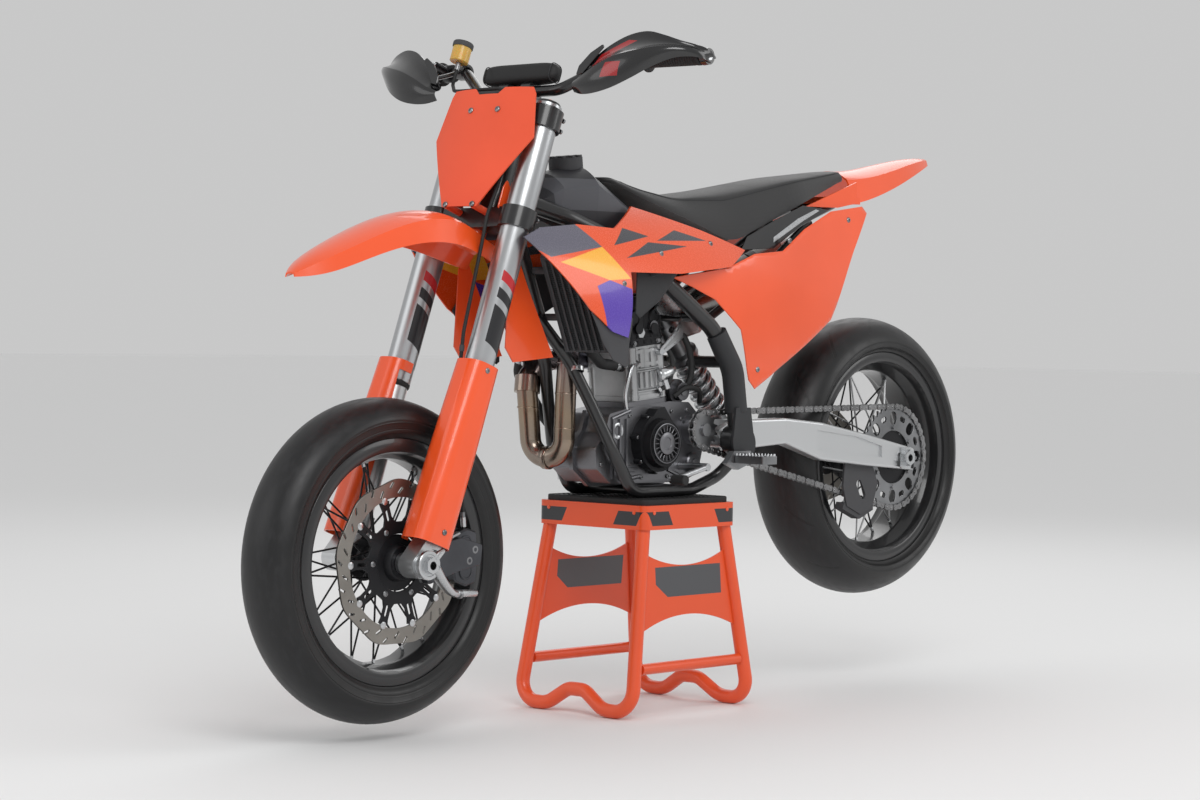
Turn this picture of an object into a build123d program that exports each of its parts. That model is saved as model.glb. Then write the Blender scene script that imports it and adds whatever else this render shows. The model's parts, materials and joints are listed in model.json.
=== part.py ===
import os
from math import acos, atan2, cos, degrees, hypot, pi, radians, sin

from build123d import *

os.makedirs("parts", exist_ok=True)

# Row frame: X forward, Y to the rider's left, Z up, floor at Z = 0, middle of the stand at X = 0.
# Heights on the motorcycle are written above its own datum, which bike_z sets on the stand.

# Fits and walls
seat_gap = 0.3
skin = 3.0

# Paddock stand
stand_height = 420.0
pad_thick = 12.0
deck_length = 277.0
deck_width = 289.0
deck_sheet = 4.0
skirt_depth = 48.0
foot_length = 385.0
foot_width = 336.0
stand_tube_r = 14.0
foot_arch = 34.0
side_rail_r = 11.0
side_rail_z = 98.0
side_panel_low = 170.0
side_panel_high = 322.0

# Frame
cradle_underside = 432.0
cradle_r = 12.5
cradle_half = 85.0
spar_r = 17.0
spar_foot_y = 122.0
head_tube_r = 31.0
head_tube_length = 150.0
head_tube_c = 28.0

# Steering and fork
rake = 19.6
head_x = 445.0
head_z = 963.0
fork_reach = 688.0
clamp_offset = 26.0
axle_lead = 25.0
fork_half = 105.0
fork_tube_r = 28.5
fork_leg_r = 24.0
clamp_thick = 40.0
stem_r = 13.0
bearing_r = 22.0
top_clamp_c = 205.0
fork_top_c = 240.0
outer_tube_low_c = -330.0
foot_half = 19.0
clamp_ring = 6.0

# Wheels
front_tyre_r = 303.5
front_tyre_half = 62.5
front_rim_half = 46.0
front_bead_r = 209.5
front_flange_r = 229.0
rear_tyre_r = 306.5
rear_tyre_half = 82.5
rear_rim_half = 65.0
rear_bead_r = 216.0
rear_flange_r = 231.0
rim_wall = 5.0
well_r = 190.0
spoke_r = 2.0
spokes_per_side = 18
front_disc_r = 155.0
front_disc_y = 58.0
rear_disc_r = 110.0
rear_disc_y = -92.0
disc_thick = 4.5

# Rear suspension and drive
pivot_x = -160.0
pivot_z = 545.0
swingarm_length = 572.9
swingarm_droop = 4.8
lug_length = 38.0
chain_y = 97.0
chain_pitch = 15.875
rear_teeth = 44
front_teeth = 14
countershaft_x = -92.0
countershaft_z = 566.0
sprocket_thick = 5.0
plate_thick = 2.5
plate_gap = 4.5

# Handlebar
bar_half = 405.0
bar_r = 11.0

bike_z = stand_height + pad_thick - cradle_underside
axle_c = -fork_reach
lean = radians(rake)
ahead = Vector(cos(lean), 0, sin(lean))
up = Vector(-sin(lean), 0, cos(lean))
leftward = Vector(0, 1, 0)
head = Vector(head_x, 0, bike_z + head_z)
droop = radians(swingarm_droop)
pivot = Vector(pivot_x, 0, bike_z + pivot_z)
rear_axle = Vector(pivot.X - swingarm_length * cos(droop), 0, pivot.Z - swingarm_length * sin(droop))
countershaft = Vector(countershaft_x, 0, bike_z + countershaft_z)


def steer_point(a, b, c):
    """A point from its distances ahead of, left of and up along the steering axis."""
    return head + ahead * a + leftward * b + up * c


front_axle = steer_point(clamp_offset + axle_lead, 0, -fork_reach)


def side(y):
    """A side view plane at a distance left of the middle: local X forward, local Y up."""
    return Plane(origin=(0, y, bike_z), x_dir=(1, 0, 0), z_dir=(0, -1, 0))


def across(x):
    """A cross section plane at a distance ahead: local X to the left, local Y up."""
    return Plane(origin=(x, 0, bike_z), x_dir=(0, 1, 0), z_dir=(1, 0, 0))


def steer_side(b):
    """A side view plane that leans with the steering axis."""
    return Plane(origin=steer_point(0, b, 0), x_dir=ahead, z_dir=(0, -1, 0))


def steer_level(c):
    """A plane square to the steering axis: local X ahead, local Y to the left."""
    return Plane(origin=steer_point(0, 0, c), x_dir=ahead, z_dir=up)


def wheel_side(axle, y):
    """A side view plane centred on an axle."""
    return Plane(origin=(axle.X, y, axle.Z), x_dir=(1, 0, 0), z_dir=(0, -1, 0))


def wheel_section(axle):
    """A half section plane of a wheel: local X to the left, local Y away from the axle."""
    return Plane(origin=axle, x_dir=(0, 1, 0), z_dir=(1, 0, 0))


def on_bike(points):
    """Points of the motorcycle, written above its datum, as points of the row frame."""
    return [(x, y, z + bike_z) for x, y, z in points]


def tube(points, bend, radius, mode=Mode.ADD):
    """A round tube along straight runs with tangent bends, in the active part."""
    with BuildLine() as route:
        if len(points) > 2:
            FilletPolyline(*points, radius=bend)
        else:
            Line(*points)
    with BuildSketch(Plane(origin=route.line @ 0, z_dir=route.line % 0)) as section:
        Circle(radius)
    sweep(section.sketch, path=route.line, mode=mode)


def rod(start, end, radius, inner=0.0, mode=Mode.ADD):
    """A straight round bar or tube between two points, in the active part."""
    run = Vector(*end) - Vector(*start)
    with BuildSketch(Plane(origin=start, z_dir=run)) as section:
        Circle(radius)
        if inner > 0:
            Circle(inner, mode=Mode.SUBTRACT)
    extrude(section.sketch, amount=run.length, mode=mode)


def finish(builder, label):
    """Name a finished piece and write its file."""
    builder.part.label = label
    export_step(builder.part, f"parts/{label}.step")


# Stand: two leaning hoops whose feet are arched between the corners that touch the floor
skirt_clearance = 6.0
deck_corner_x = deck_length / 2 - stand_tube_r - skirt_clearance
deck_corner_y = deck_width / 2 - stand_tube_r - skirt_clearance
foot_x = foot_length / 2 - stand_tube_r
foot_y = foot_width / 2 - stand_tube_r
hoop_top_z = stand_height - deck_sheet - seat_gap - stand_tube_r


def hoop(sign):
    """Half of a hoop's closed run, from the top bar round a foot to the arch."""
    spread = (foot_x - deck_corner_x) / (hoop_top_z - stand_tube_r)
    arch_x = foot_x - spread * foot_arch
    half = [
        (deck_corner_x, 0, hoop_top_z),
        (deck_corner_x, deck_corner_y, hoop_top_z),
        (foot_x, foot_y, stand_tube_r),
        (foot_x, foot_y - 78, stand_tube_r),
        (arch_x, 22, stand_tube_r + foot_arch),
        (arch_x, 0, stand_tube_r + foot_arch),
    ]
    tube([(sign * x, y, z) for x, y, z in half], [26, 44, 60, 40], stand_tube_r)


with BuildPart() as stand_hoops:
    for sign in (1, -1):
        hoop(sign)
    mirror(about=Plane.XZ)
finish(stand_hoops, "stand_hoops")


def leg_x(z):
    """Distance of a leg's centre ahead of the middle at a height."""
    share = (hoop_top_z - z) / (hoop_top_z - stand_tube_r)
    return deck_corner_x + (foot_x - deck_corner_x) * share


def leg_y(z):
    """Distance of a leg's centre beside the middle at a height."""
    share = (hoop_top_z - z) / (hoop_top_z - stand_tube_r)
    return deck_corner_y + (foot_y - deck_corner_y) * share


# Side panels and the low rails below them, between the hoops' legs
leg_reach = stand_tube_r * 1.02 + seat_gap
with BuildPart() as stand_sides:
    panel_lean = degrees(atan2(foot_y - deck_corner_y, hoop_top_z - stand_tube_r))
    middle_z = (side_panel_low + side_panel_high) / 2
    for sign in (1, -1):
        panel_plane = Plane(
            origin=(0, sign * leg_y(middle_z), middle_z),
            x_dir=(1, 0, 0),
            z_dir=(0, -sign * cos(radians(panel_lean)), -sin(radians(panel_lean))),
        )
        half_high = (side_panel_high - side_panel_low) / 2 * (1 if panel_plane.y_dir.Z > 0 else -1)
        low_x = leg_x(side_panel_low) - leg_reach
        high_x = leg_x(side_panel_high) - leg_reach
        with BuildSketch(panel_plane):
            with BuildLine():
                Line((-low_x, -half_high), (-high_x, half_high))
                ThreePointArc((-high_x, half_high), (0, half_high * 0.68), (high_x, half_high))
                Line((high_x, half_high), (low_x, -half_high))
                ThreePointArc((low_x, -half_high), (0, -half_high * 0.62), (-low_x, -half_high))
            make_face()
        extrude(amount=1.5, both=True)
        rail_x = leg_x(side_rail_z + side_rail_r) - leg_reach
        rail_y = sign * leg_y(side_rail_z)
        rod((-rail_x, rail_y, side_rail_z), (rail_x, rail_y, side_rail_z), side_rail_r)
finish(stand_sides, "stand_side_panels")

# Deck: a folded sheet with short skirts on its four sides
with BuildPart() as stand_deck:
    with BuildSketch(Plane.XY.offset(stand_height - deck_sheet)):
        RectangleRounded(deck_length, deck_width, 14)
    extrude(amount=deck_sheet)
    with BuildSketch(Plane.XY.offset(stand_height - skirt_depth)):
        RectangleRounded(deck_length + 2, deck_width + 2, 15)
        RectangleRounded(deck_length - 2, deck_width - 2, 13, mode=Mode.SUBTRACT)
    extrude(amount=skirt_depth)
finish(stand_deck, "stand_deck")

with BuildPart() as stand_pad:
    with BuildSketch(Plane.XY.offset(stand_height)):
        RectangleRounded(deck_length - 16, deck_width - 16, 16)
    extrude(amount=pad_thick - seat_gap)
    fillet(stand_pad.faces().sort_by(Axis.Z)[-1].edges(), radius=3)
finish(stand_pad, "stand_pad")

# Frame: steering head, single downtube, double cradle and twin spars
cradle_z = cradle_underside + cradle_r + seat_gap
cradle_route = [
    (318, 10, 794),
    (243, 34, 703),
    (207, 58, 620),
    (168, cradle_half - 4, 530),
    (112, cradle_half, cradle_z),
    (-70, cradle_half, cradle_z),
    (-140, cradle_half + 8, 470),
    (-164, spar_foot_y, 512),
]
cradle_bends = [120, 120, 90, 42, 60, 45]
spar_route = [
    (398, 26, 1018),
    (300, 70, 985),
    (130, 96, 925),
    (35, 105, 859),
    (-95, 112, 774),
    (-150, spar_foot_y, 690),
    (-165, spar_foot_y, 560),
]
spar_bends = [90, 120, 90, 90, 80]
downtube_foot = (300, 0, 772)
downtube_r = 20.0
cross_bars = [(-128, 705, 112, 12), (-60, 798, 108, 12)]


def flipped(points):
    """The same points on the other side of the middle."""
    return [(x, -y, z) for x, y, z in points]


def frame_tubes(gap=0.0):
    """Every tube of the frame, grown by a gap where it stands for the room that they need."""
    for turn in (list, flipped):
        tube(on_bike(turn(cradle_route)), cradle_bends, cradle_r + gap)
        tube(on_bike(turn(spar_route)), spar_bends, spar_r + gap)
    rod(steer_point(0, 0, head_tube_c - gap), steer_point(0, 0, head_tube_c + head_tube_length + gap),
        head_tube_r + gap)
    rod(steer_point(-16, 0, 78), on_bike([downtube_foot])[0], downtube_r + gap)
    for cross_x in (60, -60):
        start = (cross_x, -cradle_half, bike_z + cradle_z)
        rod(start, (cross_x, cradle_half, bike_z + cradle_z), 9 + gap)
    for bar_x, bar_z, bar_y, cross_r in cross_bars:
        rod((bar_x, -bar_y, bike_z + bar_z), (bar_x, bar_y, bike_z + bar_z), cross_r + gap)
    for sign in (1, -1):
        with BuildSketch(Plane(origin=(pivot.X, sign * spar_foot_y, pivot.Z), z_dir=(0, 1, 0))) as boss:
            Circle(30 + gap)
        extrude(boss.sketch, amount=14 + gap, both=True)


with BuildPart() as frame_room:
    frame_tubes(seat_gap)

with BuildPart() as main_frame:
    frame_tubes()
    rod(steer_point(0, 0, 0), steer_point(0, 0, top_clamp_c), stem_r + 2, mode=Mode.SUBTRACT)
    rod((pivot.X, -140, pivot.Z), (pivot.X, 140, pivot.Z), 12.5, mode=Mode.SUBTRACT)
finish(main_frame, "main_frame")

# Guards round the lower spars, each with a lobe over the swingarm pivot
guard_route = [(-104, 114, 764), (-150, spar_foot_y, 690), (-164, spar_foot_y, 604)]
with BuildPart() as frame_guards:
    tube(on_bike(guard_route), [90], spar_r + 6)
    with BuildSketch(side(spar_foot_y + 14 + seat_gap)):
        with BuildLine():
            Line((-186, 612), (-196, 560))
            ThreePointArc((-196, 560), (-200, 520), (-172, 498))
            ThreePointArc((-172, 498), (-138, 520), (-134, 560))
            Line((-134, 560), (-140, 612))
            Line((-140, 612), (-186, 612))
        make_face()
    extrude(amount=-6)
    add(frame_room.part, mode=Mode.SUBTRACT)
    split(bisect_by=Plane.XZ.offset(-(chain_y + 10)), keep=Keep.BOTTOM)
    mirror(about=Plane.XZ)
finish(frame_guards, "frame_guards")

# Subframe: two rails under the saddle and two struts down to the spars
with BuildPart() as subframe:
    for turn in (list, flipped):
        tube(on_bike(turn([(-6, 82, 900), (-200, 70, 924), (-330, 64, 968), (-560, 52, 1046)])), [120, 120], 10)
        tube(on_bike(turn([(-100, 94, 792), (-250, 78, 862), (-470, 60, 1004)])), [200], 9)
    rod((-545, -54, bike_z + 1040), (-545, 54, bike_z + 1040), 9)
    for sign in (1, -1):
        rod((-330, sign * 64, bike_z + 966), (-330, sign * 64, bike_z + 1022), 9)
        rod((20, sign * 100, bike_z + 852), (-60, sign * 86, bike_z + 906), 9)
    add(frame_room.part, mode=Mode.SUBTRACT)
    add(frame_guards.part, mode=Mode.SUBTRACT)
finish(subframe, "subframe")

# Engine: cases, barrel, head and covers
case_half = 62.0
cylinder_tilt = 6.0
cylinder_half = 56.0
barrel_low = 628.0
barrel_high = 737.0
head_high = 812.0
cylinder_foot_x = 34.0


def cylinder_plane(z):
    """A plane square to the leaning cylinder, at a height on its axis."""
    rise = z - barrel_low
    tilt = radians(cylinder_tilt)
    return Plane(
        origin=(cylinder_foot_x + rise * sin(tilt), 0, bike_z + barrel_low + rise * cos(tilt)),
        x_dir=(cos(tilt), 0, -sin(tilt)),
        z_dir=(sin(tilt), 0, cos(tilt)),
    )


with BuildPart() as crankcase:
    with BuildSketch(side(0)):
        with BuildLine():
            Polyline(
                (104, 610), (156, 600), (168, 562), (196, 532), (192, 492), (150, 461), (-70, 459),
                (-116, 478), (-128, 520), (-124, 588), (-84, 622), (-24, 624), (104, 610),
            )
        make_face()
    extrude(amount=case_half, both=True)
    fillet(crankcase.edges().filter_by(Axis.Y), radius=10)
    with BuildSketch(side(0)):
        Polygon((98, 606), (162, 606), (175, 566), (203, 534), (199, 488), (153, 454), (-72, 452), (-122, 474),
                (-135, 520), (-131, 592), (-88, 629), (-24, 630), align=None)
    extrude(amount=5, both=True)
    for rib_x in (104, 124, 144):
        with BuildSketch(side(0)):
            Polygon((rib_x, 470), (rib_x + 5, 470), (rib_x + 5, 590), (rib_x, 590), align=None)
        extrude(amount=-case_half - 4)
    with BuildSketch(side(-case_half + 6)):
        with Locations((-62, 644)):
            Circle(25)
    extrude(amount=-2 * case_half + 18)
    with BuildSketch(side(-case_half + 26)):
        with Locations((-62, 644)):
            Circle(28)
    extrude(amount=-2 * case_half + 62)
    with BuildSketch(cylinder_plane(barrel_low - 30)):
        RectangleRounded(124, 2 * cylinder_half + 4, 16)
    extrude(amount=30)
    with BuildSketch(wheel_side(countershaft, case_half)):
        Circle(31)
    extrude(amount=-20)
    with BuildSketch(wheel_side(countershaft, case_half + 20)):
        Circle(15)
    extrude(amount=-(chain_y - sprocket_thick / 2 - case_half - 20))
    add(frame_room.part, mode=Mode.SUBTRACT)
finish(crankcase, "crankcase")

with BuildPart() as cylinder:
    with BuildSketch(cylinder_plane(barrel_low + seat_gap)):
        RectangleRounded(104, 2 * cylinder_half, 18)
    extrude(amount=barrel_high - barrel_low - 2 * seat_gap)
    for rib_z in (barrel_low + 4, barrel_high - 40, barrel_high - 14):
        with BuildSketch(cylinder_plane(rib_z)):
            RectangleRounded(110, 2 * cylinder_half + 6, 20)
        extrude(amount=7)
finish(cylinder, "cylinder")

with BuildPart() as cylinder_head:
    with BuildSketch(cylinder_plane(barrel_high)):
        RectangleRounded(116, 2 * cylinder_half + 4, 18)
    extrude(amount=head_high - barrel_high)
    fillet(cylinder_head.faces().sort_by(Axis.Z)[-1].edges(), radius=8)
    for rib_z in (barrel_high + 12, barrel_high + 30):
        with BuildSketch(cylinder_plane(rib_z)):
            RectangleRounded(122, 2 * cylinder_half + 9, 20)
        extrude(amount=4)
    with BuildSketch(side(cylinder_half - 4)):
        with Locations((28, 772), (74, 770)):
            Circle(11)
    extrude(amount=-14)
finish(cylinder_head, "cylinder_head")

with BuildPart() as head_cover:
    with BuildSketch(cylinder_plane(head_high + seat_gap)):
        RectangleRounded(100, 2 * cylinder_half - 10, 22)
    extrude(amount=24, taper=12)
    with BuildSketch(cylinder_plane(head_high + seat_gap)):
        with GridLocations(86, 2 * cylinder_half - 24, 2, 2):
            Circle(8)
    extrude(amount=14)
    with BuildSketch(cylinder_plane(head_high + 20)):
        with GridLocations(0, 34, 1, 2):
            SlotOverall(72, 18)
    extrude(amount=9)
finish(head_cover, "head_cover")

ignition_x = 33.0
ignition_z = 541.0
ignition_r = 58.0
ignition_reach = 46.0
with BuildPart() as engine_side_covers:
    with BuildSketch(side(case_half + seat_gap)):
        with Locations((ignition_x, ignition_z)):
            Circle(ignition_r)
        Polygon((ignition_x - 50, 570), (ignition_x - 14, 614), (ignition_x + 6, 610), (ignition_x + 55, 560),
                align=None)
    extrude(amount=-ignition_reach * 0.55)
    with BuildSketch(side(case_half + seat_gap + ignition_reach * 0.5)):
        with Locations((ignition_x, ignition_z)):
            Circle(ignition_r - 7)
    extrude(amount=-ignition_reach * 0.4, taper=12)
    with BuildSketch(side(case_half + seat_gap + ignition_reach * 0.9)):
        with Locations((ignition_x, ignition_z)):
            Circle(ignition_r - 17)
            Circle(ignition_r - 24, mode=Mode.SUBTRACT)
            Circle(21)
            Circle(12, mode=Mode.SUBTRACT)
            with PolarLocations(28, 9):
                Rectangle(20, 3)
    extrude(amount=-4)
    with BuildSketch(side(case_half + seat_gap)):
        with Locations((ignition_x, ignition_z)):
            with PolarLocations(ignition_r - 1, 7, start_angle=12):
                Circle(6.5)
    extrude(amount=-16)
    with BuildSketch(side(-case_half - seat_gap)):
        with Locations((-22, 548)):
            Circle(72)
        Polygon((20, 612), (120, 600), (160, 560), (150, 490), (20, 480), align=None)
    extrude(amount=20)
    with BuildSketch(side(-case_half - seat_gap - 20)):
        with Locations((-22, 548)):
            Circle(62)
        with Locations((112, 518)):
            Circle(30)
    extrude(amount=22, taper=14)
    with BuildSketch(side(-case_half - seat_gap - 42)):
        with Locations((-22, 548)):
            Circle(44)
            Circle(38, mode=Mode.SUBTRACT)
        with Locations((112, 518)):
            Circle(14)
    extrude(amount=4)
    with BuildSketch(side(-case_half - seat_gap)):
        with Locations((-22, 548)):
            with PolarLocations(70, 8, start_angle=10):
                Circle(7)
        with Locations((146, 566), (146, 500), (60, 486)):
            Circle(7)
    extrude(amount=24)
finish(engine_side_covers, "engine_side_covers")


# Wheels: a tyre, a rim, a hub with its spokes and a brake disc on each axle
def tyre(axle, outer_r, half, rim_half, bead_r, flange_r):
    """A slick tyre: straight bands between the rim's bead seats and the crown."""
    crown = [(0, outer_r)]
    for share, drop in ((0.42, 0.07), (0.8, 0.3), (1.0, 0.72)):
        crown.append((half * share, outer_r - half * drop))
    with BuildSketch(wheel_section(axle)) as section:
        with BuildLine():
            Polyline(
                (0, bead_r + seat_gap), (rim_half - seat_gap, bead_r + seat_gap),
                (rim_half - seat_gap, flange_r + 2), (rim_half + rim_wall, flange_r + 3),
                *reversed(crown), (0, bead_r + seat_gap),
            )
        make_face()
        mirror(about=Plane.YZ)
    revolve(section.sketch, axis=Axis(axle, (0, 1, 0)))


def rim(axle, rim_half, bead_r, flange_r):
    """A rim with two bead seats, upright flanges and a drop well."""
    seat = rim_half * 0.68
    well = rim_half * 0.42
    lip = rim_half + rim_wall
    with BuildSketch(wheel_section(axle)) as section:
        with BuildLine():
            Polyline(
                (0, well_r + rim_wall), (well, well_r + rim_wall), (seat, bead_r - 3),
                (rim_half, bead_r), (rim_half, flange_r), (lip, flange_r), (lip, bead_r - 6),
                (seat + 3, bead_r - 9), (well + 3, well_r), (0, well_r), (0, well_r + rim_wall),
            )
        make_face()
        mirror(about=Plane.YZ)
    revolve(section.sketch, axis=Axis(axle, (0, 1, 0)))


def spokes(axle, flange_y, flange_r, rim_y, cross):
    """Crossed spokes from both hub flanges to the rim's well."""
    step = 2 * pi / spokes_per_side
    end_r = well_r - 1.0
    planes = []
    for sign in (1, -1):
        for number in range(spokes_per_side):
            start_angle = (number + (0.25 if sign > 0 else 0.75)) * step
            end_angle = start_angle + radians(cross) * (1 if number % 2 else -1)
            start = axle + Vector(flange_r * cos(start_angle), sign * flange_y, flange_r * sin(start_angle))
            end = axle + Vector(end_r * cos(end_angle), sign * rim_y, end_r * sin(end_angle))
            planes.append(Plane(origin=start, z_dir=end - start))
            reach = (end - start).length
    with BuildSketch(*planes) as section:
        RegularPolygon(spoke_r, 6)
    extrude(section.sketch, amount=reach)


def hub(axle, profile):
    """A turned hub from its half profile of places beside the middle and radii."""
    with BuildSketch(wheel_section(axle)) as section:
        with BuildLine():
            Polyline(*profile, close=True)
        make_face()
    revolve(section.sketch, axis=Axis(axle, (0, 1, 0)))


def brake_disc(axle, y, outer_r, inner_r, lobes, wave):
    """A wavy brake rotor, its round bobbins and the spoked carrier inside it."""
    step = 2 * pi / lobes
    with BuildSketch(wheel_side(axle, y)) as rotor:
        with BuildLine():
            for number in range(lobes):
                angles = [(number + share) * step for share in (0, 0.3, 0.6, 0.8, 1)]
                reach = [outer_r - wave * 0.5, outer_r, outer_r - wave * 0.5, outer_r - wave, outer_r - wave * 0.5]
                at = [(r * cos(a), r * sin(a)) for r, a in zip(reach, angles)]
                ThreePointArc(at[0], at[1], at[2])
                ThreePointArc(at[2], at[3], at[4])
        make_face()
        Circle(inner_r, mode=Mode.SUBTRACT)
    extrude(rotor.sketch, amount=disc_thick / 2, both=True)


axle_r = 12.5
axle_clear = 0.5
hollow_r = 8.0
hub_profiles = {
    "front": [
        (-62, axle_r + axle_clear), (-62, 24), (-38, 26), (-36, 40), (-31, 40), (-28, 22), (28, 22),
        (31, 40), (36, 40), (38, 33), (front_disc_y - 8, 33), (front_disc_y - 8, 52),
        (front_disc_y - disc_thick / 2, 52), (front_disc_y - disc_thick / 2, 36), (70, 30), (70, axle_r + axle_clear),
    ],
    "rear": [
        (-98, axle_r + axle_clear), (-98, 27), (rear_disc_y + disc_thick / 2, 30), (rear_disc_y + disc_thick / 2, 46),
        (rear_disc_y + 8, 46), (rear_disc_y + 8, 34), (-44, 34), (-41, 52), (-36, 52), (-32, 30), (32, 30),
        (36, 52), (41, 52), (44, 40), (chain_y - 10, 40), (chain_y - 10, 58),
        (chain_y - sprocket_thick / 2, 58), (chain_y - sprocket_thick / 2, 28), (chain_y + 5, 24),
        (chain_y + 5, axle_r + axle_clear),
    ],
}

with BuildPart() as front_tyre:
    tyre(front_axle, front_tyre_r, front_tyre_half, front_rim_half, front_bead_r, front_flange_r)
finish(front_tyre, "front_tyre")

with BuildPart() as front_rim:
    rim(front_axle, front_rim_half, front_bead_r, front_flange_r)
finish(front_rim, "front_rim")

with BuildPart() as front_hub:
    hub(front_axle, hub_profiles["front"])
    spokes(front_axle, 33.5, 37, 12, 50)
finish(front_hub, "front_hub_spokes")

with BuildPart() as front_disc:
    brake_disc(front_axle, front_disc_y, front_disc_r, front_disc_r - 34, 9, 6)
    with BuildSketch(wheel_side(front_axle, front_disc_y)):
        with PolarLocations(front_disc_r - 17, 18):
            SlotOverall(16, 5, rotation=35)
    extrude(amount=disc_thick, both=True, mode=Mode.SUBTRACT)
    with BuildSketch(wheel_side(front_axle, front_disc_y)):
        Circle(76)
        Circle(52 + seat_gap, mode=Mode.SUBTRACT)
        with PolarLocations(98, 10):
            Rectangle(52, 11)
            with Locations((22, 0)):
                Circle(9)
    extrude(amount=disc_thick / 2 - 0.4, both=True)
finish(front_disc, "front_disc")

with BuildPart() as rear_tyre:
    tyre(rear_axle, rear_tyre_r, rear_tyre_half, rear_rim_half, rear_bead_r, rear_flange_r)
finish(rear_tyre, "rear_tyre")

with BuildPart() as rear_rim:
    rim(rear_axle, rear_rim_half, rear_bead_r, rear_flange_r)
finish(rear_rim, "rear_rim")

with BuildPart() as rear_hub:
    hub(rear_axle, hub_profiles["rear"])
    spokes(rear_axle, 38.5, 48, 14, 50)
finish(rear_hub, "rear_hub_spokes")

with BuildPart() as rear_disc:
    brake_disc(rear_axle, rear_disc_y, rear_disc_r, 46 + seat_gap, 8, 5)
    with BuildSketch(wheel_side(rear_axle, rear_disc_y)):
        with PolarLocations(66, 8):
            SlotOverall(30, 16, rotation=90)
    extrude(amount=disc_thick, both=True, mode=Mode.SUBTRACT)
finish(rear_disc, "rear_disc")


# Chain drive
def pitch_radius(teeth):
    """The radius at which the chain's pins lie on a sprocket."""
    return chain_pitch / 2 / sin(pi / teeth)


def sprocket(axle, y, teeth, hole_r):
    """A toothed wheel: straight flanks between the roots and the tips."""
    radius = pitch_radius(teeth)
    step = 2 * pi / teeth
    points = []
    for number in range(teeth):
        for share, reach in ((0.0, -5.0), (0.28, -1.5), (0.44, 4.5), (0.56, 4.5), (0.72, -1.5)):
            angle = (number + share) * step
            points.append(((radius + reach) * cos(angle), (radius + reach) * sin(angle)))
    with BuildSketch(wheel_side(axle, y)) as section:
        Polygon(*points, align=None)
        Circle(hole_r, mode=Mode.SUBTRACT)
    extrude(section.sketch, amount=sprocket_thick / 2, both=True)


with BuildPart() as rear_sprocket:
    sprocket(rear_axle, chain_y, rear_teeth, 58 + seat_gap)
    with BuildSketch(wheel_side(rear_axle, chain_y)):
        with PolarLocations(84, 8):
            SlotOverall(34, 24, rotation=90)
    extrude(amount=sprocket_thick, both=True, mode=Mode.SUBTRACT)
finish(rear_sprocket, "rear_sprocket")

with BuildPart() as front_sprocket:
    sprocket(countershaft, chain_y, front_teeth, 15 + seat_gap)
    with BuildSketch(wheel_side(countershaft, chain_y + sprocket_thick / 2)):
        Circle(13)
    extrude(amount=-6)
    with BuildSketch(wheel_side(countershaft, chain_y)):
        Circle(15 + seat_gap)
    extrude(amount=sprocket_thick / 2, both=True)
finish(front_sprocket, "front_sprocket")


def chain_route():
    """The chain's loop: the lengths of its four stretches, and the place and outward way along it."""
    radii = (pitch_radius(rear_teeth), pitch_radius(front_teeth))
    run = rear_axle - countershaft
    centres = hypot(run.X, run.Z)
    bearing = atan2(run.Z, run.X)
    half_wrap = acos(-(radii[0] - radii[1]) / centres)
    straight = (centres**2 - (radii[0] - radii[1]) ** 2) ** 0.5
    stretches = (
        (rear_axle, radii[0], bearing - half_wrap, 2 * half_wrap * radii[0]),
        (rear_axle, radii[0], bearing + half_wrap, straight),
        (countershaft, radii[1], bearing + half_wrap, 2 * (pi - half_wrap) * radii[1]),
        (countershaft, radii[1], bearing - half_wrap, straight),
    )

    def place(way):
        for number, (centre, radius, start, reach) in enumerate(stretches):
            if way <= reach:
                break
            way -= reach
        wrapped = number % 2 == 0
        angle = start + way / radius if wrapped else start
        outward = (cos(angle), sin(angle))
        slide = 0 if wrapped else way
        at = (
            centre.X + radius * outward[0] - outward[1] * slide,
            centre.Z + radius * outward[1] + outward[0] * slide,
        )
        return at, outward, wrapped

    return sum(stretch[3] for stretch in stretches), place


chain_length, chain_place = chain_route()
links = 2 * round(chain_length / chain_pitch / 2)
link_step = chain_length / links
outer_points = []
inner_points = []
for number in range(2 * links):
    (px, pz), (ox, oz), wrapped = chain_place(number * link_step / 2)
    reach = 7.3 if number % 2 == 0 else 5.2
    outer_points.append((px + ox * reach, pz + oz * reach))
    if number % 2 == 0:
        inner_points.append((px - ox * 6.6, pz - oz * 6.6))
chain_plane = Plane(origin=(0, chain_y, 0), x_dir=(1, 0, 0), z_dir=(0, -1, 0))
pin_from = rear_axle.X + pitch_radius(rear_teeth) + chain_pitch
pin_to = countershaft.X - pitch_radius(front_teeth)
with BuildPart() as chain:
    for sign in (1, -1):
        with BuildSketch(chain_plane.offset(sign * plate_gap)):
            Polygon(*outer_points, align=None)
            Polygon(*inner_points, align=None, mode=Mode.SUBTRACT)
        extrude(amount=plate_thick / 2, both=True)
    with BuildSketch(chain_plane):
        for number in range(1, links, 3):
            (px, pz), outward, wrapped = chain_place(number * link_step)
            if not wrapped and pin_from < px < pin_to:
                with Locations((px, pz)):
                    RegularPolygon(4.5, 6)
    extrude(amount=plate_gap - plate_thick / 4, both=True)
finish(chain, "chain")

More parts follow.
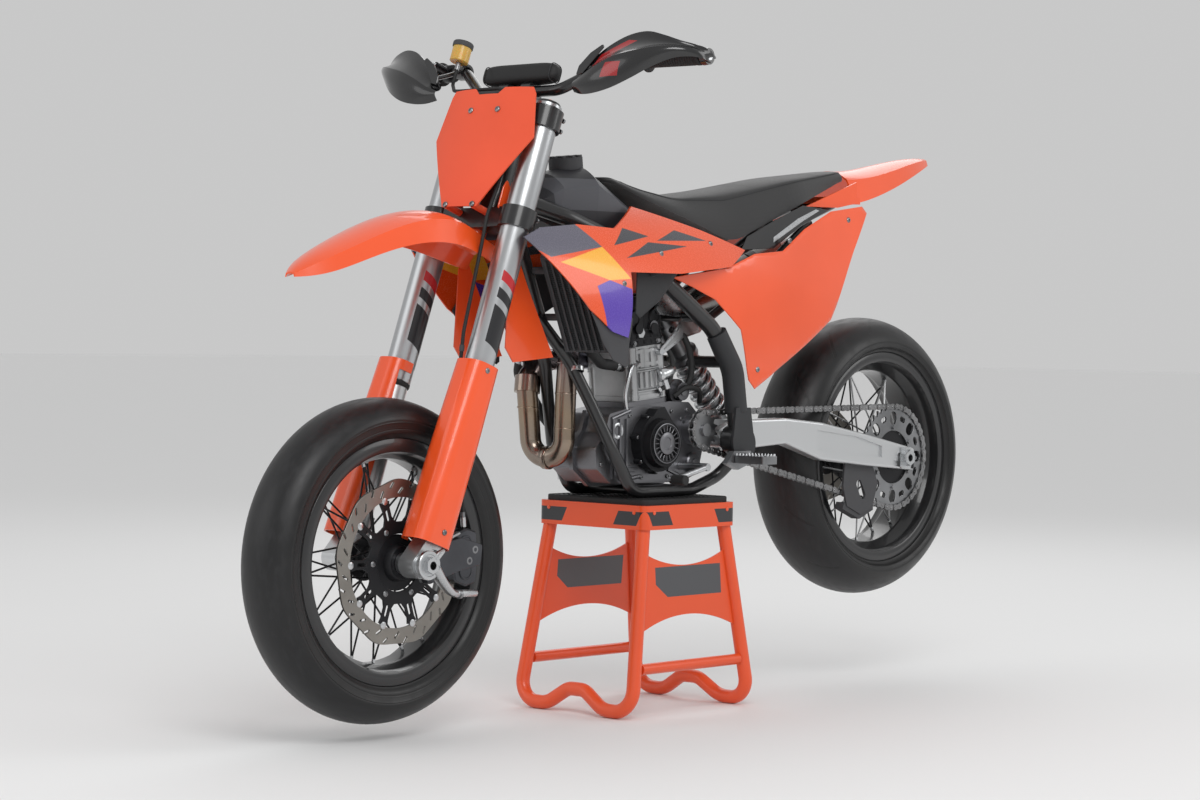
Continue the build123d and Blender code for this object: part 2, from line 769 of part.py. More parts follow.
# Swingarm: two cast arms joined ahead of the tyre, with lugs for the axle at their ends
arm_sections = [
    (-196, 62, 96, 522, 585),
    (-330, 86, 122, 534, 588),
    (-440, 101, 131, 498, 578),
    (-600, 108, 132, 482, 550),
    (-764, 110, 132, 469, 518),
]
with BuildPart() as whole_arm:
    for x, y_in, y_out, z_low, z_high in arm_sections:
        with BuildSketch(across(x)):
            with Locations(((y_in + y_out) / 2, (z_low + z_high) / 2)):
                RectangleRounded(y_out - y_in, z_high - z_low, 6)
    loft(ruled=True)
    mirror(about=Plane.XZ)
    with BuildSketch(side(0)):
        with BuildLine():
            Polyline((-198, 524), (-150, 524), (-150, 566), (-205, 584), (-306, 584), (-318, 548), (-298, 536),
                     (-198, 524))
        make_face()
    extrude(amount=88, both=True)
    with BuildSketch(side(0)):
        with BuildLine():
            Polyline((-216, 500), (-140, 500), (-140, 600), (-216, 600), (-216, 500))
        make_face()
    extrude(amount=68, both=True, mode=Mode.SUBTRACT)
    for sign in (1, -1):
        rod((pivot.X, sign * 68, pivot.Z), (pivot.X, sign * 96, pivot.Z), 20)
    rod((pivot.X, -140, pivot.Z), (pivot.X, 140, pivot.Z), 12 + seat_gap, mode=Mode.SUBTRACT)
    for sign in (1, -1):
        with BuildSketch(wheel_side(rear_axle, sign * 140)):
            SlotOverall(60, 22)
        extrude(amount=sign * 11, mode=Mode.SUBTRACT)
        with BuildSketch(side(sign * 140)):
            Polygon((-424, 562), (-560, 546), (-648, 524), (-648, 500), (-560, 506), (-424, 520), align=None)
            Polygon((-690, 480), (-724, 476), (-780, 470), (-780, 484), (-690, 492), align=None)
        extrude(amount=sign * 13, mode=Mode.SUBTRACT)
    rod((rear_axle.X, -140, rear_axle.Z), (rear_axle.X, 140, rear_axle.Z), axle_r + seat_gap, mode=Mode.SUBTRACT)
# The arm's beams, and the machined axle lugs that are welded to their ends
weld_plane = Plane(origin=(rear_axle.X + lug_length, 0, 0), x_dir=(0, 1, 0), z_dir=(1, 0, 0))
with BuildPart() as swingarm:
    add(whole_arm.part)
    split(bisect_by=weld_plane, keep=Keep.TOP)
finish(swingarm, "swingarm")

with BuildPart() as axle_lugs:
    add(whole_arm.part)
    split(bisect_by=weld_plane, keep=Keep.BOTTOM)
finish(axle_lugs, "swingarm_axle_lugs")

with BuildPart() as pivot_bolt:
    rod((pivot.X, -136, pivot.Z), (pivot.X, 136, pivot.Z), 12)
    for sign in (1, -1):
        rod((pivot.X, sign * 96.3, pivot.Z), (pivot.X, sign * (spar_foot_y - spar_r - seat_gap), pivot.Z), 17)
finish(pivot_bolt, "swingarm_pivot_bolt")

with BuildPart() as rear_axle_bar:
    rod((rear_axle.X, -142, rear_axle.Z), (rear_axle.X, 146, rear_axle.Z), axle_r)
    for sign in (1, -1):
        with BuildSketch(Plane(origin=(rear_axle.X, sign * (132 + seat_gap), rear_axle.Z), z_dir=(0, sign, 0))):
            Rectangle(46, 34)
        extrude(amount=4)
    with BuildSketch(Plane(origin=(rear_axle.X, 136, rear_axle.Z), z_dir=(0, 1, 0))):
        RegularPolygon(18, 6)
    extrude(amount=12)
    with BuildSketch(Plane(origin=(rear_axle.X, -136, rear_axle.Z), z_dir=(0, -1, 0))):
        Circle(17)
    extrude(amount=8)
    rod((rear_axle.X, 102.5, rear_axle.Z), (rear_axle.X, 108.6, rear_axle.Z), 20)
    rod((rear_axle.X, -144, rear_axle.Z), (rear_axle.X, 150, rear_axle.Z), hollow_r, mode=Mode.SUBTRACT)
finish(rear_axle_bar, "rear_axle")

shock_low = Vector(-262, 0, bike_z + 576)
shock_high = Vector(-60, 0, bike_z + 798)
shock_run = shock_high - shock_low
shock_section = Plane(origin=shock_low, x_dir=(0, 1, 0), z_dir=Vector(0, 1, 0).cross(shock_run))
with BuildPart() as shock:
    with BuildSketch(shock_section):
        with BuildLine():
            reach = shock_run.length
            Polyline(
                (0, 0), (16, 0), (16, 34), (33, 38), (33, 46), (24, 46), (24, reach * 0.62), (34, reach * 0.62),
                (34, reach * 0.66), (26, reach * 0.68), (26, reach - 20), (14, reach), (0, reach), (0, 0),
            )
        make_face()
    revolve(axis=Axis(shock_low, shock_run))
    add(frame_room.part, mode=Mode.SUBTRACT)
    add(whole_arm.part, mode=Mode.SUBTRACT)
finish(shock, "rear_shock")


def shell_band(centre, bow_y, section_r, plan_r, thickness):
    """A wide doubly curved wall: an arc in the cross section, carried round a large arc in plan."""
    centre_x, centre_z = centre
    with BuildSketch(Plane(origin=(centre_x, bow_y, bike_z + centre_z), x_dir=(0, 1, 0), z_dir=(1, 0, 0))) as wall:
        with Locations((-section_r, 0)):
            Circle(section_r)
            Circle(section_r - thickness, mode=Mode.SUBTRACT)
        with Locations((-section_r * 0.6, 0)):
            Rectangle(section_r * 1.2, 2 * section_r, align=(Align.MIN, Align.CENTER), mode=Mode.INTERSECT)
    axis = Axis((centre_x, bow_y - plan_r, bike_z), (0, 0, 1))
    band = revolve(wall.sketch, axis=axis, revolution_arc=60, mode=Mode.PRIVATE)
    return band.rotate(axis, -30)


def panel(outline, band, reach=320):
    """A moulded panel: a wall cut to an outline in the side view."""
    with BuildSketch(side(0)) as face:
        Polygon(*outline, align=None)
    extrude(face.sketch, amount=-reach)
    add(band, mode=Mode.INTERSECT)


shroud_outline = [
    (506, 938), (451, 958), (344, 968), (237, 964), (130, 1012), (-61, 972), (-204, 936), (-123, 899),
    (69, 880), (233, 879), (241, 752), (290, 763), (359, 804), (455, 892),
]
panel_outline = [
    (46, 874), (-120, 897), (-206, 928), (-302, 937), (-391, 986), (-499, 1028), (-620, 1044), (-636, 1030),
    (-575, 948), (-468, 795), (-382, 742), (-264, 672), (-222, 649), (-199, 668), (-161, 771), (-84, 831), (-13, 856),
]
right_panel_outline = panel_outline[:8] + [(-600, 1012), (-300, 900), (-200, 836), (-84, 831), (-13, 856)]
shroud_band = shell_band((380, 810), 196, 260, 3000, skin)
panel_band = shell_band((-150, 800), 131, 1500, 5000, skin)

with BuildPart() as right_panel:
    panel(right_panel_outline, panel_band)

with BuildPart() as side_panels:
    panel(panel_outline, panel_band)
    mirror(right_panel.part, about=Plane.XZ)
    for sign in (1, -1):
        rod((-330, sign * 70, bike_z + 920), (-330, sign * 121, bike_z + 920), 7)
    add(subframe.part, mode=Mode.SUBTRACT)
finish(side_panels, "side_panels")

# Radiators behind slatted guards
radiator_foot = Vector(282, 58, bike_z + 722)
radiator_up = Vector(83, 0, 200).normalized()
radiator_out = Vector(-0.62, 0.78, 0).normalized()
radiator_width = 112.0
radiator_height = 196.0
radiator_depth = 26.0
slat_count = 9
radiator_face = Plane(origin=radiator_foot, x_dir=radiator_out, z_dir=radiator_up.cross(radiator_out) * -1)


def on_radiator(along, rise):
    """A place on the radiator's face, from distances outward and up its leaning edge."""
    lean_share = radiator_out.dot(radiator_up)
    return along + rise * lean_share, rise * (1 - lean_share**2) ** 0.5


def radiator_field(low_along, high_along, low_rise, high_rise):
    """A leaning four-sided field of the radiator's face."""
    corners = ((low_along, low_rise), (high_along, low_rise), (high_along, high_rise), (low_along, high_rise))
    Polygon(*[on_radiator(*corner) for corner in corners], align=None)


with BuildPart() as radiators:
    facing = 1 if radiator_face.z_dir.X > 0 else -1
    with BuildSketch(radiator_face):
        radiator_field(0, radiator_width, 0, radiator_height)
    extrude(amount=-facing * radiator_depth)
    with BuildSketch(radiator_face):
        for number in range(slat_count):
            along = 6 + number * (radiator_width - 16) / (slat_count - 1)
            radiator_field(along, along + 4, 4, radiator_height - 4)
    extrude(amount=facing * 10)
    for stay_x, stay_z in ((296, 790), (334, 880)):
        rod((stay_x, 0, bike_z + stay_z), (stay_x, 64, bike_z + stay_z), 7)
    add(frame_room.part, mode=Mode.SUBTRACT)
    split(bisect_by=Plane.XZ, keep=Keep.BOTTOM)
    mirror(about=Plane.XZ)
finish(radiators, "radiators")

with BuildPart() as shrouds:
    panel(shroud_outline, shroud_band)
    rod((258, 132, bike_z + 850), (258, 189, bike_z + 850), 8)
    add(radiators.part, mode=Mode.SUBTRACT)
    mirror(about=Plane.XZ)
finish(shrouds, "shrouds")

# Coolant hoses between the radiators and the engine
hose_wall_r = 11.0
with BuildPart() as coolant_hoses:
    tube(on_bike([(250, 91, 762), (216, 66, 722), (158, 38, 700), (90, 34, 694)]), [30, 40], hose_wall_r)
    tube(on_bike([(120, -98, 540), (158, -124, 596), (216, -134, 676), (241, -98, 734)]), [40, 40], hose_wall_r)
    for piece in (radiators, cylinder, engine_side_covers):
        add(piece.part, mode=Mode.SUBTRACT)
finish(coolant_hoses, "coolant_hoses")


def arched(x, high_half, z_high, low_half, z_low, shoulder_share=0.72):
    """A cross section with two sides and a crown that bows up between them."""
    shoulder = z_low + (z_high - z_low) * shoulder_share
    with BuildSketch(across(x)) as section:
        with BuildLine():
            Polyline((high_half, shoulder), (low_half, z_low), (-low_half, z_low), (-high_half, shoulder))
            ThreePointArc((-high_half, shoulder), (0, z_high), (high_half, shoulder))
        make_face()
    return section.sketch


# Fuel tank between the spars, under the shrouds' upper edges
tank_sections = [
    (352, 42, 1020, 30, 985),
    (300, 66, 1072, 52, 960),
    (215, 80, 1092, 72, 940),
    (120, 74, 1038, 84, 920),
    (20, 74, 986, 78, 905),
]
with BuildPart() as fuel_tank:
    loft([arched(*section) for section in tank_sections], ruled=True)
    add(frame_room.part, mode=Mode.SUBTRACT)
finish(fuel_tank, "fuel_tank")

cap_plane = Plane(origin=(226, 0, bike_z + 1082), z_dir=(0.12, 0, 1))
cap_height = 24.0
with BuildPart() as tank_cap:
    with BuildSketch(cap_plane):
        Circle(34)
    extrude(amount=cap_height)
    with BuildSketch(cap_plane.offset(cap_height)):
        Circle(22)
        with PolarLocations(29, 10):
            Circle(4.6)
    extrude(amount=4)
    add(fuel_tank.part, mode=Mode.SUBTRACT)
finish(tank_cap, "tank_cap")

# Saddle
saddle_sections = [
    (150, 30, 1078, 46, 1066),
    (90, 62, 1054, 84, 1030),
    (-20, 72, 1040, 100, 996),
    (-170, 78, 1060, 104, 950),
    (-396, 76, 1098, 96, 1036),
    (-600, 46, 1122, 56, 1102),
]
with BuildPart() as saddle:
    loft([arched(*section, shoulder_share=0.8) for section in saddle_sections], ruled=True)
    add(subframe.part, mode=Mode.SUBTRACT)
finish(saddle, "saddle")

# Tail: a thin arched wing behind the saddle
def arched_shell(sections, wall):
    """A smooth arched shell through cross sections of x, high half, top, low half and foot."""
    loft([arched(*section) for section in sections])
    rooms = []
    for x, high_half, z_high, low_half, z_low in sections:
        rooms.append(arched(x, max(high_half - wall, 2), z_high - wall, max(low_half - wall, 3), z_low - 1))
    loft(rooms, mode=Mode.SUBTRACT)


tail_sections = [
    (-604, 58, 1122, 84, 1050),
    (-720, 60, 1134, 74, 1078),
    (-860, 40, 1160, 50, 1124),
    (-956, 12, 1168, 16, 1152),
]
with BuildPart() as tail:
    arched_shell(tail_sections, skin)
    for sign in (1, -1):
        with BuildSketch(side(sign * 84)):
            Polygon((-430, 1036), (-605, 1096), (-605, 1050), (-540, 1038), align=None)
        extrude(amount=sign * skin)
    with BuildSketch(across(-532)):
        Polygon((84, 1048), (-84, 1048), (-84, 1062), (84, 1062), align=None)
    extrude(amount=-86)
    add(subframe.part, mode=Mode.SUBTRACT)
    add(saddle.part, mode=Mode.SUBTRACT)
finish(tail, "tail")

# Exhaust: header with its loop ahead of the engine, then back along the right side
header_route = [
    (106, 4, 772), (172, 4, 768), (214, 4, 740), (222, 4, 640), (226, 4, 512), (238, -72, 512), (246, -74, 600),
    (250, -78, 664), (206, -90, 704), (60, -84, 708), (-60, -75, 714), (-180, -73, 772), (-270, -118, 814),
]
header_bends = [36, 30, 200, 37, 37, 120, 34, 60, 90, 90, 70]
header_r = 21.0
silencer_start = Vector(-268, -121, bike_z + 815)
silencer_end = Vector(-640, -150, bike_z + 952)
with BuildPart() as silencer:
    run = silencer_end - silencer_start
    with BuildSketch(Plane(origin=silencer_start, z_dir=run)):
        Circle(26)
    with BuildSketch(Plane(origin=silencer_start + run * 0.2, z_dir=run)):
        Circle(48)
    loft()
    with BuildSketch(Plane(origin=silencer_start + run * 0.2, z_dir=run)):
        Circle(48)
    extrude(amount=run.length * 0.72)
    with BuildSketch(Plane(origin=silencer_start + run * 0.92, z_dir=run)):
        Circle(46)
    extrude(amount=run.length * 0.08, taper=20)
    with BuildSketch(Plane(origin=silencer_end, z_dir=run)):
        Circle(22)
    extrude(amount=-60, mode=Mode.SUBTRACT)
finish(silencer, "silencer")

with BuildPart() as exhaust_header:
    tube(on_bike(header_route), header_bends, header_r)
    add(cylinder_head.part, mode=Mode.SUBTRACT)
    add(silencer.part, mode=Mode.SUBTRACT)
    rod(on_bike([(249, -77, 640)])[0], on_bike([(243, -80, 672)])[0], header_r + 5)
finish(exhaust_header, "exhaust_header")


# Small pieces fixed to the main body
with BuildPart() as head_brackets:
    with BuildSketch(side(62)):
        Polygon((28, 812), (16, 800), (-42, 796), (-70, 800), (-66, 812), (-30, 846), (-4, 850), align=None)
    extrude(amount=-6)
    add(frame_room.part, mode=Mode.SUBTRACT)
    mirror(about=Plane.XZ)
finish(head_brackets, "head_brackets")

peg_z = 500.0
with BuildPart() as footpegs:
    with BuildSketch(side(spar_foot_y + 20 + 2 * seat_gap)):
        Polygon((-118, 524), (-96, 500), (-132, 486), (-176, 500), (-172, 524), align=None)
    extrude(amount=-14)
    with BuildSketch(Plane.XY.offset(bike_z + peg_z)):
        with Locations((-140, 196)):
            RectangleRounded(44, 82, 8)
            RectangleRounded(34, 72, 4, mode=Mode.SUBTRACT)
            Rectangle(6, 76)
    extrude(amount=16)
    mirror(about=Plane.XZ)
finish(footpegs, "footpegs")

with BuildPart() as foot_levers:
    rod((-130, -146, bike_z + 470), (-130, -96, bike_z + 470), 9)
    rod((-130, -140, bike_z + 470), (44, -140, bike_z + 462), 6)
    with BuildSketch(Plane.XY.offset(bike_z + 458)):
        with Locations((52, -148)):
            RectangleRounded(30, 34, 6)
    extrude(amount=10)
    add(frame_room.part, mode=Mode.SUBTRACT)
    rod((-60, case_half + seat_gap, bike_z + 492), (-60, 138, bike_z + 492), 8)
    rod((-60, 132, bike_z + 492), (48, 140, bike_z + 470), 6)
    rod((48, 134, bike_z + 470), (48, 172, bike_z + 470), 9)
finish(foot_levers, "foot_levers")

with BuildPart() as chain_guide:
    with BuildSketch(side(108)):
        Polygon((-544, 506), (-632, 498), (-660, 442), (-640, 388), (-600, 376), (-552, 396), (-538, 440), align=None)
        with Locations((-600, 430)):
            SlotOverall(46, 18, rotation=60, mode=Mode.SUBTRACT)
    extrude(amount=-5)
    with BuildSketch(side(88)):
        Polygon((-546, 404), (-600, 384), (-648, 396), (-648, 384), (-600, 366), (-540, 390), align=None)
    extrude(amount=-22)
    add(whole_arm.part, mode=Mode.SUBTRACT)
finish(chain_guide, "chain_guide")

with BuildPart() as rear_caliper:
    with BuildSketch(wheel_side(rear_axle, rear_disc_y)):
        with Locations((66, 84)):
            RectangleRounded(74, 46, 10, rotation=-38)
    extrude(amount=22, both=True)
    with BuildSketch(wheel_side(rear_axle, rear_disc_y)):
        Circle(rear_disc_r + 5)
    extrude(amount=disc_thick / 2 + 3, both=True, mode=Mode.SUBTRACT)
    with BuildSketch(wheel_side(rear_axle, rear_disc_y - 15.5)):
        Polygon((-18, 8), (10, -20), (86, 58), (48, 92), align=None)
        Circle(22)
        Circle(axle_r + seat_gap, mode=Mode.SUBTRACT)
    extrude(amount=-8)
finish(rear_caliper, "rear_caliper")


# Steering: clamps, fork, guards and what they carry
def both_forks():
    """The places of the two fork tubes in a plane square to the steering axis."""
    return [(clamp_offset, fork_half), (clamp_offset, -fork_half)]


with BuildPart() as triple_clamps:
    for c in (0, top_clamp_c):
        with BuildSketch(steer_level(c - clamp_thick / 2)):
            with Locations(*both_forks()):
                Circle(fork_tube_r + clamp_ring)
            Polygon((-24, 27), (-24, -27), (2, -fork_half), (50, -fork_half), (44, -30), (44, 30), (50, fork_half),
                    (2, fork_half), align=None)
            with Locations((clamp_offset - 18, fork_half - 44), (clamp_offset - 18, 44 - fork_half)):
                RectangleRounded(22, 26, 6, mode=Mode.SUBTRACT)
            with Locations(*both_forks()):
                Circle(fork_tube_r + seat_gap, mode=Mode.SUBTRACT)
            with Locations((clamp_offset - 30, fork_half), (clamp_offset - 30, -fork_half)):
                Rectangle(20, 2.5, mode=Mode.SUBTRACT)
        extrude(amount=clamp_thick)
    rod(steer_point(0, 0, 0), steer_point(0, 0, top_clamp_c + 26), stem_r)
    rod(steer_point(0, 0, 0), steer_point(0, 0, head_tube_c - seat_gap), bearing_r)
    rod(steer_point(0, 0, head_tube_c + head_tube_length + seat_gap), steer_point(0, 0, top_clamp_c), bearing_r)
    for b in (-30, 30):
        with BuildSketch(steer_level(top_clamp_c + clamp_thick / 2)):
            with Locations((8, b)):
                RectangleRounded(40, 24, 6)
        extrude(amount=34)
finish(triple_clamps, "triple_clamps")

with BuildPart() as fork_tubes:
    with BuildSketch(steer_level(outer_tube_low_c)):
        with Locations(*both_forks()):
            Circle(fork_tube_r)
    extrude(amount=fork_top_c - 6 - outer_tube_low_c)
    with BuildSketch(steer_level(fork_top_c - 6)):
        with Locations(*both_forks()):
            Circle(fork_tube_r - 3)
    extrude(amount=6)
    with BuildSketch(steer_level(fork_top_c)):
        with Locations(*both_forks()):
            RegularPolygon(15, 6)
    extrude(amount=5)
finish(fork_tubes, "fork_outer_tubes")

fork_outer = fork_half + foot_half + 16
with BuildPart() as fork_lowers:
    with BuildSketch(steer_level(axle_c + 34)):
        with Locations(*both_forks()):
            Circle(fork_leg_r)
    extrude(amount=outer_tube_low_c - seat_gap - axle_c - 34)
    foot_a = clamp_offset + axle_lead
    for b in (fork_half, -fork_half):
        with BuildSketch(steer_side(b)):
            with BuildLine():
                Polyline((4, axle_c + 92), (50, axle_c + 92), (56, axle_c + 48), (foot_a + 26, axle_c))
                ThreePointArc((foot_a + 26, axle_c), (foot_a, axle_c - 26), (foot_a - 26, axle_c))
                Polyline((foot_a - 26, axle_c), (5, axle_c + 38), (4, axle_c + 92))
            make_face()
        extrude(amount=foot_half, both=True)
    with BuildSketch(steer_side(fork_half - foot_half)):
        Polygon((30, axle_c - 12), (10, axle_c + 48), (-40, axle_c + 78), (-96, axle_c + 82), (-104, axle_c + 48),
                (-60, axle_c + 24), (10, axle_c - 24), align=None)
    extrude(amount=-14)
    rod((front_axle.X, -fork_outer, front_axle.Z), (front_axle.X, fork_outer, front_axle.Z), axle_r + seat_gap,
        mode=Mode.SUBTRACT)
finish(fork_lowers, "fork_lowers")

with BuildPart() as front_axle_bar:
    rod((front_axle.X, -fork_half - foot_half - 4, front_axle.Z), (front_axle.X, 146, front_axle.Z), axle_r)
    with BuildSketch(Plane(origin=(front_axle.X, fork_half + foot_half + seat_gap, front_axle.Z), z_dir=(0, 1, 0))):
        Circle(21)
    extrude(amount=12)
    with BuildSketch(Plane(origin=(front_axle.X, 136, front_axle.Z), z_dir=(0, 1, 0))):
        RegularPolygon(16, 6)
    extrude(amount=16)
    rod((front_axle.X, 71, front_axle.Z), (front_axle.X, fork_half - foot_half - seat_gap, front_axle.Z), 20)
    rod((front_axle.X, -fork_half + foot_half + seat_gap, front_axle.Z), (front_axle.X, -63, front_axle.Z), 20)
    rod((front_axle.X, -130, front_axle.Z), (front_axle.X, 154, front_axle.Z), hollow_r, mode=Mode.SUBTRACT)
finish(front_axle_bar, "front_axle")

caliper_back = 148.0
with BuildPart() as front_caliper:
    with BuildSketch(wheel_side(front_axle, front_disc_y)):
        with Locations((-caliper_back, 4)):
            RectangleRounded(66, 108, 14)
    extrude(amount=30, both=True)
    with BuildSketch(wheel_side(front_axle, front_disc_y)):
        Circle(front_disc_r + 5)
    extrude(amount=disc_thick / 2 + 3.5, both=True, mode=Mode.SUBTRACT)
    with BuildSketch(wheel_side(front_axle, fork_half - foot_half - 0.1)):
        with Locations((-caliper_back, 4)):
            Rectangle(100, 140)
    extrude(amount=-30, mode=Mode.SUBTRACT)
finish(front_caliper, "front_caliper")

with BuildPart() as fork_guards:
    guard_top = outer_tube_low_c + 38
    guard_low = axle_c + 42
    guard_mid = (guard_top + guard_low) / 2
    for c, along, wide, shift in ((guard_top, 74, 68, 30), (guard_mid, 84, 70, 36), (guard_low, 92, 66, 42)):
        with BuildSketch(steer_level(c)):
            with Locations((shift, fork_half + 1)):
                RectangleRounded(along, wide, 26)
    loft(ruled=True)
    for c, along, wide, shift in ((guard_top + 1, 68, 62, 30), (guard_mid, 78, 64, 36), (guard_low - 1, 86, 60, 42)):
        with BuildSketch(steer_level(c)):
            with Locations((shift, fork_half + 1)):
                RectangleRounded(along, wide, 23)
    loft(ruled=True, mode=Mode.SUBTRACT)
    with BuildSketch(steer_side(fork_half - 40)):
        Polygon((-60, guard_top + 12), (24, guard_top + 12), (30, guard_low - 14), (-60, guard_low - 14), align=None)
    extrude(amount=-40, mode=Mode.SUBTRACT)
    with BuildSketch(steer_side(fork_half - 40)):
        Polygon((10, guard_top - 20), (54, guard_top - 20), (58, guard_low - 14), (10, guard_low - 14), align=None)
    extrude(amount=-24, mode=Mode.SUBTRACT)
    bolt_c = guard_top - 20
    tube_side = fork_half + fork_tube_r + seat_gap
    rod(steer_point(clamp_offset, tube_side, bolt_c), steer_point(clamp_offset, fork_half + 33, bolt_c), 8)
    mirror(about=Plane.XZ)
finish(fork_guards, "fork_guards")

fender_sections = [
    (944, 12, 862, 14, 853),
    (849, 52, 918, 60, 876),
    (742, 66, 962, 80, 912),
    (600, 70, 984, 86, 920),
    (520, 56, 960, 70, 900),
    (432, 50, 922, 70, 880),
]
with BuildPart() as front_mudguard:
    arched_shell(fender_sections, skin)
    for b in (68, -68 - skin):
        with BuildSketch(side(b)):
            Polygon((432, 905), (405, 850), (330, 712), (440, 702), (462, 730), (452, 880), align=None)
        extrude(amount=-skin)
    rod(steer_point(20, 0, -42), steer_point(20, 0, 0), 18)
    add(triple_clamps.part, mode=Mode.SUBTRACT)
finish(front_mudguard, "front_mudguard")

plate_a = 84.0
plate_face = Plane(origin=steer_point(plate_a, 0, 0), x_dir=(0, 1, 0), z_dir=ahead)
plate_half = [(0, 238), (26, 238), (40, 251), (104, 253), (112, 240), (131, 152), (96, 92), (46, 6), (0, 6)]
plate_bow_r = 430.0
with BuildPart() as number_plate:
    with BuildSketch(plate_face):
        Polygon(*plate_half, align=None)
        mirror(about=Plane.YZ)
    extrude(amount=30, both=True)
    with BuildSketch(steer_level(-10)):
        with Locations((plate_a - plate_bow_r, 0)):
            Circle(plate_bow_r + skin)
            Circle(plate_bow_r, mode=Mode.SUBTRACT)
    extrude(amount=280, mode=Mode.INTERSECT)
    for c in (10, top_clamp_c):
        for b in (-36, 36):
            rod(steer_point(plate_a - 1, b, c), steer_point(30, b, c), 7)
    add(triple_clamps.part, mode=Mode.SUBTRACT)
finish(number_plate, "number_plate")

bar_c = 275.0
bar_route = [(-47, -bar_half, 352), (-22, -200, 342), (8, -105, bar_c), (8, 105, bar_c), (-22, 200, 342),
             (-47, bar_half, 352)]
with BuildPart() as handlebar:
    tube([steer_point(*point) for point in bar_route], [70, 50, 50, 70], bar_r)
    for b in (-30, 30):
        rod(steer_point(8, b - 12, bar_c), steer_point(8, b + 12, bar_c), bar_r + 9)
    add(triple_clamps.part, mode=Mode.SUBTRACT)
finish(handlebar, "handlebar")

with BuildPart() as bar_pad:
    with BuildSketch(Plane(origin=steer_point(14, 0, bar_c), x_dir=(0, 1, 0), z_dir=ahead)):
        with Locations((0, 34)):
            RectangleRounded(196, 40, 16)
    extrude(amount=18, both=True)
    fillet(bar_pad.faces().sort_by(Axis.X)[-1].edges(), radius=8)
    rod(steer_point(8, -60, bar_c), steer_point(8, 60, bar_c), bar_r + 9 + seat_gap, mode=Mode.SUBTRACT)
finish(bar_pad, "bar_pad")


def bar_at(b):
    """The handlebar's centre on its outer stretch, at a distance left of the middle."""
    share = (abs(b) - 200) / (bar_half - 200)
    return steer_point(-22 - 25 * share, b, 342 + 10 * share)


with BuildPart() as grips:
    for sign in (1, -1):
        rod(bar_at(sign * 282), bar_at(sign * (bar_half - 5)), 16, inner=bar_r + seat_gap)
        rod(bar_at(sign * 276), bar_at(sign * 282), 24, inner=bar_r + seat_gap)
finish(grips, "grips")

with BuildPart() as hand_guards:
    with BuildSketch(Plane(origin=bar_at(bar_half), x_dir=(0, 1, 0), z_dir=up * -1)):
        Polygon((12, -14), (22, 40), (-40, 92), (-150, 112), (-235, 96), (-235, 92), (-150, 108), (-42, 88),
                (18, 38), (8, -14), align=None)
    extrude(amount=130, both=True)
    with BuildSketch(Plane(origin=steer_point(-120, 0, 0), x_dir=(0, 1, 0), z_dir=ahead)):
        Polygon((168, 252), (196, 300), (238, 332), (300, 370), (360, 368), (430, 370), (430, 334), (380, 318),
                (320, 266), (230, 244), align=None)
    extrude(amount=320, mode=Mode.INTERSECT)
    rod(bar_at(bar_half + seat_gap), bar_at(bar_half + 13), 14)
    mirror(about=Plane.XZ)
finish(hand_guards, "hand_guards")

with BuildPart() as levers:
    for sign in (1, -1):
        rod(bar_at(sign * 240), bar_at(sign * 266), 18, inner=bar_r + seat_gap)
        rod(bar_at(sign * 252) + ahead * 14, bar_at(sign * 252) + ahead * 46, 8)
        rod(bar_at(sign * 246) + ahead * 44, bar_at(sign * 370) + ahead * 56, 5)
finish(levers, "levers")

with BuildPart() as reservoir:
    base = bar_at(-190) + ahead * 34 + up * 6
    rod(base, base + up * 34, 19)
    rod(base + up * 34, base + up * 42, 21)
    rod(base + ahead * -10 + up * 8, bar_at(-190) + ahead * 11.5 + up * 8, 6)
finish(reservoir, "brake_reservoir")

# Brake hose: from the reservoir behind the number plate and down inside the left fork guard
hose_r = 3.5
hose_route = [
    (13, -190, 347), (13, -190, 300), (66, -120, 258), (66, 20, 258), (60, 62, 190), (58, 62, 59), (73, 71, -8),
    (74, 79, -79), (66, 84, -240), (52, 83, -300), (50, 82, -335), (38, 73.5, -372), (-55, 73.5, axle_c + 148),
    (-74, 73.5, axle_c + 107),
]
hose_bends = [22, 40, 40, 60, 60, 60, 60, 60, 40, 24, 24, 18]
with BuildPart() as brake_hose:
    tube([steer_point(*point) for point in hose_route], hose_bends, hose_r)
    add(front_caliper.part, mode=Mode.SUBTRACT)
    add(reservoir.part, mode=Mode.SUBTRACT)
finish(brake_hose, "brake_hose")
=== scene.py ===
"""The looks of a supermoto motorcycle on its paddock stand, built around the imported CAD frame."""
import json
import logging
from collections.abc import Callable, Sequence
from dataclasses import dataclass, field
from enum import Enum
from math import acos, atan2, cos, hypot, pi, radians, sin

import bmesh
import bpy
from mathutils import Matrix, Vector
from mathutils.bvhtree import BVHTree
from mathutils.geometry import delaunay_2d_cdt


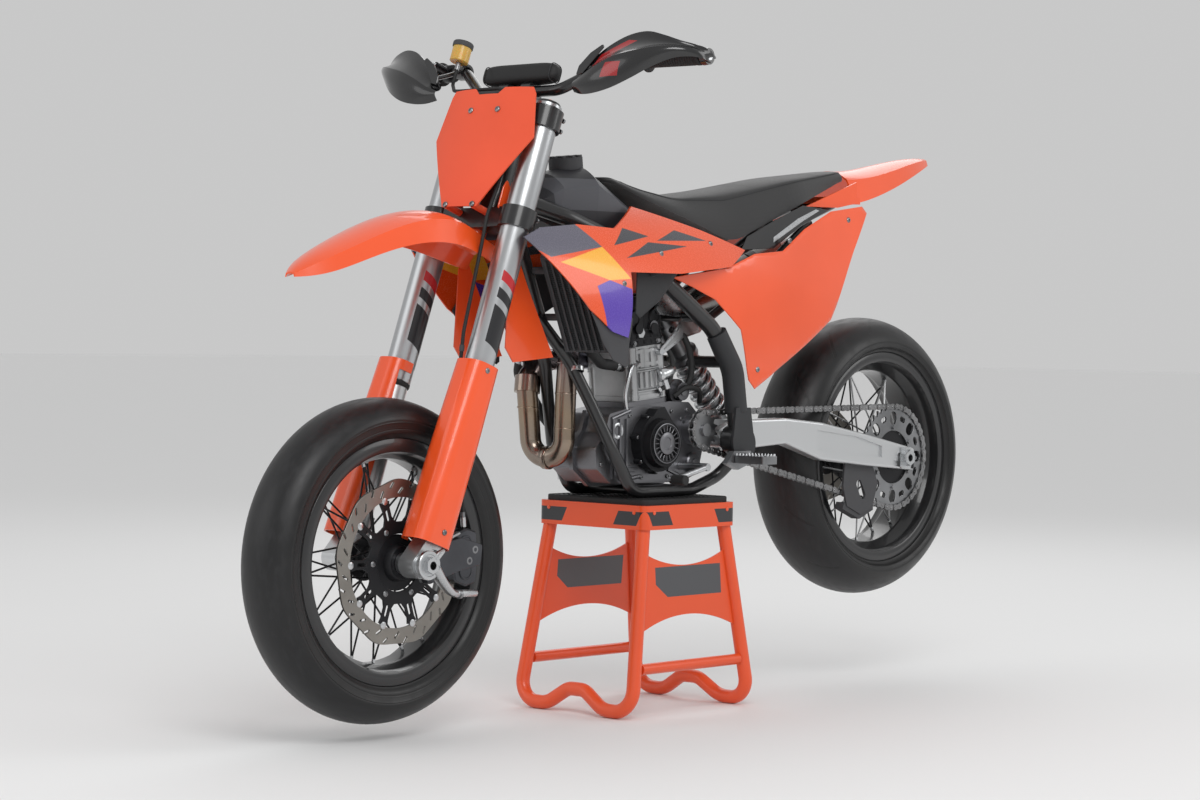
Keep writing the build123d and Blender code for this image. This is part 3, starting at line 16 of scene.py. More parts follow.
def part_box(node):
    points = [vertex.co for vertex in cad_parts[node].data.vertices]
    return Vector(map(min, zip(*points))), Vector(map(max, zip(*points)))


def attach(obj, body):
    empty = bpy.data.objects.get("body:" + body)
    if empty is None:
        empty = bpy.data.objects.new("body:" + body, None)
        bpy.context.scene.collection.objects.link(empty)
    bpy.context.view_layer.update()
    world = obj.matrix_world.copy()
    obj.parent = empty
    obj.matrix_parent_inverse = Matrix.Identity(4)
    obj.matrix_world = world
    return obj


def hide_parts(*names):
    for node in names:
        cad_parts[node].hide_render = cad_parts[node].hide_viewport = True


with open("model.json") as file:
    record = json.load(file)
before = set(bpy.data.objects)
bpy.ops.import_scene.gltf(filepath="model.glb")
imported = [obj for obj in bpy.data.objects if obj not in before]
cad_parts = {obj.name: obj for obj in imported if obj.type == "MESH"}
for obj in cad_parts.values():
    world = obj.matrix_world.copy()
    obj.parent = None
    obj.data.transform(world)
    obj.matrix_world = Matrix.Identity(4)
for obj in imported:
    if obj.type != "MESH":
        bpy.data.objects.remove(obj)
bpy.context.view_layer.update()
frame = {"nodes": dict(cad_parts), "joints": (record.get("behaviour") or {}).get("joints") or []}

log = logging.getLogger("supermoto")

Point = tuple[float, float, float]
Flat = tuple[float, float]

FULL_TURN = 2 * pi
TINY = 1e-6
LEAST_MITRE = 0.35


def srgb(red: int, green: int, blue: int) -> Point:
    """A colour from its display values.

    Args:
        red: Red, from 0 to 255.
        green: Green, from 0 to 255.
        blue: Blue, from 0 to 255.

    Returns:
        The colour in scene-linear numbers.
    """
    def linear(value: int) -> float:
        """One channel, from display to linear."""
        share = value / 255
        return share / 12.92 if share <= 0.04045 else ((share + 0.055) / 1.055) ** 2.4

    return linear(red), linear(green), linear(blue)


# Frames of reference
@dataclass(frozen=True)
class Axes:
    """Three axes at right angles at a place, in which a piece is drawn."""

    origin: Vector
    x: Vector
    y: Vector
    z: Vector

    def at(self, u: float, v: float, w: float = 0.0) -> Vector:
        """The point at three distances along the axes."""
        return self.origin + self.x * u + self.y * v + self.z * w

    def turned(self, angle: float) -> "Axes":
        """The same axes turned about their z axis by an angle in radians."""
        return Axes(
            self.origin,
            self.x * cos(angle) + self.y * sin(angle),
            self.y * cos(angle) - self.x * sin(angle),
            self.z,
        )

    def moved(self, u: float, v: float, w: float = 0.0) -> "Axes":
        """The same axes with their origin moved."""
        return Axes(self.at(u, v, w), self.x, self.y, self.z)


def joint_of(name: str) -> dict:
    """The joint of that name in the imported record."""
    return next(joint for joint in frame["joints"] if joint["name"] == name)


AHEAD = Vector((1, 0, 0))
LEFT = Vector((0, 1, 0))
UP = Vector((0, 0, 1))
STEER_UP = Vector(joint_of("steering_turn")["axis"]).normalized()
STEER = Axes(Vector(joint_of("steering_turn")["pos_m"]), LEFT.cross(STEER_UP), LEFT, STEER_UP)
FRONT_AXLE = Vector(joint_of("front_wheel_spin")["pos_m"])
REAR_AXLE = Vector(joint_of("rear_wheel_spin")["pos_m"])


def wheel_axes(axle: Vector) -> Axes:
    """Axes of a wheel: x ahead, y up and z to the right, so that an angle turns in the side view."""
    return Axes(axle, AHEAD, UP, AHEAD.cross(UP))


def left_axes(origin: Vector) -> Axes:
    """Axes whose z points to the left, with x ahead and y down."""
    return Axes(origin, AHEAD, UP * -1, LEFT)


def side_axes(origin: Vector, sign: int = 1) -> Axes:
    """Axes whose z points out to the left, or for a sign of -1 to the right, with x ahead and y up."""
    return Axes(origin, AHEAD, UP, LEFT * sign)


# Shader expressions
class Socket:
    """A node's output that takes part in expressions, each of which adds its Math nodes."""

    def __init__(self, shader: "Shader", output: bpy.types.NodeSocket) -> None:
        """Wrap an output of a node in a shader."""
        self.shader = shader
        self.output = output

    def math(self, operation: str, *others: "Socket | float", flip: bool = False) -> "Socket":
        """A Math node on this value and others.

        Args:
            operation: The Math node's operation.
            others: The further operands.
            flip: True where this value is the second operand.

        Returns:
            The node's output.
        """
        operands = [self, *others]
        if flip:
            operands.reverse()
        return self.shader.node("Math", {"operation": operation}, dict(enumerate(operands)))

    def __add__(self, other: "Socket | float") -> "Socket":
        """This value plus another."""
        return self.math("ADD", other)

    __radd__ = __add__

    def __sub__(self, other: "Socket | float") -> "Socket":
        """This value less another."""
        return self.math("SUBTRACT", other)

    def __rsub__(self, other: "Socket | float") -> "Socket":
        """Another value less this one."""
        return self.math("SUBTRACT", other, flip=True)

    def __mul__(self, other: "Socket | float") -> "Socket":
        """This value times another."""
        return self.math("MULTIPLY", other)

    __rmul__ = __mul__

    def __truediv__(self, other: "Socket | float") -> "Socket":
        """This value divided by another."""
        return self.math("DIVIDE", other)

    def __gt__(self, other: "Socket | float") -> "Socket":
        """1 where this value is greater than another, else 0."""
        return self.math("GREATER_THAN", other)

    def __lt__(self, other: "Socket | float") -> "Socket":
        """1 where this value is less than another, else 0."""
        return self.math("LESS_THAN", other)

    def fade(self, low: float, high: float) -> "Socket":
        """Turn this value into a smooth step.

        Args:
            low: The value that gives 0.
            high: The value that gives 1.

        Returns:
            The step.
        """
        settings = {"interpolation_type": "SMOOTHSTEP"}
        return self.shader.node("MapRange", settings, {"Value": self, "From Min": low, "From Max": high})


class Shader:
    """A material's node tree in the making, with the numbers of a colour Mix node's sockets."""

    mix_inputs: tuple[int, int, int] = (0, 6, 7)
    mix_output: int = 2

    def __init__(self, name: str) -> None:
        """Start a material with a Principled shader and object coordinates.

        Args:
            name: The material's name.
        """
        self.material = bpy.data.materials.new(name)
        self.material.use_nodes = True
        self.tree = self.material.node_tree
        self.surface = self.tree.nodes["Principled BSDF"]
        self.place = self.node("TexCoord", {}, {}, "Object")

    def node(self, kind: str, settings: dict, inputs: dict, output: str | int = 0) -> Socket:
        """Add a node.

        Args:
            kind: The node's type, without its ShaderNode prefix.
            settings: Its properties, set before its sockets.
            inputs: Values or links by socket name or number.
            output: The output that is handed back.

        Returns:
            The wrapped output.
        """
        made = self.tree.nodes.new("ShaderNode" + kind)
        stops = settings.pop("stops", None)
        for key, value in settings.items():
            setattr(made, key, value)
        if stops:
            ramp = made.color_ramp
            while len(ramp.elements) < len(stops):
                ramp.elements.new(1.0)
            for element, (position, colour) in zip(ramp.elements, stops):
                element.position = position
                element.color = (*colour, 1.0)
        for key, value in inputs.items():
            self.feed(made.inputs[key], value)
        return Socket(self, made.outputs[output])

    def feed(self, socket: bpy.types.NodeSocket, value: "Socket | float | Point") -> None:
        """Link a wrapped output to a socket, or set the socket's own value.

        Args:
            socket: The socket.
            value: A wrapped output, a number or a colour.
        """
        if isinstance(value, Socket):
            self.tree.links.new(value.output, socket)
        elif isinstance(value, tuple) and len(value) == 3 and socket.type == "RGBA":
            socket.default_value = (*value, 1.0)
        else:
            socket.default_value = value

    def coordinates(self) -> tuple[Socket, Socket, Socket]:
        """Split the object coordinates.

        Returns:
            The three coordinates.
        """
        split = self.tree.nodes.new("ShaderNodeSeparateXYZ")
        self.feed(split.inputs[0], self.place)
        return tuple(Socket(self, split.outputs[axis]) for axis in range(3))

    def noise(self, scale: float, detail: float = 3.0, stretch: Point = (1, 1, 1)) -> Socket:
        """A noise on object coordinates.

        Args:
            scale: How fine it is.
            detail: How many finer layers it has.
            stretch: How much finer it is along each axis.

        Returns:
            The noise, from 0 to 1.
        """
        mapped = self.node("Mapping", {}, {"Vector": self.place, "Scale": stretch})
        return self.node("TexNoise", {}, {"Vector": mapped, "Scale": scale, "Detail": detail})

    def mix(self, factor: "Socket | float", first: "Socket | Point", second: "Socket | Point") -> Socket:
        """A colour between two colours.

        Args:
            factor: The second colour's share.
            first: The colour at a share of 0.
            second: The colour at a share of 1.

        Returns:
            The mixed colour.
        """
        made = self.tree.nodes.new("ShaderNodeMix")
        made.data_type = "RGBA"
        for number, value in zip(self.mix_inputs, (factor, first, second)):
            self.feed(made.inputs[number], value)
        return Socket(self, made.outputs[self.mix_output])

    def bump(self, height: Socket, strength: float, distance: float) -> None:
        """Raise the surface by a height that varies over it.

        Args:
            height: The height, with 1 as the whole distance.
            strength: How strongly it shows.
            distance: The distance in metres.
        """
        inputs = {"Height": height, "Strength": strength, "Distance": distance}
        self.feed(self.surface.inputs["Normal"], self.node("Bump", {}, inputs))

    def set(self, **inputs: "Socket | float | Point") -> None:
        """Set the Principled shader's inputs, named with underscores for spaces."""
        for key, value in inputs.items():
            self.feed(self.surface.inputs[key.replace("_", " ")], value)


# Finishes
@dataclass(frozen=True)
class Moulding:
    """A moulded plastic or a paint: a colour with a fine grain, scuffs and a gloss of its own."""

    name: str
    colour: Point
    roughness: float = 0.3
    coat: float = 0.0
    grain: float = 900.0
    grain_depth: float = 0.00004
    scuff: float = 0.12

    def material(self) -> bpy.types.Material:
        """Build the material."""
        shader = Shader(self.name)
        cloud = shader.noise(5.0, 4.0)
        worn = shader.noise(42.0, 5.0).fade(0.6, 0.82)
        pale = tuple(min(1.0, channel * 1.12 + 0.01) for channel in self.colour)
        deep = tuple(channel * 0.88 for channel in self.colour)
        shader.set(
            Base_Color=shader.mix(cloud, deep, pale),
            Roughness=cloud * 0.08 + worn * self.scuff + self.roughness,
            Coat_Weight=self.coat,
            Coat_Roughness=0.06,
        )
        shader.bump(shader.noise(self.grain, 2.0), 0.5, self.grain_depth)
        return shader.material


@dataclass(frozen=True)
class Metal:
    """A bare metal with brushing or a cast skin, and stains that dull it."""

    name: str
    colour: Point
    roughness: float = 0.3
    brush: Point = (1, 1, 1)
    scale: float = 240.0
    depth: float = 0.00005
    stain: float = 0.25
    metallic: float = 1.0

    def material(self) -> bpy.types.Material:
        """Build the material."""
        shader = Shader(self.name)
        lines = shader.noise(self.scale, 4.0, self.brush)
        cloud = shader.noise(9.0, 4.0)
        dark = tuple(channel * (1 - self.stain) for channel in self.colour)
        shader.set(
            Base_Color=shader.mix(cloud.fade(0.35, 0.65), dark, self.colour),
            Metallic=self.metallic,
            Roughness=lines * 0.14 + cloud * 0.12 + (self.roughness - 0.1),
        )
        shader.bump(lines, 0.6, self.depth)
        return shader.material


@dataclass(frozen=True)
class HeatTint:
    """Thin titanium tube, straw to blue where the gas is hottest and grey further on."""

    name: str
    hot: Point = (0.26, -0.04, 0.52)
    reach: float = 0.62

    def material(self) -> bpy.types.Material:
        """Build the material."""
        shader = Shader(self.name)
        away = shader.node("VectorMath", {"operation": "DISTANCE"}, {0: shader.place, 1: self.hot}, "Value")
        share = away * (1 / self.reach) + shader.noise(7.0, 3.0) * 0.14 - 0.07
        stops = (
            (0.0, srgb(138, 128, 120)), (0.16, srgb(160, 142, 122)), (0.3, srgb(142, 130, 130)),
            (0.42, srgb(126, 126, 138)), (0.56, srgb(154, 144, 128)), (1.0, srgb(128, 126, 124)),
        )
        tint = shader.node("ValToRGB", {"stops": stops}, {"Fac": share}, "Color")
        grain = shader.noise(160.0, 4.0, (1, 1, 4))
        shader.set(Base_Color=tint, Metallic=1.0, Roughness=grain * 0.1 + 0.2)
        shader.bump(grain, 0.3, 0.00001)
        return shader.material


@dataclass(frozen=True)
class Compound:
    """Tyre rubber: a scrubbed tread over dark, ringed side walls."""

    name: str
    axle: Vector
    tread_r: float
    grooves: int = 0

    def material(self) -> bpy.types.Material:
        """Build the material."""
        shader = Shader(self.name)
        x, y, z = shader.coordinates()
        ahead = x - self.axle.x
        above = z - self.axle.z
        reach = (ahead * ahead + above * above).math("SQRT")
        tread = reach.fade(self.tread_r - 0.045, self.tread_r - 0.02)
        scrub = shader.noise(34.0, 6.0, (1, 3, 1)).fade(0.42, 0.7)
        dust = shader.noise(11.0, 4.0).fade(0.45, 0.75)
        rubber = shader.mix(dust * 0.3, srgb(13, 13, 14), srgb(32, 31, 31))
        used = shader.mix(scrub * 0.6, srgb(15, 15, 17), srgb(35, 35, 37))
        rings = (reach * 1500).math("SINE") * (1 - tread)
        colour = shader.mix(tread, rubber, used)
        height = rings * 0.2 + shader.noise(420.0, 3.0)
        if self.grooves:
            side = y.math("ABSOLUTE")
            turn = above.math("ARCTAN2", ahead) * (self.grooves / FULL_TURN) + y * 9.0 + 50.0
            cut = (turn.math("FRACT") - 0.5).math("ABSOLUTE") < 0.035
            cut = cut * (side > 0.024) * (side < 0.07)
            # painted shade: the grooves are coloured near-black for the shade inside them, while their depth is only a
            # bump
            colour = shader.mix(cut, colour, srgb(8, 8, 9))
            height = height - cut * 6.0
        shader.set(
            Base_Color=colour,
            Roughness=tread * 0.06 + scrub * 0.1 + 0.36,
        )
        shader.bump(height, 0.5, 0.0002)
        return shader.material


@dataclass(frozen=True)
class Cover:
    """Saddle cover: a gripping woven skin with a fine cross grain."""

    name: str
    colour: Point

    def material(self) -> bpy.types.Material:
        """Build the material."""
        shader = Shader(self.name)
        x, y, _ = shader.coordinates()
        weave = (x * 2600).math("SINE") * (y * 2600).math("SINE")
        cloud = shader.noise(14.0, 4.0)
        pale = tuple(channel * 1.9 + 0.012 for channel in self.colour)
        shader.set(
            Base_Color=shader.mix(cloud * 0.5 + weave * 0.1, self.colour, pale),
            Roughness=cloud * 0.15 + 0.62,
        )
        shader.surface.inputs["Sheen Weight"].default_value = 0.25
        shader.bump(weave * 0.5 + shader.noise(700.0, 2.0), 0.6, 0.00025)
        return shader.material


@dataclass(frozen=True)
class Fluid:
    """Brake fluid seen through a frosted cup."""

    name: str
    colour: Point

    def material(self) -> bpy.types.Material:
        """Build the material."""
        shader = Shader(self.name)
        cloud = shader.noise(60.0, 3.0)
        pale = tuple(min(1.0, channel * 1.3) for channel in self.colour)
        shader.set(Base_Color=shader.mix(cloud, self.colour, pale), Roughness=cloud * 0.1 + 0.2)
        shader.surface.inputs["Subsurface Weight"].default_value = 0.2
        return shader.material


@dataclass(frozen=True)
class Patch:
    """A convex field of one colour, its corners counter-clockwise in the livery's two directions, in metres."""

    colour: Point
    corners: tuple[Flat, ...]


@dataclass(frozen=True)
class Livery:
    """A moulding with fields of other colours under its gloss, laid out in two directions."""

    name: str
    colour: Point
    patches: tuple[Patch, ...]
    roughness: float = 0.26
    coat: float = 0.5
    metallic: float = 0.0
    origin: Point = (0.0, 0.0, 0.0)
    u: Point = (1.0, 0.0, 0.0)
    v: Point = (0.0, 0.0, 1.0)
    brush: Point = (1.0, 1.0, 1.0)

    def measure(self, shader: Shader, way: Point) -> Socket:
        """Measure along a direction from the livery's origin.

        Args:
            shader: The shader that needs it.
            way: The direction.

        Returns:
            The distance in metres.
        """
        away = shader.node("VectorMath", {"operation": "SUBTRACT"}, {0: shader.place, 1: self.origin})
        return shader.node("VectorMath", {"operation": "DOT_PRODUCT"}, {0: away, 1: way}, "Value")

    def material(self) -> bpy.types.Material:
        """Build the material."""
        shader = Shader(self.name)
        u, v = self.measure(shader, self.u), self.measure(shader, self.v)
        cloud = shader.noise(6.0, 4.0)
        worn = shader.noise(44.0, 5.0).fade(0.6, 0.82)
        grain = shader.noise(420.0, 3.0, self.brush)
        deep = tuple(channel * 0.9 for channel in self.colour)
        colour = shader.mix(cloud, deep, self.colour)
        bare = None
        for patch in self.patches:
            inside = None
            for (au, av), (bu, bv) in zip(patch.corners, patch.corners[1:] + patch.corners[:1]):
                edge = (v * (bu - au) - u * (bv - av)) > (av * (bu - au) - au * (bv - av))
                inside = edge if inside is None else inside * edge
            colour = shader.mix(inside, colour, patch.colour)
            bare = inside if bare is None else bare.math("MAXIMUM", inside)
        shader.set(
            Base_Color=colour,
            Roughness=grain * 0.08 + worn * 0.1 + (self.roughness - 0.03),
            Coat_Weight=self.coat,
            Coat_Roughness=0.06,
        )
        if self.metallic:
            shader.set(Metallic=(1 - bare) * self.metallic)
        shader.bump(grain, 0.4, 0.00003)
        return shader.material


class Finish(Enum):
    """The finishes of the motorcycle and its stand."""

    ORANGE = Moulding("orange_plastic", srgb(238, 82, 22), roughness=0.26, coat=0.5, grain_depth=0.00001)
    PLATE_ORANGE = Moulding("plate_orange", srgb(230, 80, 40), roughness=0.5, scuff=0.06)
    STAND_ORANGE = Moulding("stand_powder_coat", srgb(228, 80, 30), roughness=0.34, coat=0.25, grain=600.0,
                            grain_depth=0.00008)
    BLACK_PAINT = Moulding("black_frame_paint", srgb(18, 18, 20), roughness=0.26, coat=0.4, grain=700.0,
                           grain_depth=0.00004)
    BLACK_PLASTIC = Moulding("black_plastic", srgb(20, 20, 22), roughness=0.5, coat=0.0, grain=480.0,
                             grain_depth=0.0001)
    GLOSS_BLACK = Moulding("gloss_black_plastic", srgb(18, 18, 20), roughness=0.2, coat=0.6, grain_depth=0.00001)
    GRIP_PLASTIC = Moulding("textured_grey_guard", srgb(34, 35, 38), roughness=0.56, coat=0.0, grain=340.0,
                            grain_depth=0.0004)
    RUBBER = Moulding("black_rubber", srgb(18, 18, 19), roughness=0.62, coat=0.0, grain=380.0, grain_depth=0.0002,
                      scuff=0.2)
    RED_PLASTIC = Moulding("red_insert", srgb(176, 26, 26), roughness=0.35)
    CAST = Metal("cast_alloy", srgb(188, 189, 191), roughness=0.42, scale=420.0, depth=0.00012, stain=0.2)
    BARREL = Metal("sand_cast_barrel", srgb(186, 187, 188), roughness=0.4, scale=520.0, depth=0.0003, stain=0.3)
    CALIPER = Metal("anodised_caliper", srgb(92, 93, 97), roughness=0.36, scale=500.0, depth=0.00006, stain=0.25)
    BRIGHT = Metal("machined_alloy", srgb(206, 208, 210), roughness=0.26, brush=(1, 6, 1), scale=180.0, stain=0.1)
    TUBE_ALLOY = Metal("drawn_alloy", srgb(190, 192, 194), roughness=0.34, brush=(1, 1, 0.08), scale=320.0, stain=0.12)
    CASES = Metal("dark_cases", srgb(78, 79, 84), roughness=0.42, scale=520.0, depth=0.0002, stain=0.4, metallic=0.8)
    DARK_COVER = Metal("dark_covers", srgb(31, 31, 34), roughness=0.4, scale=480.0, depth=0.0001, metallic=0.5)
    STEEL = Metal("ground_steel", srgb(150, 151, 153), roughness=0.32, brush=(1, 1, 1), scale=260.0, stain=0.28)
    DISC_STEEL = Metal("disc_steel", srgb(150, 146, 140), roughness=0.36, brush=(1, 1, 1), scale=320.0, stain=0.2)
    CHAIN_STEEL = Metal("chain_steel", srgb(150, 150, 151), roughness=0.34, scale=420.0, stain=0.3)
    TITANIUM = HeatTint("heat_tinted_titanium")
    COVER = Cover("saddle_cover", srgb(18, 18, 19))
    AMBER = Fluid("amber_fluid", srgb(190, 150, 70))
    SPOKE_BLACK = Metal("black_spokes", srgb(46, 46, 48), roughness=0.34, scale=700.0, stain=0.2, metallic=0.6)
    SPOKE_BRIGHT = Metal("bright_spokes", srgb(196, 197, 198), roughness=0.28, scale=700.0, stain=0.15)
    SHROUD = Livery("shroud_livery", srgb(238, 82, 22), (
        Patch(srgb(92, 90, 104), ((0.300, 0.926), (0.452, 0.902), (0.530, 0.935), (0.450, 0.985), (0.372, 0.985))),
        Patch(srgb(246, 176, 44), ((0.236, 0.866), (0.300, 0.862), (0.430, 0.893), (0.300, 0.926))),
        Patch(srgb(84, 54, 168), ((0.236, 0.740), (0.300, 0.752), (0.338, 0.850), (0.300, 0.862), (0.236, 0.846))),
        Patch(srgb(58, 58, 64), ((0.020, 0.936), (0.236, 0.906), (0.150, 0.940))),
        Patch(srgb(58, 58, 64), ((-0.060, 0.950), (0.118, 0.944), (0.040, 0.968))),
        Patch(srgb(58, 58, 64), ((0.140, 0.952), (0.262, 0.930), (0.212, 0.966))),
    ))
    STAND_LABEL = Livery("stand_panel_livery", srgb(228, 80, 30), (
        Patch(srgb(72, 73, 76), ((-0.105, 0.236), (0.060, 0.236), (0.094, 0.262), (0.094, 0.296), (-0.105, 0.296))),
    ), roughness=0.34, coat=0.25)
    DECK = Livery("stand_deck_livery", srgb(228, 80, 30), (
        Patch(srgb(40, 40, 43), ((-0.020, 0.380), (0.060, 0.380), (0.074, 0.408), (-0.006, 0.408))),
        Patch(srgb(40, 40, 43), ((0.200, 0.380), (0.262, 0.380), (0.276, 0.408), (0.214, 0.408))),
    ), roughness=0.34, coat=0.25, u=(1.0, 1.0, 0.0))
    FORK_TUBE = Livery("fork_tube_livery", srgb(192, 194, 196), (
        Patch(srgb(34, 34, 37), ((0.004, -0.272), (0.046, -0.250), (0.046, -0.176), (0.004, -0.198))),
        Patch(srgb(34, 34, 37), ((0.004, -0.184), (0.046, -0.162), (0.046, -0.142), (0.004, -0.164))),
        Patch(srgb(182, 34, 40), ((0.004, -0.150), (0.046, -0.128), (0.046, -0.108), (0.004, -0.130))),
    ), roughness=0.3, coat=0.0, metallic=1.0, origin=tuple(joint_of("steering_turn")["pos_m"]), u=tuple(STEER.x),
    v=tuple(STEER.z), brush=(1.0, 1.0, 0.08))
    TANK = Livery("tank_livery", srgb(44, 44, 48), (
        Patch(srgb(78, 79, 84), ((0.110, 1.000), (0.310, 1.000), (0.330, 1.062), (0.140, 1.062))),
    ), roughness=0.45, coat=0.0)
    HAND_GUARD = Livery("hand_guard_livery", srgb(16, 16, 18), (
        Patch(srgb(150, 22, 26), ((0.214, 0.288), (0.262, 0.312), (0.312, 0.350), (0.292, 0.352), (0.236, 0.322))),
        Patch(srgb(150, 22, 26), ((0.262, 0.268), (0.300, 0.272), (0.306, 0.298), (0.272, 0.296))),
    ), roughness=0.2, coat=0.6, metallic=0.0, origin=tuple(joint_of("steering_turn")["pos_m"]), u=(0.0, 1.0, 0.0),
    v=tuple(STEER.z))
    FRONT_TYRE = Compound("front_tyre_rubber", FRONT_AXLE, tread_r=0.3035)
    REAR_TYRE = Compound("rear_tyre_rubber", REAR_AXLE, tread_r=0.3065, grooves=13)

    def made(self) -> bpy.types.Material:
        """The finish's material, built once."""
        found = bpy.data.materials.get(self.value.name)
        return found or self.value.material()


# Mesh building
def rounded(corners: list[tuple[float, float, float]], steps: int = 4) -> list[Flat]:
    """A closed outline from corners, each with the radius that rounds it.

    Args:
        corners: Two coordinates and a radius for each corner.
        steps: The runs that each rounding is made of.

    Returns:
        The outline's points.
    """
    points: list[Flat] = []
    for number, (x, y, radius) in enumerate(corners):
        here = Vector((x, y))
        before = Vector(corners[number - 1][:2]) - here
        after = Vector(corners[(number + 1) % len(corners)][:2]) - here
        if radius <= 0:
            points.append((x, y))
            continue
        half = before.angle(after) / 2
        cut = min(radius / max(0.05, abs(sin(half) / max(0.05, cos(half)))), before.length * 0.48, after.length * 0.48)
        start = here + before.normalized() * cut
        end = here + after.normalized() * cut
        for step in range(steps + 1):
            share = step / steps
            first = start.lerp(here, share)
            last = here.lerp(end, share)
            points.append(tuple(first.lerp(last, share)))
    return points


def curved(points: list[Vector], steps: int = 6) -> list[Vector]:
    """A smooth line through points.

    Args:
        points: The places that it passes.
        steps: The runs between two of them.

    Returns:
        The line's points.
    """
    count = len(points)
    line: list[Vector] = []
    for number in range(count - 1):
        b, c = points[number], points[number + 1]
        a = points[number - 1] if number else b * 2 - c
        d = points[number + 2] if number + 2 < count else c * 2 - b
        for step in range(steps):
            t = step / steps
            line.append(
                (b * 2 + (c - a) * t + (a * 2 - b * 5 + c * 4 - d) * t**2 + (b * 3 - a - c * 3 + d) * t**3) * 0.5
            )
    line.append(points[-1].copy())
    return line


def circle(radius: float, count: int) -> list[Flat]:
    """A round outline.

    Args:
        radius: Its radius.
        count: The points around it.

    Returns:
        The outline's points.
    """
    return [(radius * cos(FULL_TURN * n / count), radius * sin(FULL_TURN * n / count)) for n in range(count)]


def around(count: int, shift: float = 0.0) -> list[float]:
    """Angles spread evenly over a full turn.

    Args:
        count: How many there are.
        shift: The first one's place, as a share of the step between two.

    Returns:
        The angles in radians.
    """
    return [FULL_TURN * (n + shift) / count for n in range(count)]


def helix(axes: Axes, radius: float, turns: float, length: float, steps: int) -> list[Vector]:
    """The middle line of a coiled wire.

    Args:
        axes: Its place, with z along the coil.
        radius: The coil's radius.
        turns: How often it goes round.
        length: How long the coil is.
        steps: The runs along it.

    Returns:
        The line's points.
    """
    return [
        axes.at(
            radius * cos(FULL_TURN * turns * n / steps), radius * sin(FULL_TURN * turns * n / steps), length * n / steps
        )
        for n in range(steps + 1)
    ]


def inset(outline: list[Flat], depth: float) -> list[Flat]:
    """An outline moved inward, corner by corner.

    Args:
        outline: The outline's points.
        depth: How far it moves, or outward where it is negative.

    Returns:
        The moved outline, with as many points.
    """
    area = sum(a[0] * b[1] - b[0] * a[1] for a, b in zip(outline, outline[1:] + outline[:1]))
    side = 1 if area > 0 else -1
    moved = []
    for number, here in enumerate(outline):
        before = Vector(here) - Vector(outline[number - 1])
        after = Vector(outline[(number + 1) % len(outline)]) - Vector(here)
        first = Vector((-before.y, before.x)).normalized()
        second = Vector((-after.y, after.x)).normalized()
        way = first + second
        if way.length < TINY:
            way = first
        way.normalize()
        reach = depth / max(LEAST_MITRE, way.dot(first) if first.length else 1.0)
        moved.append((here[0] + way.x * reach * side, here[1] + way.y * reach * side))
    return moved


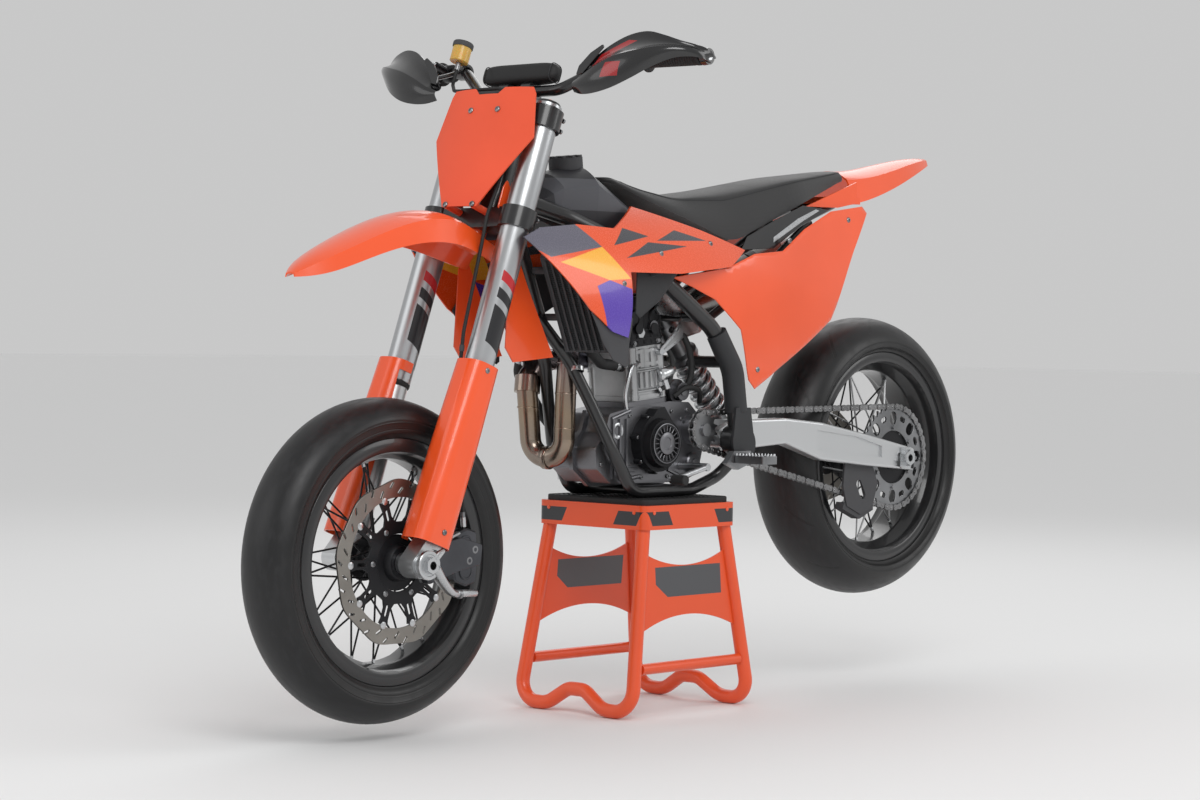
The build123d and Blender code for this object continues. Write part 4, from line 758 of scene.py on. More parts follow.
class Piece:
    """A mesh in the making, which becomes one object on one body."""

    def __init__(self, name: str, body: str = "root", slot: str | None = None) -> None:
        """Start an empty piece.

        Args:
            name: The object's name.
            body: The body that it rides on.
            slot: The record's material slot, if it takes one; kept on the piece but not used.
        """
        self.name = name
        self.body = body
        self.slot = slot
        self.mesh = bmesh.new()
        self.finishes: list[Finish] = []

    def wear(self, finish: Finish) -> int:
        """The number of a finish on this piece."""
        if finish not in self.finishes:
            self.finishes.append(finish)
        return self.finishes.index(finish)

    def face(self, corners: list[bmesh.types.BMVert], number: int) -> None:
        """Add a face unless its corners fall together.

        Args:
            corners: Its corners in order.
            number: The number of its finish.
        """
        unique = list(dict.fromkeys(corners))
        if len(unique) > 2:
            try:
                self.mesh.faces.new(unique).material_index = number
            except ValueError:
                log.debug("a face of %s is there already", self.name)

    def strip(self, low: list[bmesh.types.BMVert], high: list[bmesh.types.BMVert], number: int) -> None:
        """Join two closed rows of as many corners each by faces.

        Args:
            low: The first row.
            high: The next row.
            number: The number of their finish.
        """
        for step in range(len(low)):
            after = (step + 1) % len(low)
            self.face([low[step], low[after], high[after], high[step]], number)

    def loft(self, rings: list[list[Vector]], finish: Finish, caps: bool = True) -> None:
        """A skin over closed rings of as many points each.

        Args:
            rings: The rings, in order.
            finish: What it wears.
            caps: True where the first and the last ring are filled.
        """
        number = self.wear(finish)
        made = [[self.mesh.verts.new(point) for point in ring] for ring in rings]
        for low, high in zip(made, made[1:]):
            self.strip(low, high, number)
        if caps:
            self.face(made[0][::-1], number)
            self.face(made[-1], number)

    def tube(self, path: list[Vector], radius: float | list[float], finish: Finish, sides: int = 12,
             flat: float = 1.0, closed: bool = False) -> None:
        """A round or flattened bar along a path.

        Args:
            path: Its middle line.
            radius: Its radius, or one for each point.
            finish: What it wears.
            sides: The faces around it.
            flat: Its thickness as a share of its width.
            closed: True for a loop.
        """
        radii = radius if isinstance(radius, list) else [radius] * len(path)
        rings = []
        normal = None
        count = len(path)
        for number, (middle, reach) in enumerate(zip(path, radii)):
            before = path[number - 1] if number or closed else middle
            after = path[(number + 1) % count] if number + 1 < count or closed else middle
            way = (after - before).normalized()
            if normal is None:
                normal = way.orthogonal() if abs(way.z) > 0.9 else way.cross(UP)
            normal = (normal - way * normal.dot(way)).normalized()
            other = way.cross(normal)
            rings.append([
                middle + normal * (reach * cos(angle)) + other * (reach * flat * sin(angle)) for angle in around(sides)
            ])
        if closed:
            rings.append(rings[0])
        self.loft(rings, finish, caps=not closed)

    def turn(self, axes: Axes, profile: Sequence[Flat], finish: Finish, steps: int = 48, loop: bool = False) -> None:
        """A turned form: radii at heights along the axes' z, carried round it.

        Args:
            axes: Its place.
            profile: Height and radius pairs.
            finish: What it wears.
            steps: The runs around it.
            loop: True where the profile comes back to its start.
        """
        number = self.wear(finish)
        lines = []
        for height, radius in profile:
            if radius < TINY:
                lines.append([self.mesh.verts.new(axes.at(0, 0, height))] * steps)
            else:
                lines.append([self.mesh.verts.new(axes.at(u, v, height)) for u, v in circle(radius, steps)])
        if loop:
            lines.append(lines[0])
        for low, high in zip(lines, lines[1:]):
            self.strip(low, high, number)

    def plate(self, axes: Axes, outline: list[Flat], thickness: float, finish: Finish, bevel: float = 0.0006) -> None:
        """A flat plate with broken edges, from the axes' x-y plane up along z.

        Args:
            axes: Its place.
            outline: Its outline.
            thickness: How far it rises.
            finish: What it wears.
            bevel: How far its edges are broken, at most.
        """
        cut = min(bevel, thickness * 0.4)
        inner = inset(outline, cut)
        rings = [
            [axes.at(u, v, height) for u, v in line]
            for line, height in ((inner, 0), (outline, cut), (outline, thickness - cut), (inner, thickness))
        ]
        self.loft(rings, finish)

    def block(self, axes: Axes, size: Point, finish: Finish, bevel: float = 0.002) -> None:
        """A block with rounded edges, its middle at the axes' origin.

        Args:
            axes: Its place.
            size: Its size along the axes.
            finish: What it wears.
            bevel: How far its upper and lower edges are broken, at most.
        """
        half_x, half_y = size[0] / 2, size[1] / 2
        corner = min(half_x, half_y) * 0.5
        outline = rounded(
            [
                (-half_x, -half_y, corner), (half_x, -half_y, corner), (half_x, half_y, corner),
                (-half_x, half_y, corner),
            ], 3
        )
        self.plate(axes.moved(0, 0, -size[2] / 2), outline, size[2], finish, bevel)

    def cut_sheet(self, axes: Axes, loops: list[list[Flat]], thickness: float, finish: Finish,
                  bevel: float = 0.0003) -> None:
        """A flat sheet with holes, its faces filled between its outlines.

        Args:
            axes: Its middle plane.
            loops: The outer outline and the holes.
            thickness: The whole thickness.
            finish: What it wears.
            bevel: How far its edges are broken.
        """
        number = self.wear(finish)
        rims = [inset(loop, -bevel if count else bevel) for count, loop in enumerate(loops)]
        flat = [Vector(point) for rim in rims for point in rim]
        edges = []
        for rim in rims:
            start = len(edges)
            edges += [(start + n, start + (n + 1) % len(rim)) for n in range(len(rim))]
        sides = [(flat[a], flat[b]) for a, b in edges]
        points, _, faces, _, _, _ = delaunay_2d_cdt(flat, edges, [], 0, 1e-8)
        kept = []
        for corners in faces:
            middle = sum((points[n] for n in corners), Vector((0, 0))) / len(corners)
            crossed = False
            for a, b in sides:
                if (a.y > middle.y) != (b.y > middle.y):
                    crossed ^= middle.x < a.x + (middle.y - a.y) * (b.x - a.x) / (b.y - a.y)
            if crossed:
                kept.append(corners)
        half = thickness / 2
        for height in (-half, half):
            made = [self.mesh.verts.new(axes.at(point.x, point.y, height)) for point in points]
            for corners in kept:
                self.face([made[n] for n in corners], number)
        for loop, rim in zip(loops, rims):
            rows = [
                [self.mesh.verts.new(axes.at(u, v, height)) for u, v in line]
                for line, height in ((rim, -half), (loop, bevel - half), (loop, half - bevel), (rim, half))
            ]
            for low, high in zip(rows, rows[1:]):
                self.strip(low, high, number)

    def shell(self, grid: list[list[Vector]], thickness: float, outer: Finish, inner: Finish) -> None:
        """A thin shell under a grid of points, with a rounded rim.

        Args:
            grid: Rows of as many points each, in order over the outer side.
            thickness: How thick it is.
            outer: What the outer side and the rim wear.
            inner: What the inner side wears.
        """
        rows, columns = len(grid), len(grid[0])
        deep = []
        for row in range(rows):
            line = []
            for column in range(columns):
                across = grid[row][min(column + 1, columns - 1)] - grid[row][max(column - 1, 0)]
                down = grid[min(row + 1, rows - 1)][column] - grid[max(row - 1, 0)][column]
                line.append(grid[row][column] - across.cross(down).normalized() * thickness)
            deep.append(line)
        top = [[self.mesh.verts.new(point) for point in line] for line in grid]
        under = [[self.mesh.verts.new(point) for point in line] for line in deep]
        for sheet, number in ((top, self.wear(outer)), (under, self.wear(inner))):
            for line, below in zip(sheet, sheet[1:]):
                for n in range(columns - 1):
                    self.face([line[n], line[n + 1], below[n + 1], below[n]], number)
        rim = [(0, n) for n in range(columns)] + [(n, columns - 1) for n in range(1, rows)]
        rim += [(rows - 1, n) for n in range(columns - 2, -1, -1)] + [(n, 0) for n in range(rows - 2, 0, -1)]
        for (a, b), (c, d) in zip(rim, rim[1:] + rim[:1]):
            self.face([top[a][b], top[c][d], under[c][d], under[a][b]], self.wear(outer))

    def skin(self, outline: list[Flat], lift: Callable[[float, float], Vector], deep: Callable[[float, float], Vector],
             finish: Finish, pitch: float = 0.012, edge: float = 0.0012) -> None:
        """A curved sheet cut to an outline, meshed finely enough to carry its curve.

        Args:
            outline: Its outline in two coordinates, counter-clockwise.
            lift: The outer point over two coordinates.
            deep: The inner point over two coordinates.
            finish: What it wears.
            pitch: The spacing of the points inside.
            edge: How far its edges are rounded.
        """
        number = self.wear(finish)
        fine: list[Flat] = []
        for here, after in zip(outline, outline[1:] + outline[:1]):
            steps = max(1, round((Vector(after) - Vector(here)).length / pitch))
            fine += [tuple(Vector(here).lerp(Vector(after), step / steps)) for step in range(steps)]
        count = len(fine)
        inner_line = inset(fine, edge)
        spots = [Vector(point) for point in inner_line]
        low_u, high_u = min(u for u, _ in fine), max(u for u, _ in fine)
        low_v, high_v = min(v for _, v in fine), max(v for _, v in fine)
        for row in range(int((high_v - low_v) / pitch) + 1):
            for column in range(int((high_u - low_u) / pitch) + 1):
                spot = Vector((low_u + (column + 0.5 * (row % 2)) * pitch, low_v + row * pitch))
                if min((spot - Vector(point)).length for point in inner_line) > pitch * 0.55:
                    spots.append(spot)
        loop = [(n, (n + 1) % count) for n in range(count)]
        points, _, faces, _, _, _ = delaunay_2d_cdt(spots, loop, [list(range(count))], 1, 1e-7)
        sides = []
        for raise_point in (lift, deep):
            made = [self.mesh.verts.new(raise_point(point.x, point.y)) for point in points]
            for corners in faces:
                self.face([made[n] for n in corners], number)
            sides.append(made)
        middle = [self.mesh.verts.new(lift(u, v).lerp(deep(u, v), 0.5)) for u, v in fine]
        for side in sides:
            for n, after in loop:
                self.face([side[n], side[after], middle[after], middle[n]], number)

    def done(self, replaces: tuple[str, ...] = (), sharp: float = 32.0) -> bpy.types.Object:
        """Close the mesh and hang it on its body.

        Args:
            replaces: The CAD nodes that it stands for.
            sharp: The angle in degrees from which an edge stays crisp.

        Returns:
            The new object.
        """
        bmesh.ops.remove_doubles(self.mesh, verts=self.mesh.verts, dist=TINY)
        bmesh.ops.recalc_face_normals(self.mesh, faces=self.mesh.faces)
        data = bpy.data.meshes.new(self.name)
        self.mesh.to_mesh(data)
        self.mesh.free()
        for finish in self.finishes:
            data.materials.append(finish.made())
        thing = bpy.data.objects.new(self.name, data)
        bpy.context.collection.objects.link(thing)
        settle(thing, self.body, replaces, sharp)
        return thing


def node_side(node: str, x: float, z: float, sign: int) -> float:
    """Find how far a CAD node reaches to one side.

    Args:
        node: The node.
        x: The place ahead.
        z: The place above the floor.
        sign: 1 on the left, -1 on the right.

    Returns:
        The distance from the middle plane to the node's outermost surface there.
    """
    mesh = frame["nodes"][node].data
    tree = BVHTree.FromPolygons([corner.co for corner in mesh.vertices], [side.vertices for side in mesh.polygons])
    hit = tree.ray_cast(Vector((x, sign, z)), LEFT * -sign)[0]
    if hit is None:
        raise ValueError(f"{node} has no side at x {x:.3f}, z {z:.3f}")
    return abs(hit.y)


def settle(thing: bpy.types.Object, body: str, replaces: tuple[str, ...], sharp: float) -> None:
    """Shade a finished object and declare where it rides.

    Args:
        thing: The object.
        body: The body it rides on.
        replaces: The CAD nodes that it stands for.
        sharp: The angle in degrees from which an edge stays crisp.
    """
    thing.data.shade_smooth()
    thing.data.set_sharp_from_angle(angle=radians(sharp))
    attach(thing, body)
    if replaces:
        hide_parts(*replaces)
    log.info("%s: %d faces on %s", thing.name, len(thing.data.polygons), body)


# Repeated parts, set out by Geometry Nodes
@dataclass
class Spot:
    """A place for a copy: where it stands, the way that it faces and the way that it points."""

    place: Vector
    facing: Vector
    heading: Vector = field(default_factory=lambda: Vector((1, 0, 0)))


class Pattern:
    """A Geometry Nodes tree with named inputs, whose result is turned into a plain mesh."""

    def __init__(self, name: str, inputs: dict[str, str]) -> None:
        """Start a tree.

        Args:
            name: The tree's name.
            inputs: The kind of each named input.
        """
        self.tree = bpy.data.node_groups.new(name, "GeometryNodeTree")
        self.tree.interface.new_socket("Geometry", in_out="INPUT", socket_type="NodeSocketGeometry")
        self.sockets = {
            key: self.tree.interface.new_socket(key, in_out="INPUT", socket_type="NodeSocket" + kind).identifier
            for key, kind in inputs.items()
        }
        self.tree.interface.new_socket("Geometry", in_out="OUTPUT", socket_type="NodeSocketGeometry")
        self.start = self.tree.nodes.new("NodeGroupInput")
        self.end = self.tree.nodes.new("NodeGroupOutput")

    def node(self, kind: str, settings: dict, inputs: dict) -> bpy.types.Node:
        """Add a node.

        Args:
            kind: The node's type.
            settings: Its properties.
            inputs: Values or other nodes' sockets, by name or number.

        Returns:
            The node.
        """
        made = self.tree.nodes.new(kind)
        for key, value in settings.items():
            setattr(made, key, value)
        for key, value in inputs.items():
            if isinstance(value, bpy.types.NodeSocket):
                self.tree.links.new(value, made.inputs[key])
            else:
                made.inputs[key].default_value = value
        return made

    def close(self, geometry: bpy.types.NodeSocket) -> None:
        """End the tree in real faces that wear the named material.

        Args:
            geometry: The instances.
        """
        real = self.node("GeometryNodeRealizeInstances", {}, {"Geometry": geometry})
        dressed = self.node(
            "GeometryNodeSetMaterial", {}, {"Geometry": real.outputs[0], "Material": self.start.outputs["Material"]}
        )
        self.tree.links.new(dressed.outputs[0], self.end.inputs[0])

    def bake(self, name: str, carrier: bpy.types.Object, values: dict) -> bpy.types.Object:
        """Run the tree on a carrier, and put a plain object in place of it and of the objects that it copies.

        Args:
            name: The new object's name.
            carrier: The object that holds the points or the path.
            values: The value of each named input.

        Returns:
            The new object.
        """
        helpers = [carrier] + [value for value in values.values() if isinstance(value, bpy.types.Object)]
        for helper in helpers:
            bpy.context.collection.objects.link(helper)
        modifier = carrier.modifiers.new(self.tree.name, "NODES")
        modifier.node_group = self.tree
        for key, value in values.items():
            modifier[self.sockets[key]] = value
        mesh = bpy.data.meshes.new_from_object(carrier.evaluated_get(bpy.context.evaluated_depsgraph_get()))
        carrier.modifiers.clear()
        for helper in helpers:
            bpy.data.objects.remove(helper)
        made = bpy.data.objects.new(name, mesh)
        bpy.context.collection.objects.link(made)
        return made


class SpotPattern(Pattern):
    """Copies of a shape on spots, each facing its own way."""

    def __init__(self) -> None:
        """Build the tree."""
        super().__init__("copies_on_spots", {"Shape": "Object", "Size": "Float", "Material": "Material"})
        facing = self.node("GeometryNodeInputNamedAttribute", {"data_type": "FLOAT_VECTOR"}, {"Name": "facing"})
        heading = self.node("GeometryNodeInputNamedAttribute", {"data_type": "FLOAT_VECTOR"}, {"Name": "heading"})
        turned = self.node(
            "FunctionNodeAxesToRotation", {"primary_axis": "Z", "secondary_axis": "X"},
            {0: facing.outputs[0], 1: heading.outputs[0]},
        )
        shape = self.node("GeometryNodeObjectInfo", {}, {"Object": self.start.outputs["Shape"]})
        copies = self.node("GeometryNodeInstanceOnPoints", {}, {
            "Points": self.start.outputs[0], "Instance": shape.outputs["Geometry"], "Rotation": turned.outputs[0],
            "Scale": self.start.outputs["Size"],
        })
        self.close(copies.outputs[0])

    def lay(self, name: str, spots: list[Spot], shape: bpy.types.Mesh, size: float, finish: Finish,
            body: str = "root") -> None:
        """Set copies of a shape on spots, as one piece.

        Args:
            name: The piece's name.
            spots: Where the copies go.
            shape: The shape, drawn at a size of 1 round its origin, facing up z.
            size: Its size in metres.
            finish: What it wears.
            body: The body it rides on.
        """
        points = bpy.data.meshes.new(name + "_spots")
        points.from_pydata([spot.place for spot in spots], [], [])
        for key in ("facing", "heading"):
            layer = points.attributes.new(key, "FLOAT_VECTOR", "POINT")
            for number, spot in enumerate(spots):
                layer.data[number].vector = getattr(spot, key)
        carrier = bpy.data.objects.new(name + "_spots", points)
        copied = bpy.data.objects.new(name + "_shape", shape)
        piece = self.bake(name, carrier, {"Shape": copied, "Size": size, "Material": finish.made()})
        settle(piece, body, (), 30.0)


class PathPattern(Pattern):
    """Two shapes in turn along a closed path, as the links of a chain."""

    def __init__(self) -> None:
        """Build the tree."""
        super().__init__("links_on_a_path", {
            "First": "Object", "Second": "Object", "Count": "Int", "Material": "Material",
        })
        spread = self.node(
            "GeometryNodeResampleCurve", {}, {"Curve": self.start.outputs[0], "Count": self.start.outputs["Count"]}
        )
        points = self.node("GeometryNodeCurveToPoints", {"mode": "EVALUATED"}, {"Curve": spread.outputs[0]})
        turned = self.node(
            "FunctionNodeAxesToRotation", {"primary_axis": "X", "secondary_axis": "Y"},
            {0: points.outputs["Tangent"], 1: (0.0, 1.0, 0.0)},
        )
        index = self.node("GeometryNodeInputIndex", {}, {})
        odd = self.node("ShaderNodeMath", {"operation": "MODULO"}, {0: index.outputs[0], 1: 2.0})
        even = self.node("ShaderNodeMath", {"operation": "SUBTRACT"}, {0: 1.0, 1: odd.outputs[0]})
        runs = []
        for key, share in (("First", even), ("Second", odd)):
            shape = self.node("GeometryNodeObjectInfo", {}, {"Object": self.start.outputs[key]})
            copies = self.node("GeometryNodeInstanceOnPoints", {}, {
                "Points": points.outputs["Points"], "Selection": share.outputs[0],
                "Instance": shape.outputs["Geometry"], "Rotation": turned.outputs[0],
            })
            runs.append(copies)
        joined = self.node("GeometryNodeJoinGeometry", {}, {})
        for copies in runs:
            self.tree.links.new(copies.outputs[0], joined.inputs[0])
        self.close(joined.outputs[0])


def small_shape(name: str, rings: list[tuple[float, float]], sides: int) -> bpy.types.Mesh:
    """A small turned shape for copies, closed at both ends.

    Args:
        name: The mesh's name.
        rings: Heights and radii of its rings.
        sides: The faces around it.

    Returns:
        The mesh.
    """
    mesh = bmesh.new()
    made = [[mesh.verts.new((u, v, height)) for u, v in circle(radius, sides)] for height, radius in rings]
    for low, high in zip(made, made[1:]):
        for n in range(sides):
            mesh.faces.new((low[n], low[(n + 1) % sides], high[(n + 1) % sides], high[n]))
    mesh.faces.new(made[0][::-1])
    mesh.faces.new(made[-1])
    data = bpy.data.meshes.new(name)
    mesh.to_mesh(data)
    mesh.free()
    return data


class Fastener(Enum):
    """Small turned fasteners as heights and radii of their rings, and the faces around them."""

    CAP_SCREW = (((-0.3, 1.0), (0.55, 1.0), (0.7, 0.88), (0.7, 0.52), (0.25, 0.46)), 12)
    HEX_BOLT = (((-0.3, 1.5), (0.12, 1.5), (0.14, 1.0), (0.72, 1.0), (0.8, 0.86)), 6)
    DOME_SCREW = (((-0.3, 1.0), (0.1, 1.0), (0.34, 0.8), (0.44, 0.5), (0.2, 0.42)), 12)
    NIPPLE = (((-1.6, 0.8), (0.4, 0.8), (0.5, 1.0), (2.6, 0.9), (2.8, 0.6)), 6)
    RIVET = (((-0.2, 1.0), (0.2, 0.9), (0.36, 0.5)), 10)

    def shape(self) -> bpy.types.Mesh:
        """Make the shape.

        Returns:
            The mesh.
        """
        rings, sides = self.value
        return small_shape(self.name.lower(), list(rings), sides)


@dataclass
class Fasteners:
    """Fasteners of one kind on one body."""

    pattern: SpotPattern

    def lay(self, name: str, kind: Fastener, size: float, spots: list[Spot], finish: Finish,
            body: str = "root") -> None:
        """Set fasteners of a kind and a size on spots."""
        self.pattern.lay(name, spots, kind.shape(), size, finish, body)


# Wheels
@dataclass
class Wheel:
    """A wire wheel: its tyre, rim, hub, spokes and nipples, with sizes in metres."""

    name: str
    body: str
    axle: Vector
    compound: Finish
    spoke_finishes: tuple[Finish, Finish]
    tyre_r: float
    tyre_half: float
    rim_half: float
    bead_r: float
    flange_r: float
    hub_profile: list[Flat]
    flange_y: float
    flange_hole_r: float
    rim_y: float
    cross: float
    well_r: float = 0.190
    wall: float = 0.005
    spokes_per_side: int = 18
    spoke_r: float = 0.0019
    rotor_thick: float = 0.0045

    @property
    def axes(self) -> Axes:
        """Turning axes with z to the left, x ahead and y down."""
        return left_axes(self.axle)

    def tyre(self) -> None:
        """The tyre: a round crown, a tread edge, ringed side walls and beads."""
        half, outer = self.tyre_half, self.tyre_r
        profile: list[Flat] = []
        for step in range(15):
            share = sin(pi / 2 * step / 14)
            drop = 0.78 * half * (1 - (1 - 0.97 * share**2) ** 0.5)
            profile.append((half * share, outer - drop))
        edge_r = profile[-1][1]
        low = self.flange_r
        wall = [
            (half - 0.0012, edge_r - 0.003), (half - 0.0006, edge_r - 0.0045), (half - 0.0018, edge_r - 0.0062),
            (half * 0.97, edge_r * 0.55 + low * 0.45), (half * 0.955, edge_r * 0.5 + low * 0.5),
            (half * 0.962, edge_r * 0.45 + low * 0.55), (half * 0.9, low + 0.0075),
            (self.rim_half + self.wall + 0.0012, low + 0.0042), (self.rim_half + self.wall - 0.0004, low + 0.0012),
            (self.rim_half - 0.0012, low - 0.0006), (self.rim_half - 0.0012, self.bead_r + 0.0008),
            (0.0, self.bead_r + 0.0008),
        ]
        side = profile + wall
        whole = [(-w, r) for w, r in reversed(side[1:-1])] + side
        piece = Piece(self.name + "_tyre_skin", self.body, "tyre")
        piece.turn(self.axes, whole, self.compound, 144, loop=True)
        piece.done((self.name + "_tyre",), 42.0)

    def rim(self) -> None:
        """The rim: a rounded drop well, bead seats and rolled flanges."""
        half, lip = self.rim_half, self.rim_half + self.wall
        seat, well = half * 0.68, half * 0.42
        inner_r = self.well_r
        side = [
            (0.0, inner_r + 0.005), (well * 0.9, inner_r + 0.005), (well * 1.15, inner_r + 0.0062),
            (seat * 0.95, self.bead_r - 0.0042), (seat * 1.06, self.bead_r - 0.0028), (half - 0.001, self.bead_r),
            (half, self.bead_r + 0.001), (half, self.flange_r - 0.0012), (half + 0.0012, self.flange_r),
            (lip - 0.001, self.flange_r), (lip, self.flange_r - 0.0012), (lip, self.bead_r - 0.003),
            (lip - 0.0015, self.bead_r - 0.0056), (half - 0.003, self.bead_r - 0.0066),
            (seat + 0.006, self.bead_r - 0.0086), (seat + 0.0035, self.bead_r - 0.0102),
            (well + 0.006, inner_r + 0.0022), (well + 0.002, inner_r + 0.0003), (well, inner_r),
            (0.0, inner_r - 0.0008),
        ]
        whole = [(-w, r) for w, r in reversed(side[1:-1])] + side
        piece = Piece(self.name + "_rim_skin", self.body, "black_paint")
        piece.turn(self.axes, whole, Finish.BLACK_PAINT, 128, loop=True)
        piece.done((self.name + "_rim",), 40.0)

    def spoke_ends(self) -> list[tuple[Vector, Vector, int]]:
        """Work out where each spoke leaves the hub and meets the rim.

        Returns:
            The two places and the side of each spoke, 1 on the left and -1 on the right.
        """
        step = FULL_TURN / self.spokes_per_side
        ends = []
        for sign in (1, -1):
            for number in range(self.spokes_per_side):
                start = (number + (0.25 if sign > 0 else 0.75)) * step
                end = start + radians(self.cross) * (1 if number % 2 else -1)
                flange_y = self.flange_y + (0.0018 if number % 2 else -0.0018)
                hole_r = self.flange_hole_r
                ends.append((
                    self.axle + Vector((hole_r * cos(start), sign * flange_y, hole_r * sin(start))),
                    self.axle + Vector((self.well_r * cos(end), sign * self.rim_y, self.well_r * sin(end))),
                    sign,
                ))
        return ends

    def hub(self) -> None:
        """The turned hub and its crossed spokes, with bent ends in the flanges."""
        piece = Piece(self.name + "_hub_and_spokes", self.body, "dark_cases")
        piece.turn(self.axes, self.hub_profile, Finish.DARK_COVER, 64, loop=True)
        for start, end, sign in self.spoke_ends():
            finish = self.spoke_finishes[0 if sign > 0 else 1]
            way = (end - start).normalized()
            inward = Vector((0, -sign, 0))
            path = [
                start + inward * 0.004 - way * 0.0012, start + inward * 0.0006, start + way * 0.003,
                start.lerp(end, 0.5), end - way * 0.0004,
            ]
            piece.tube(path, self.spoke_r, finish, 8)
        piece.done((self.name + "_hub_spokes",), 38.0)

    def nipples(self, fasteners: Fasteners) -> None:
        """The nipples that hold the spokes in the rim's well.

        Args:
            fasteners: What sets them.
        """
        spots = []
        for start, end, _ in self.spoke_ends():
            way = (start - end).normalized()
            spots.append(Spot(end, way, way.orthogonal()))
        fasteners.lay(self.name + "_nipples", Fastener.NIPPLE, 0.0032, spots, Finish.BRIGHT, self.body)

    def rotor(self, name: str, across: float, outer_r: float, inner_r: float, lobes: int, wave: float,
              slots: list[list[Flat]], slot_step: int) -> Piece:
        """A wave-edged brake rotor.

        Args:
            name: The piece's name.
            across: Its place along the axle.
            outer_r: Its reach.
            inner_r: The radius inside the braking band.
            lobes: How many waves it has.
            wave: How deep a wave is.
            slots: The holes of one step of the pattern.
            slot_step: How many times the pattern repeats.

        Returns:
            The piece, still open.
        """
        piece = Piece(name, self.body, "steel")
        axes = wheel_axes(self.axle + Vector((0, across, 0)))
        rim_line = []
        for angle in around(lobes * 24):
            swing = (0.5 + 0.5 * sin(lobes * angle)) ** 1.3
            reach = outer_r - wave * (1 - swing)
            rim_line.append((reach * cos(angle), reach * sin(angle)))
        loops = [rim_line, circle(inner_r, 96)]
        for angle in around(slot_step):
            for slot in slots:
                loops.append([(u * cos(angle) - v * sin(angle), u * sin(angle) + v * cos(angle)) for u, v in slot])
        piece.cut_sheet(axes, loops, self.rotor_thick, Finish.DISC_STEEL)
        return piece


def slot_loop(radius: float, angle: float, length: float, width: float, tilt: float) -> list[Flat]:
    """A rounded slot.

    Args:
        radius: Its middle's distance from the axle.
        angle: Its middle's bearing in radians.
        length: Its whole length.
        width: Its width.
        tilt: How far it is turned from the radius, in radians.

    Returns:
        The outline's points.
    """
    half = length / 2 - width / 2
    points = []
    for end in (1, -1):
        for step in range(7):
            turn = -pi / 2 + pi * step / 6 if end > 0 else pi / 2 + pi * step / 6
            points.append((end * half + width / 2 * cos(turn), width / 2 * sin(turn)))
    middle = Vector((radius * cos(angle), radius * sin(angle)))
    lean = angle + tilt
    return [(middle.x + u * cos(lean) - v * sin(lean), middle.y + u * sin(lean) + v * cos(lean)) for u, v in points]


@dataclass
class FrontWheel(Wheel):
    """The front wheel with its floating disc.

    The outline of one arm of the disc's carrier has its angles as shares of the step between two arms.
    """

    disc_y: float = 0.058
    disc_r: float = 0.155
    arms: int = 10
    arm_outline: tuple[Flat, ...] = (
        (-0.5, 0.076), (-0.3, 0.077), (-0.16, 0.088), (-0.13, 0.108), (-0.155, 0.1175), (0.0, 0.1205), (0.155, 0.1175),
        (0.13, 0.108), (0.16, 0.088), (0.3, 0.077),
    )
    button_r: float = 0.1195
    button: tuple[Flat, ...] = (
        (-0.0034, 0.0), (-0.0034, 0.0058), (-0.0028, 0.0068), (0.0028, 0.0068), (0.0034, 0.0058), (0.0034, 0.0042),
        (0.0026, 0.0036), (0.0026, 0.0),
    )

    def disc(self) -> None:
        """The wave rotor, its alloy carrier and the floating buttons between them."""
        slots = [slot_loop(0.145, 0.04, 0.0145, 0.0046, 0.75), slot_loop(0.1335, 0.19, 0.0165, 0.0046, 0.75)]
        piece = self.rotor("front_wave_disc", across=self.disc_y, outer_r=self.disc_r, inner_r=0.121, lobes=9,
                           wave=0.0055, slots=slots, slot_step=18)
        axes = wheel_axes(self.axle + Vector((0, self.disc_y, 0)))
        outline = []
        for number in range(self.arms):
            for share, reach in self.arm_outline:
                angle = FULL_TURN * (number + share) / self.arms
                outline.append((reach * cos(angle), reach * sin(angle)))
        loops = [outline, circle(0.0535, 72)]
        for angle in around(self.arms):
            loops.append(slot_loop(0.092, angle, 0.022, 0.0065, 0.0))
        piece.cut_sheet(axes, loops, 0.004, Finish.DARK_COVER, 0.0004)
        for u, v in circle(self.button_r, self.arms):
            piece.turn(axes.moved(u, v), self.button, Finish.BRIGHT, 20)
        piece.done(("front_disc",), 35.0)

    def bolts(self, fasteners: Fasteners) -> None:
        """The screws that hold the carrier on the hub.

        Args:
            fasteners: What sets them.
        """
        spots = [Spot(self.axle + Vector((x, self.disc_y + 0.0021, z)), LEFT, AHEAD) for x, z in circle(0.0645, 6)]
        fasteners.lay("front_disc_screws", Fastener.DOME_SCREW, 0.0058, spots, Finish.STEEL, self.body)


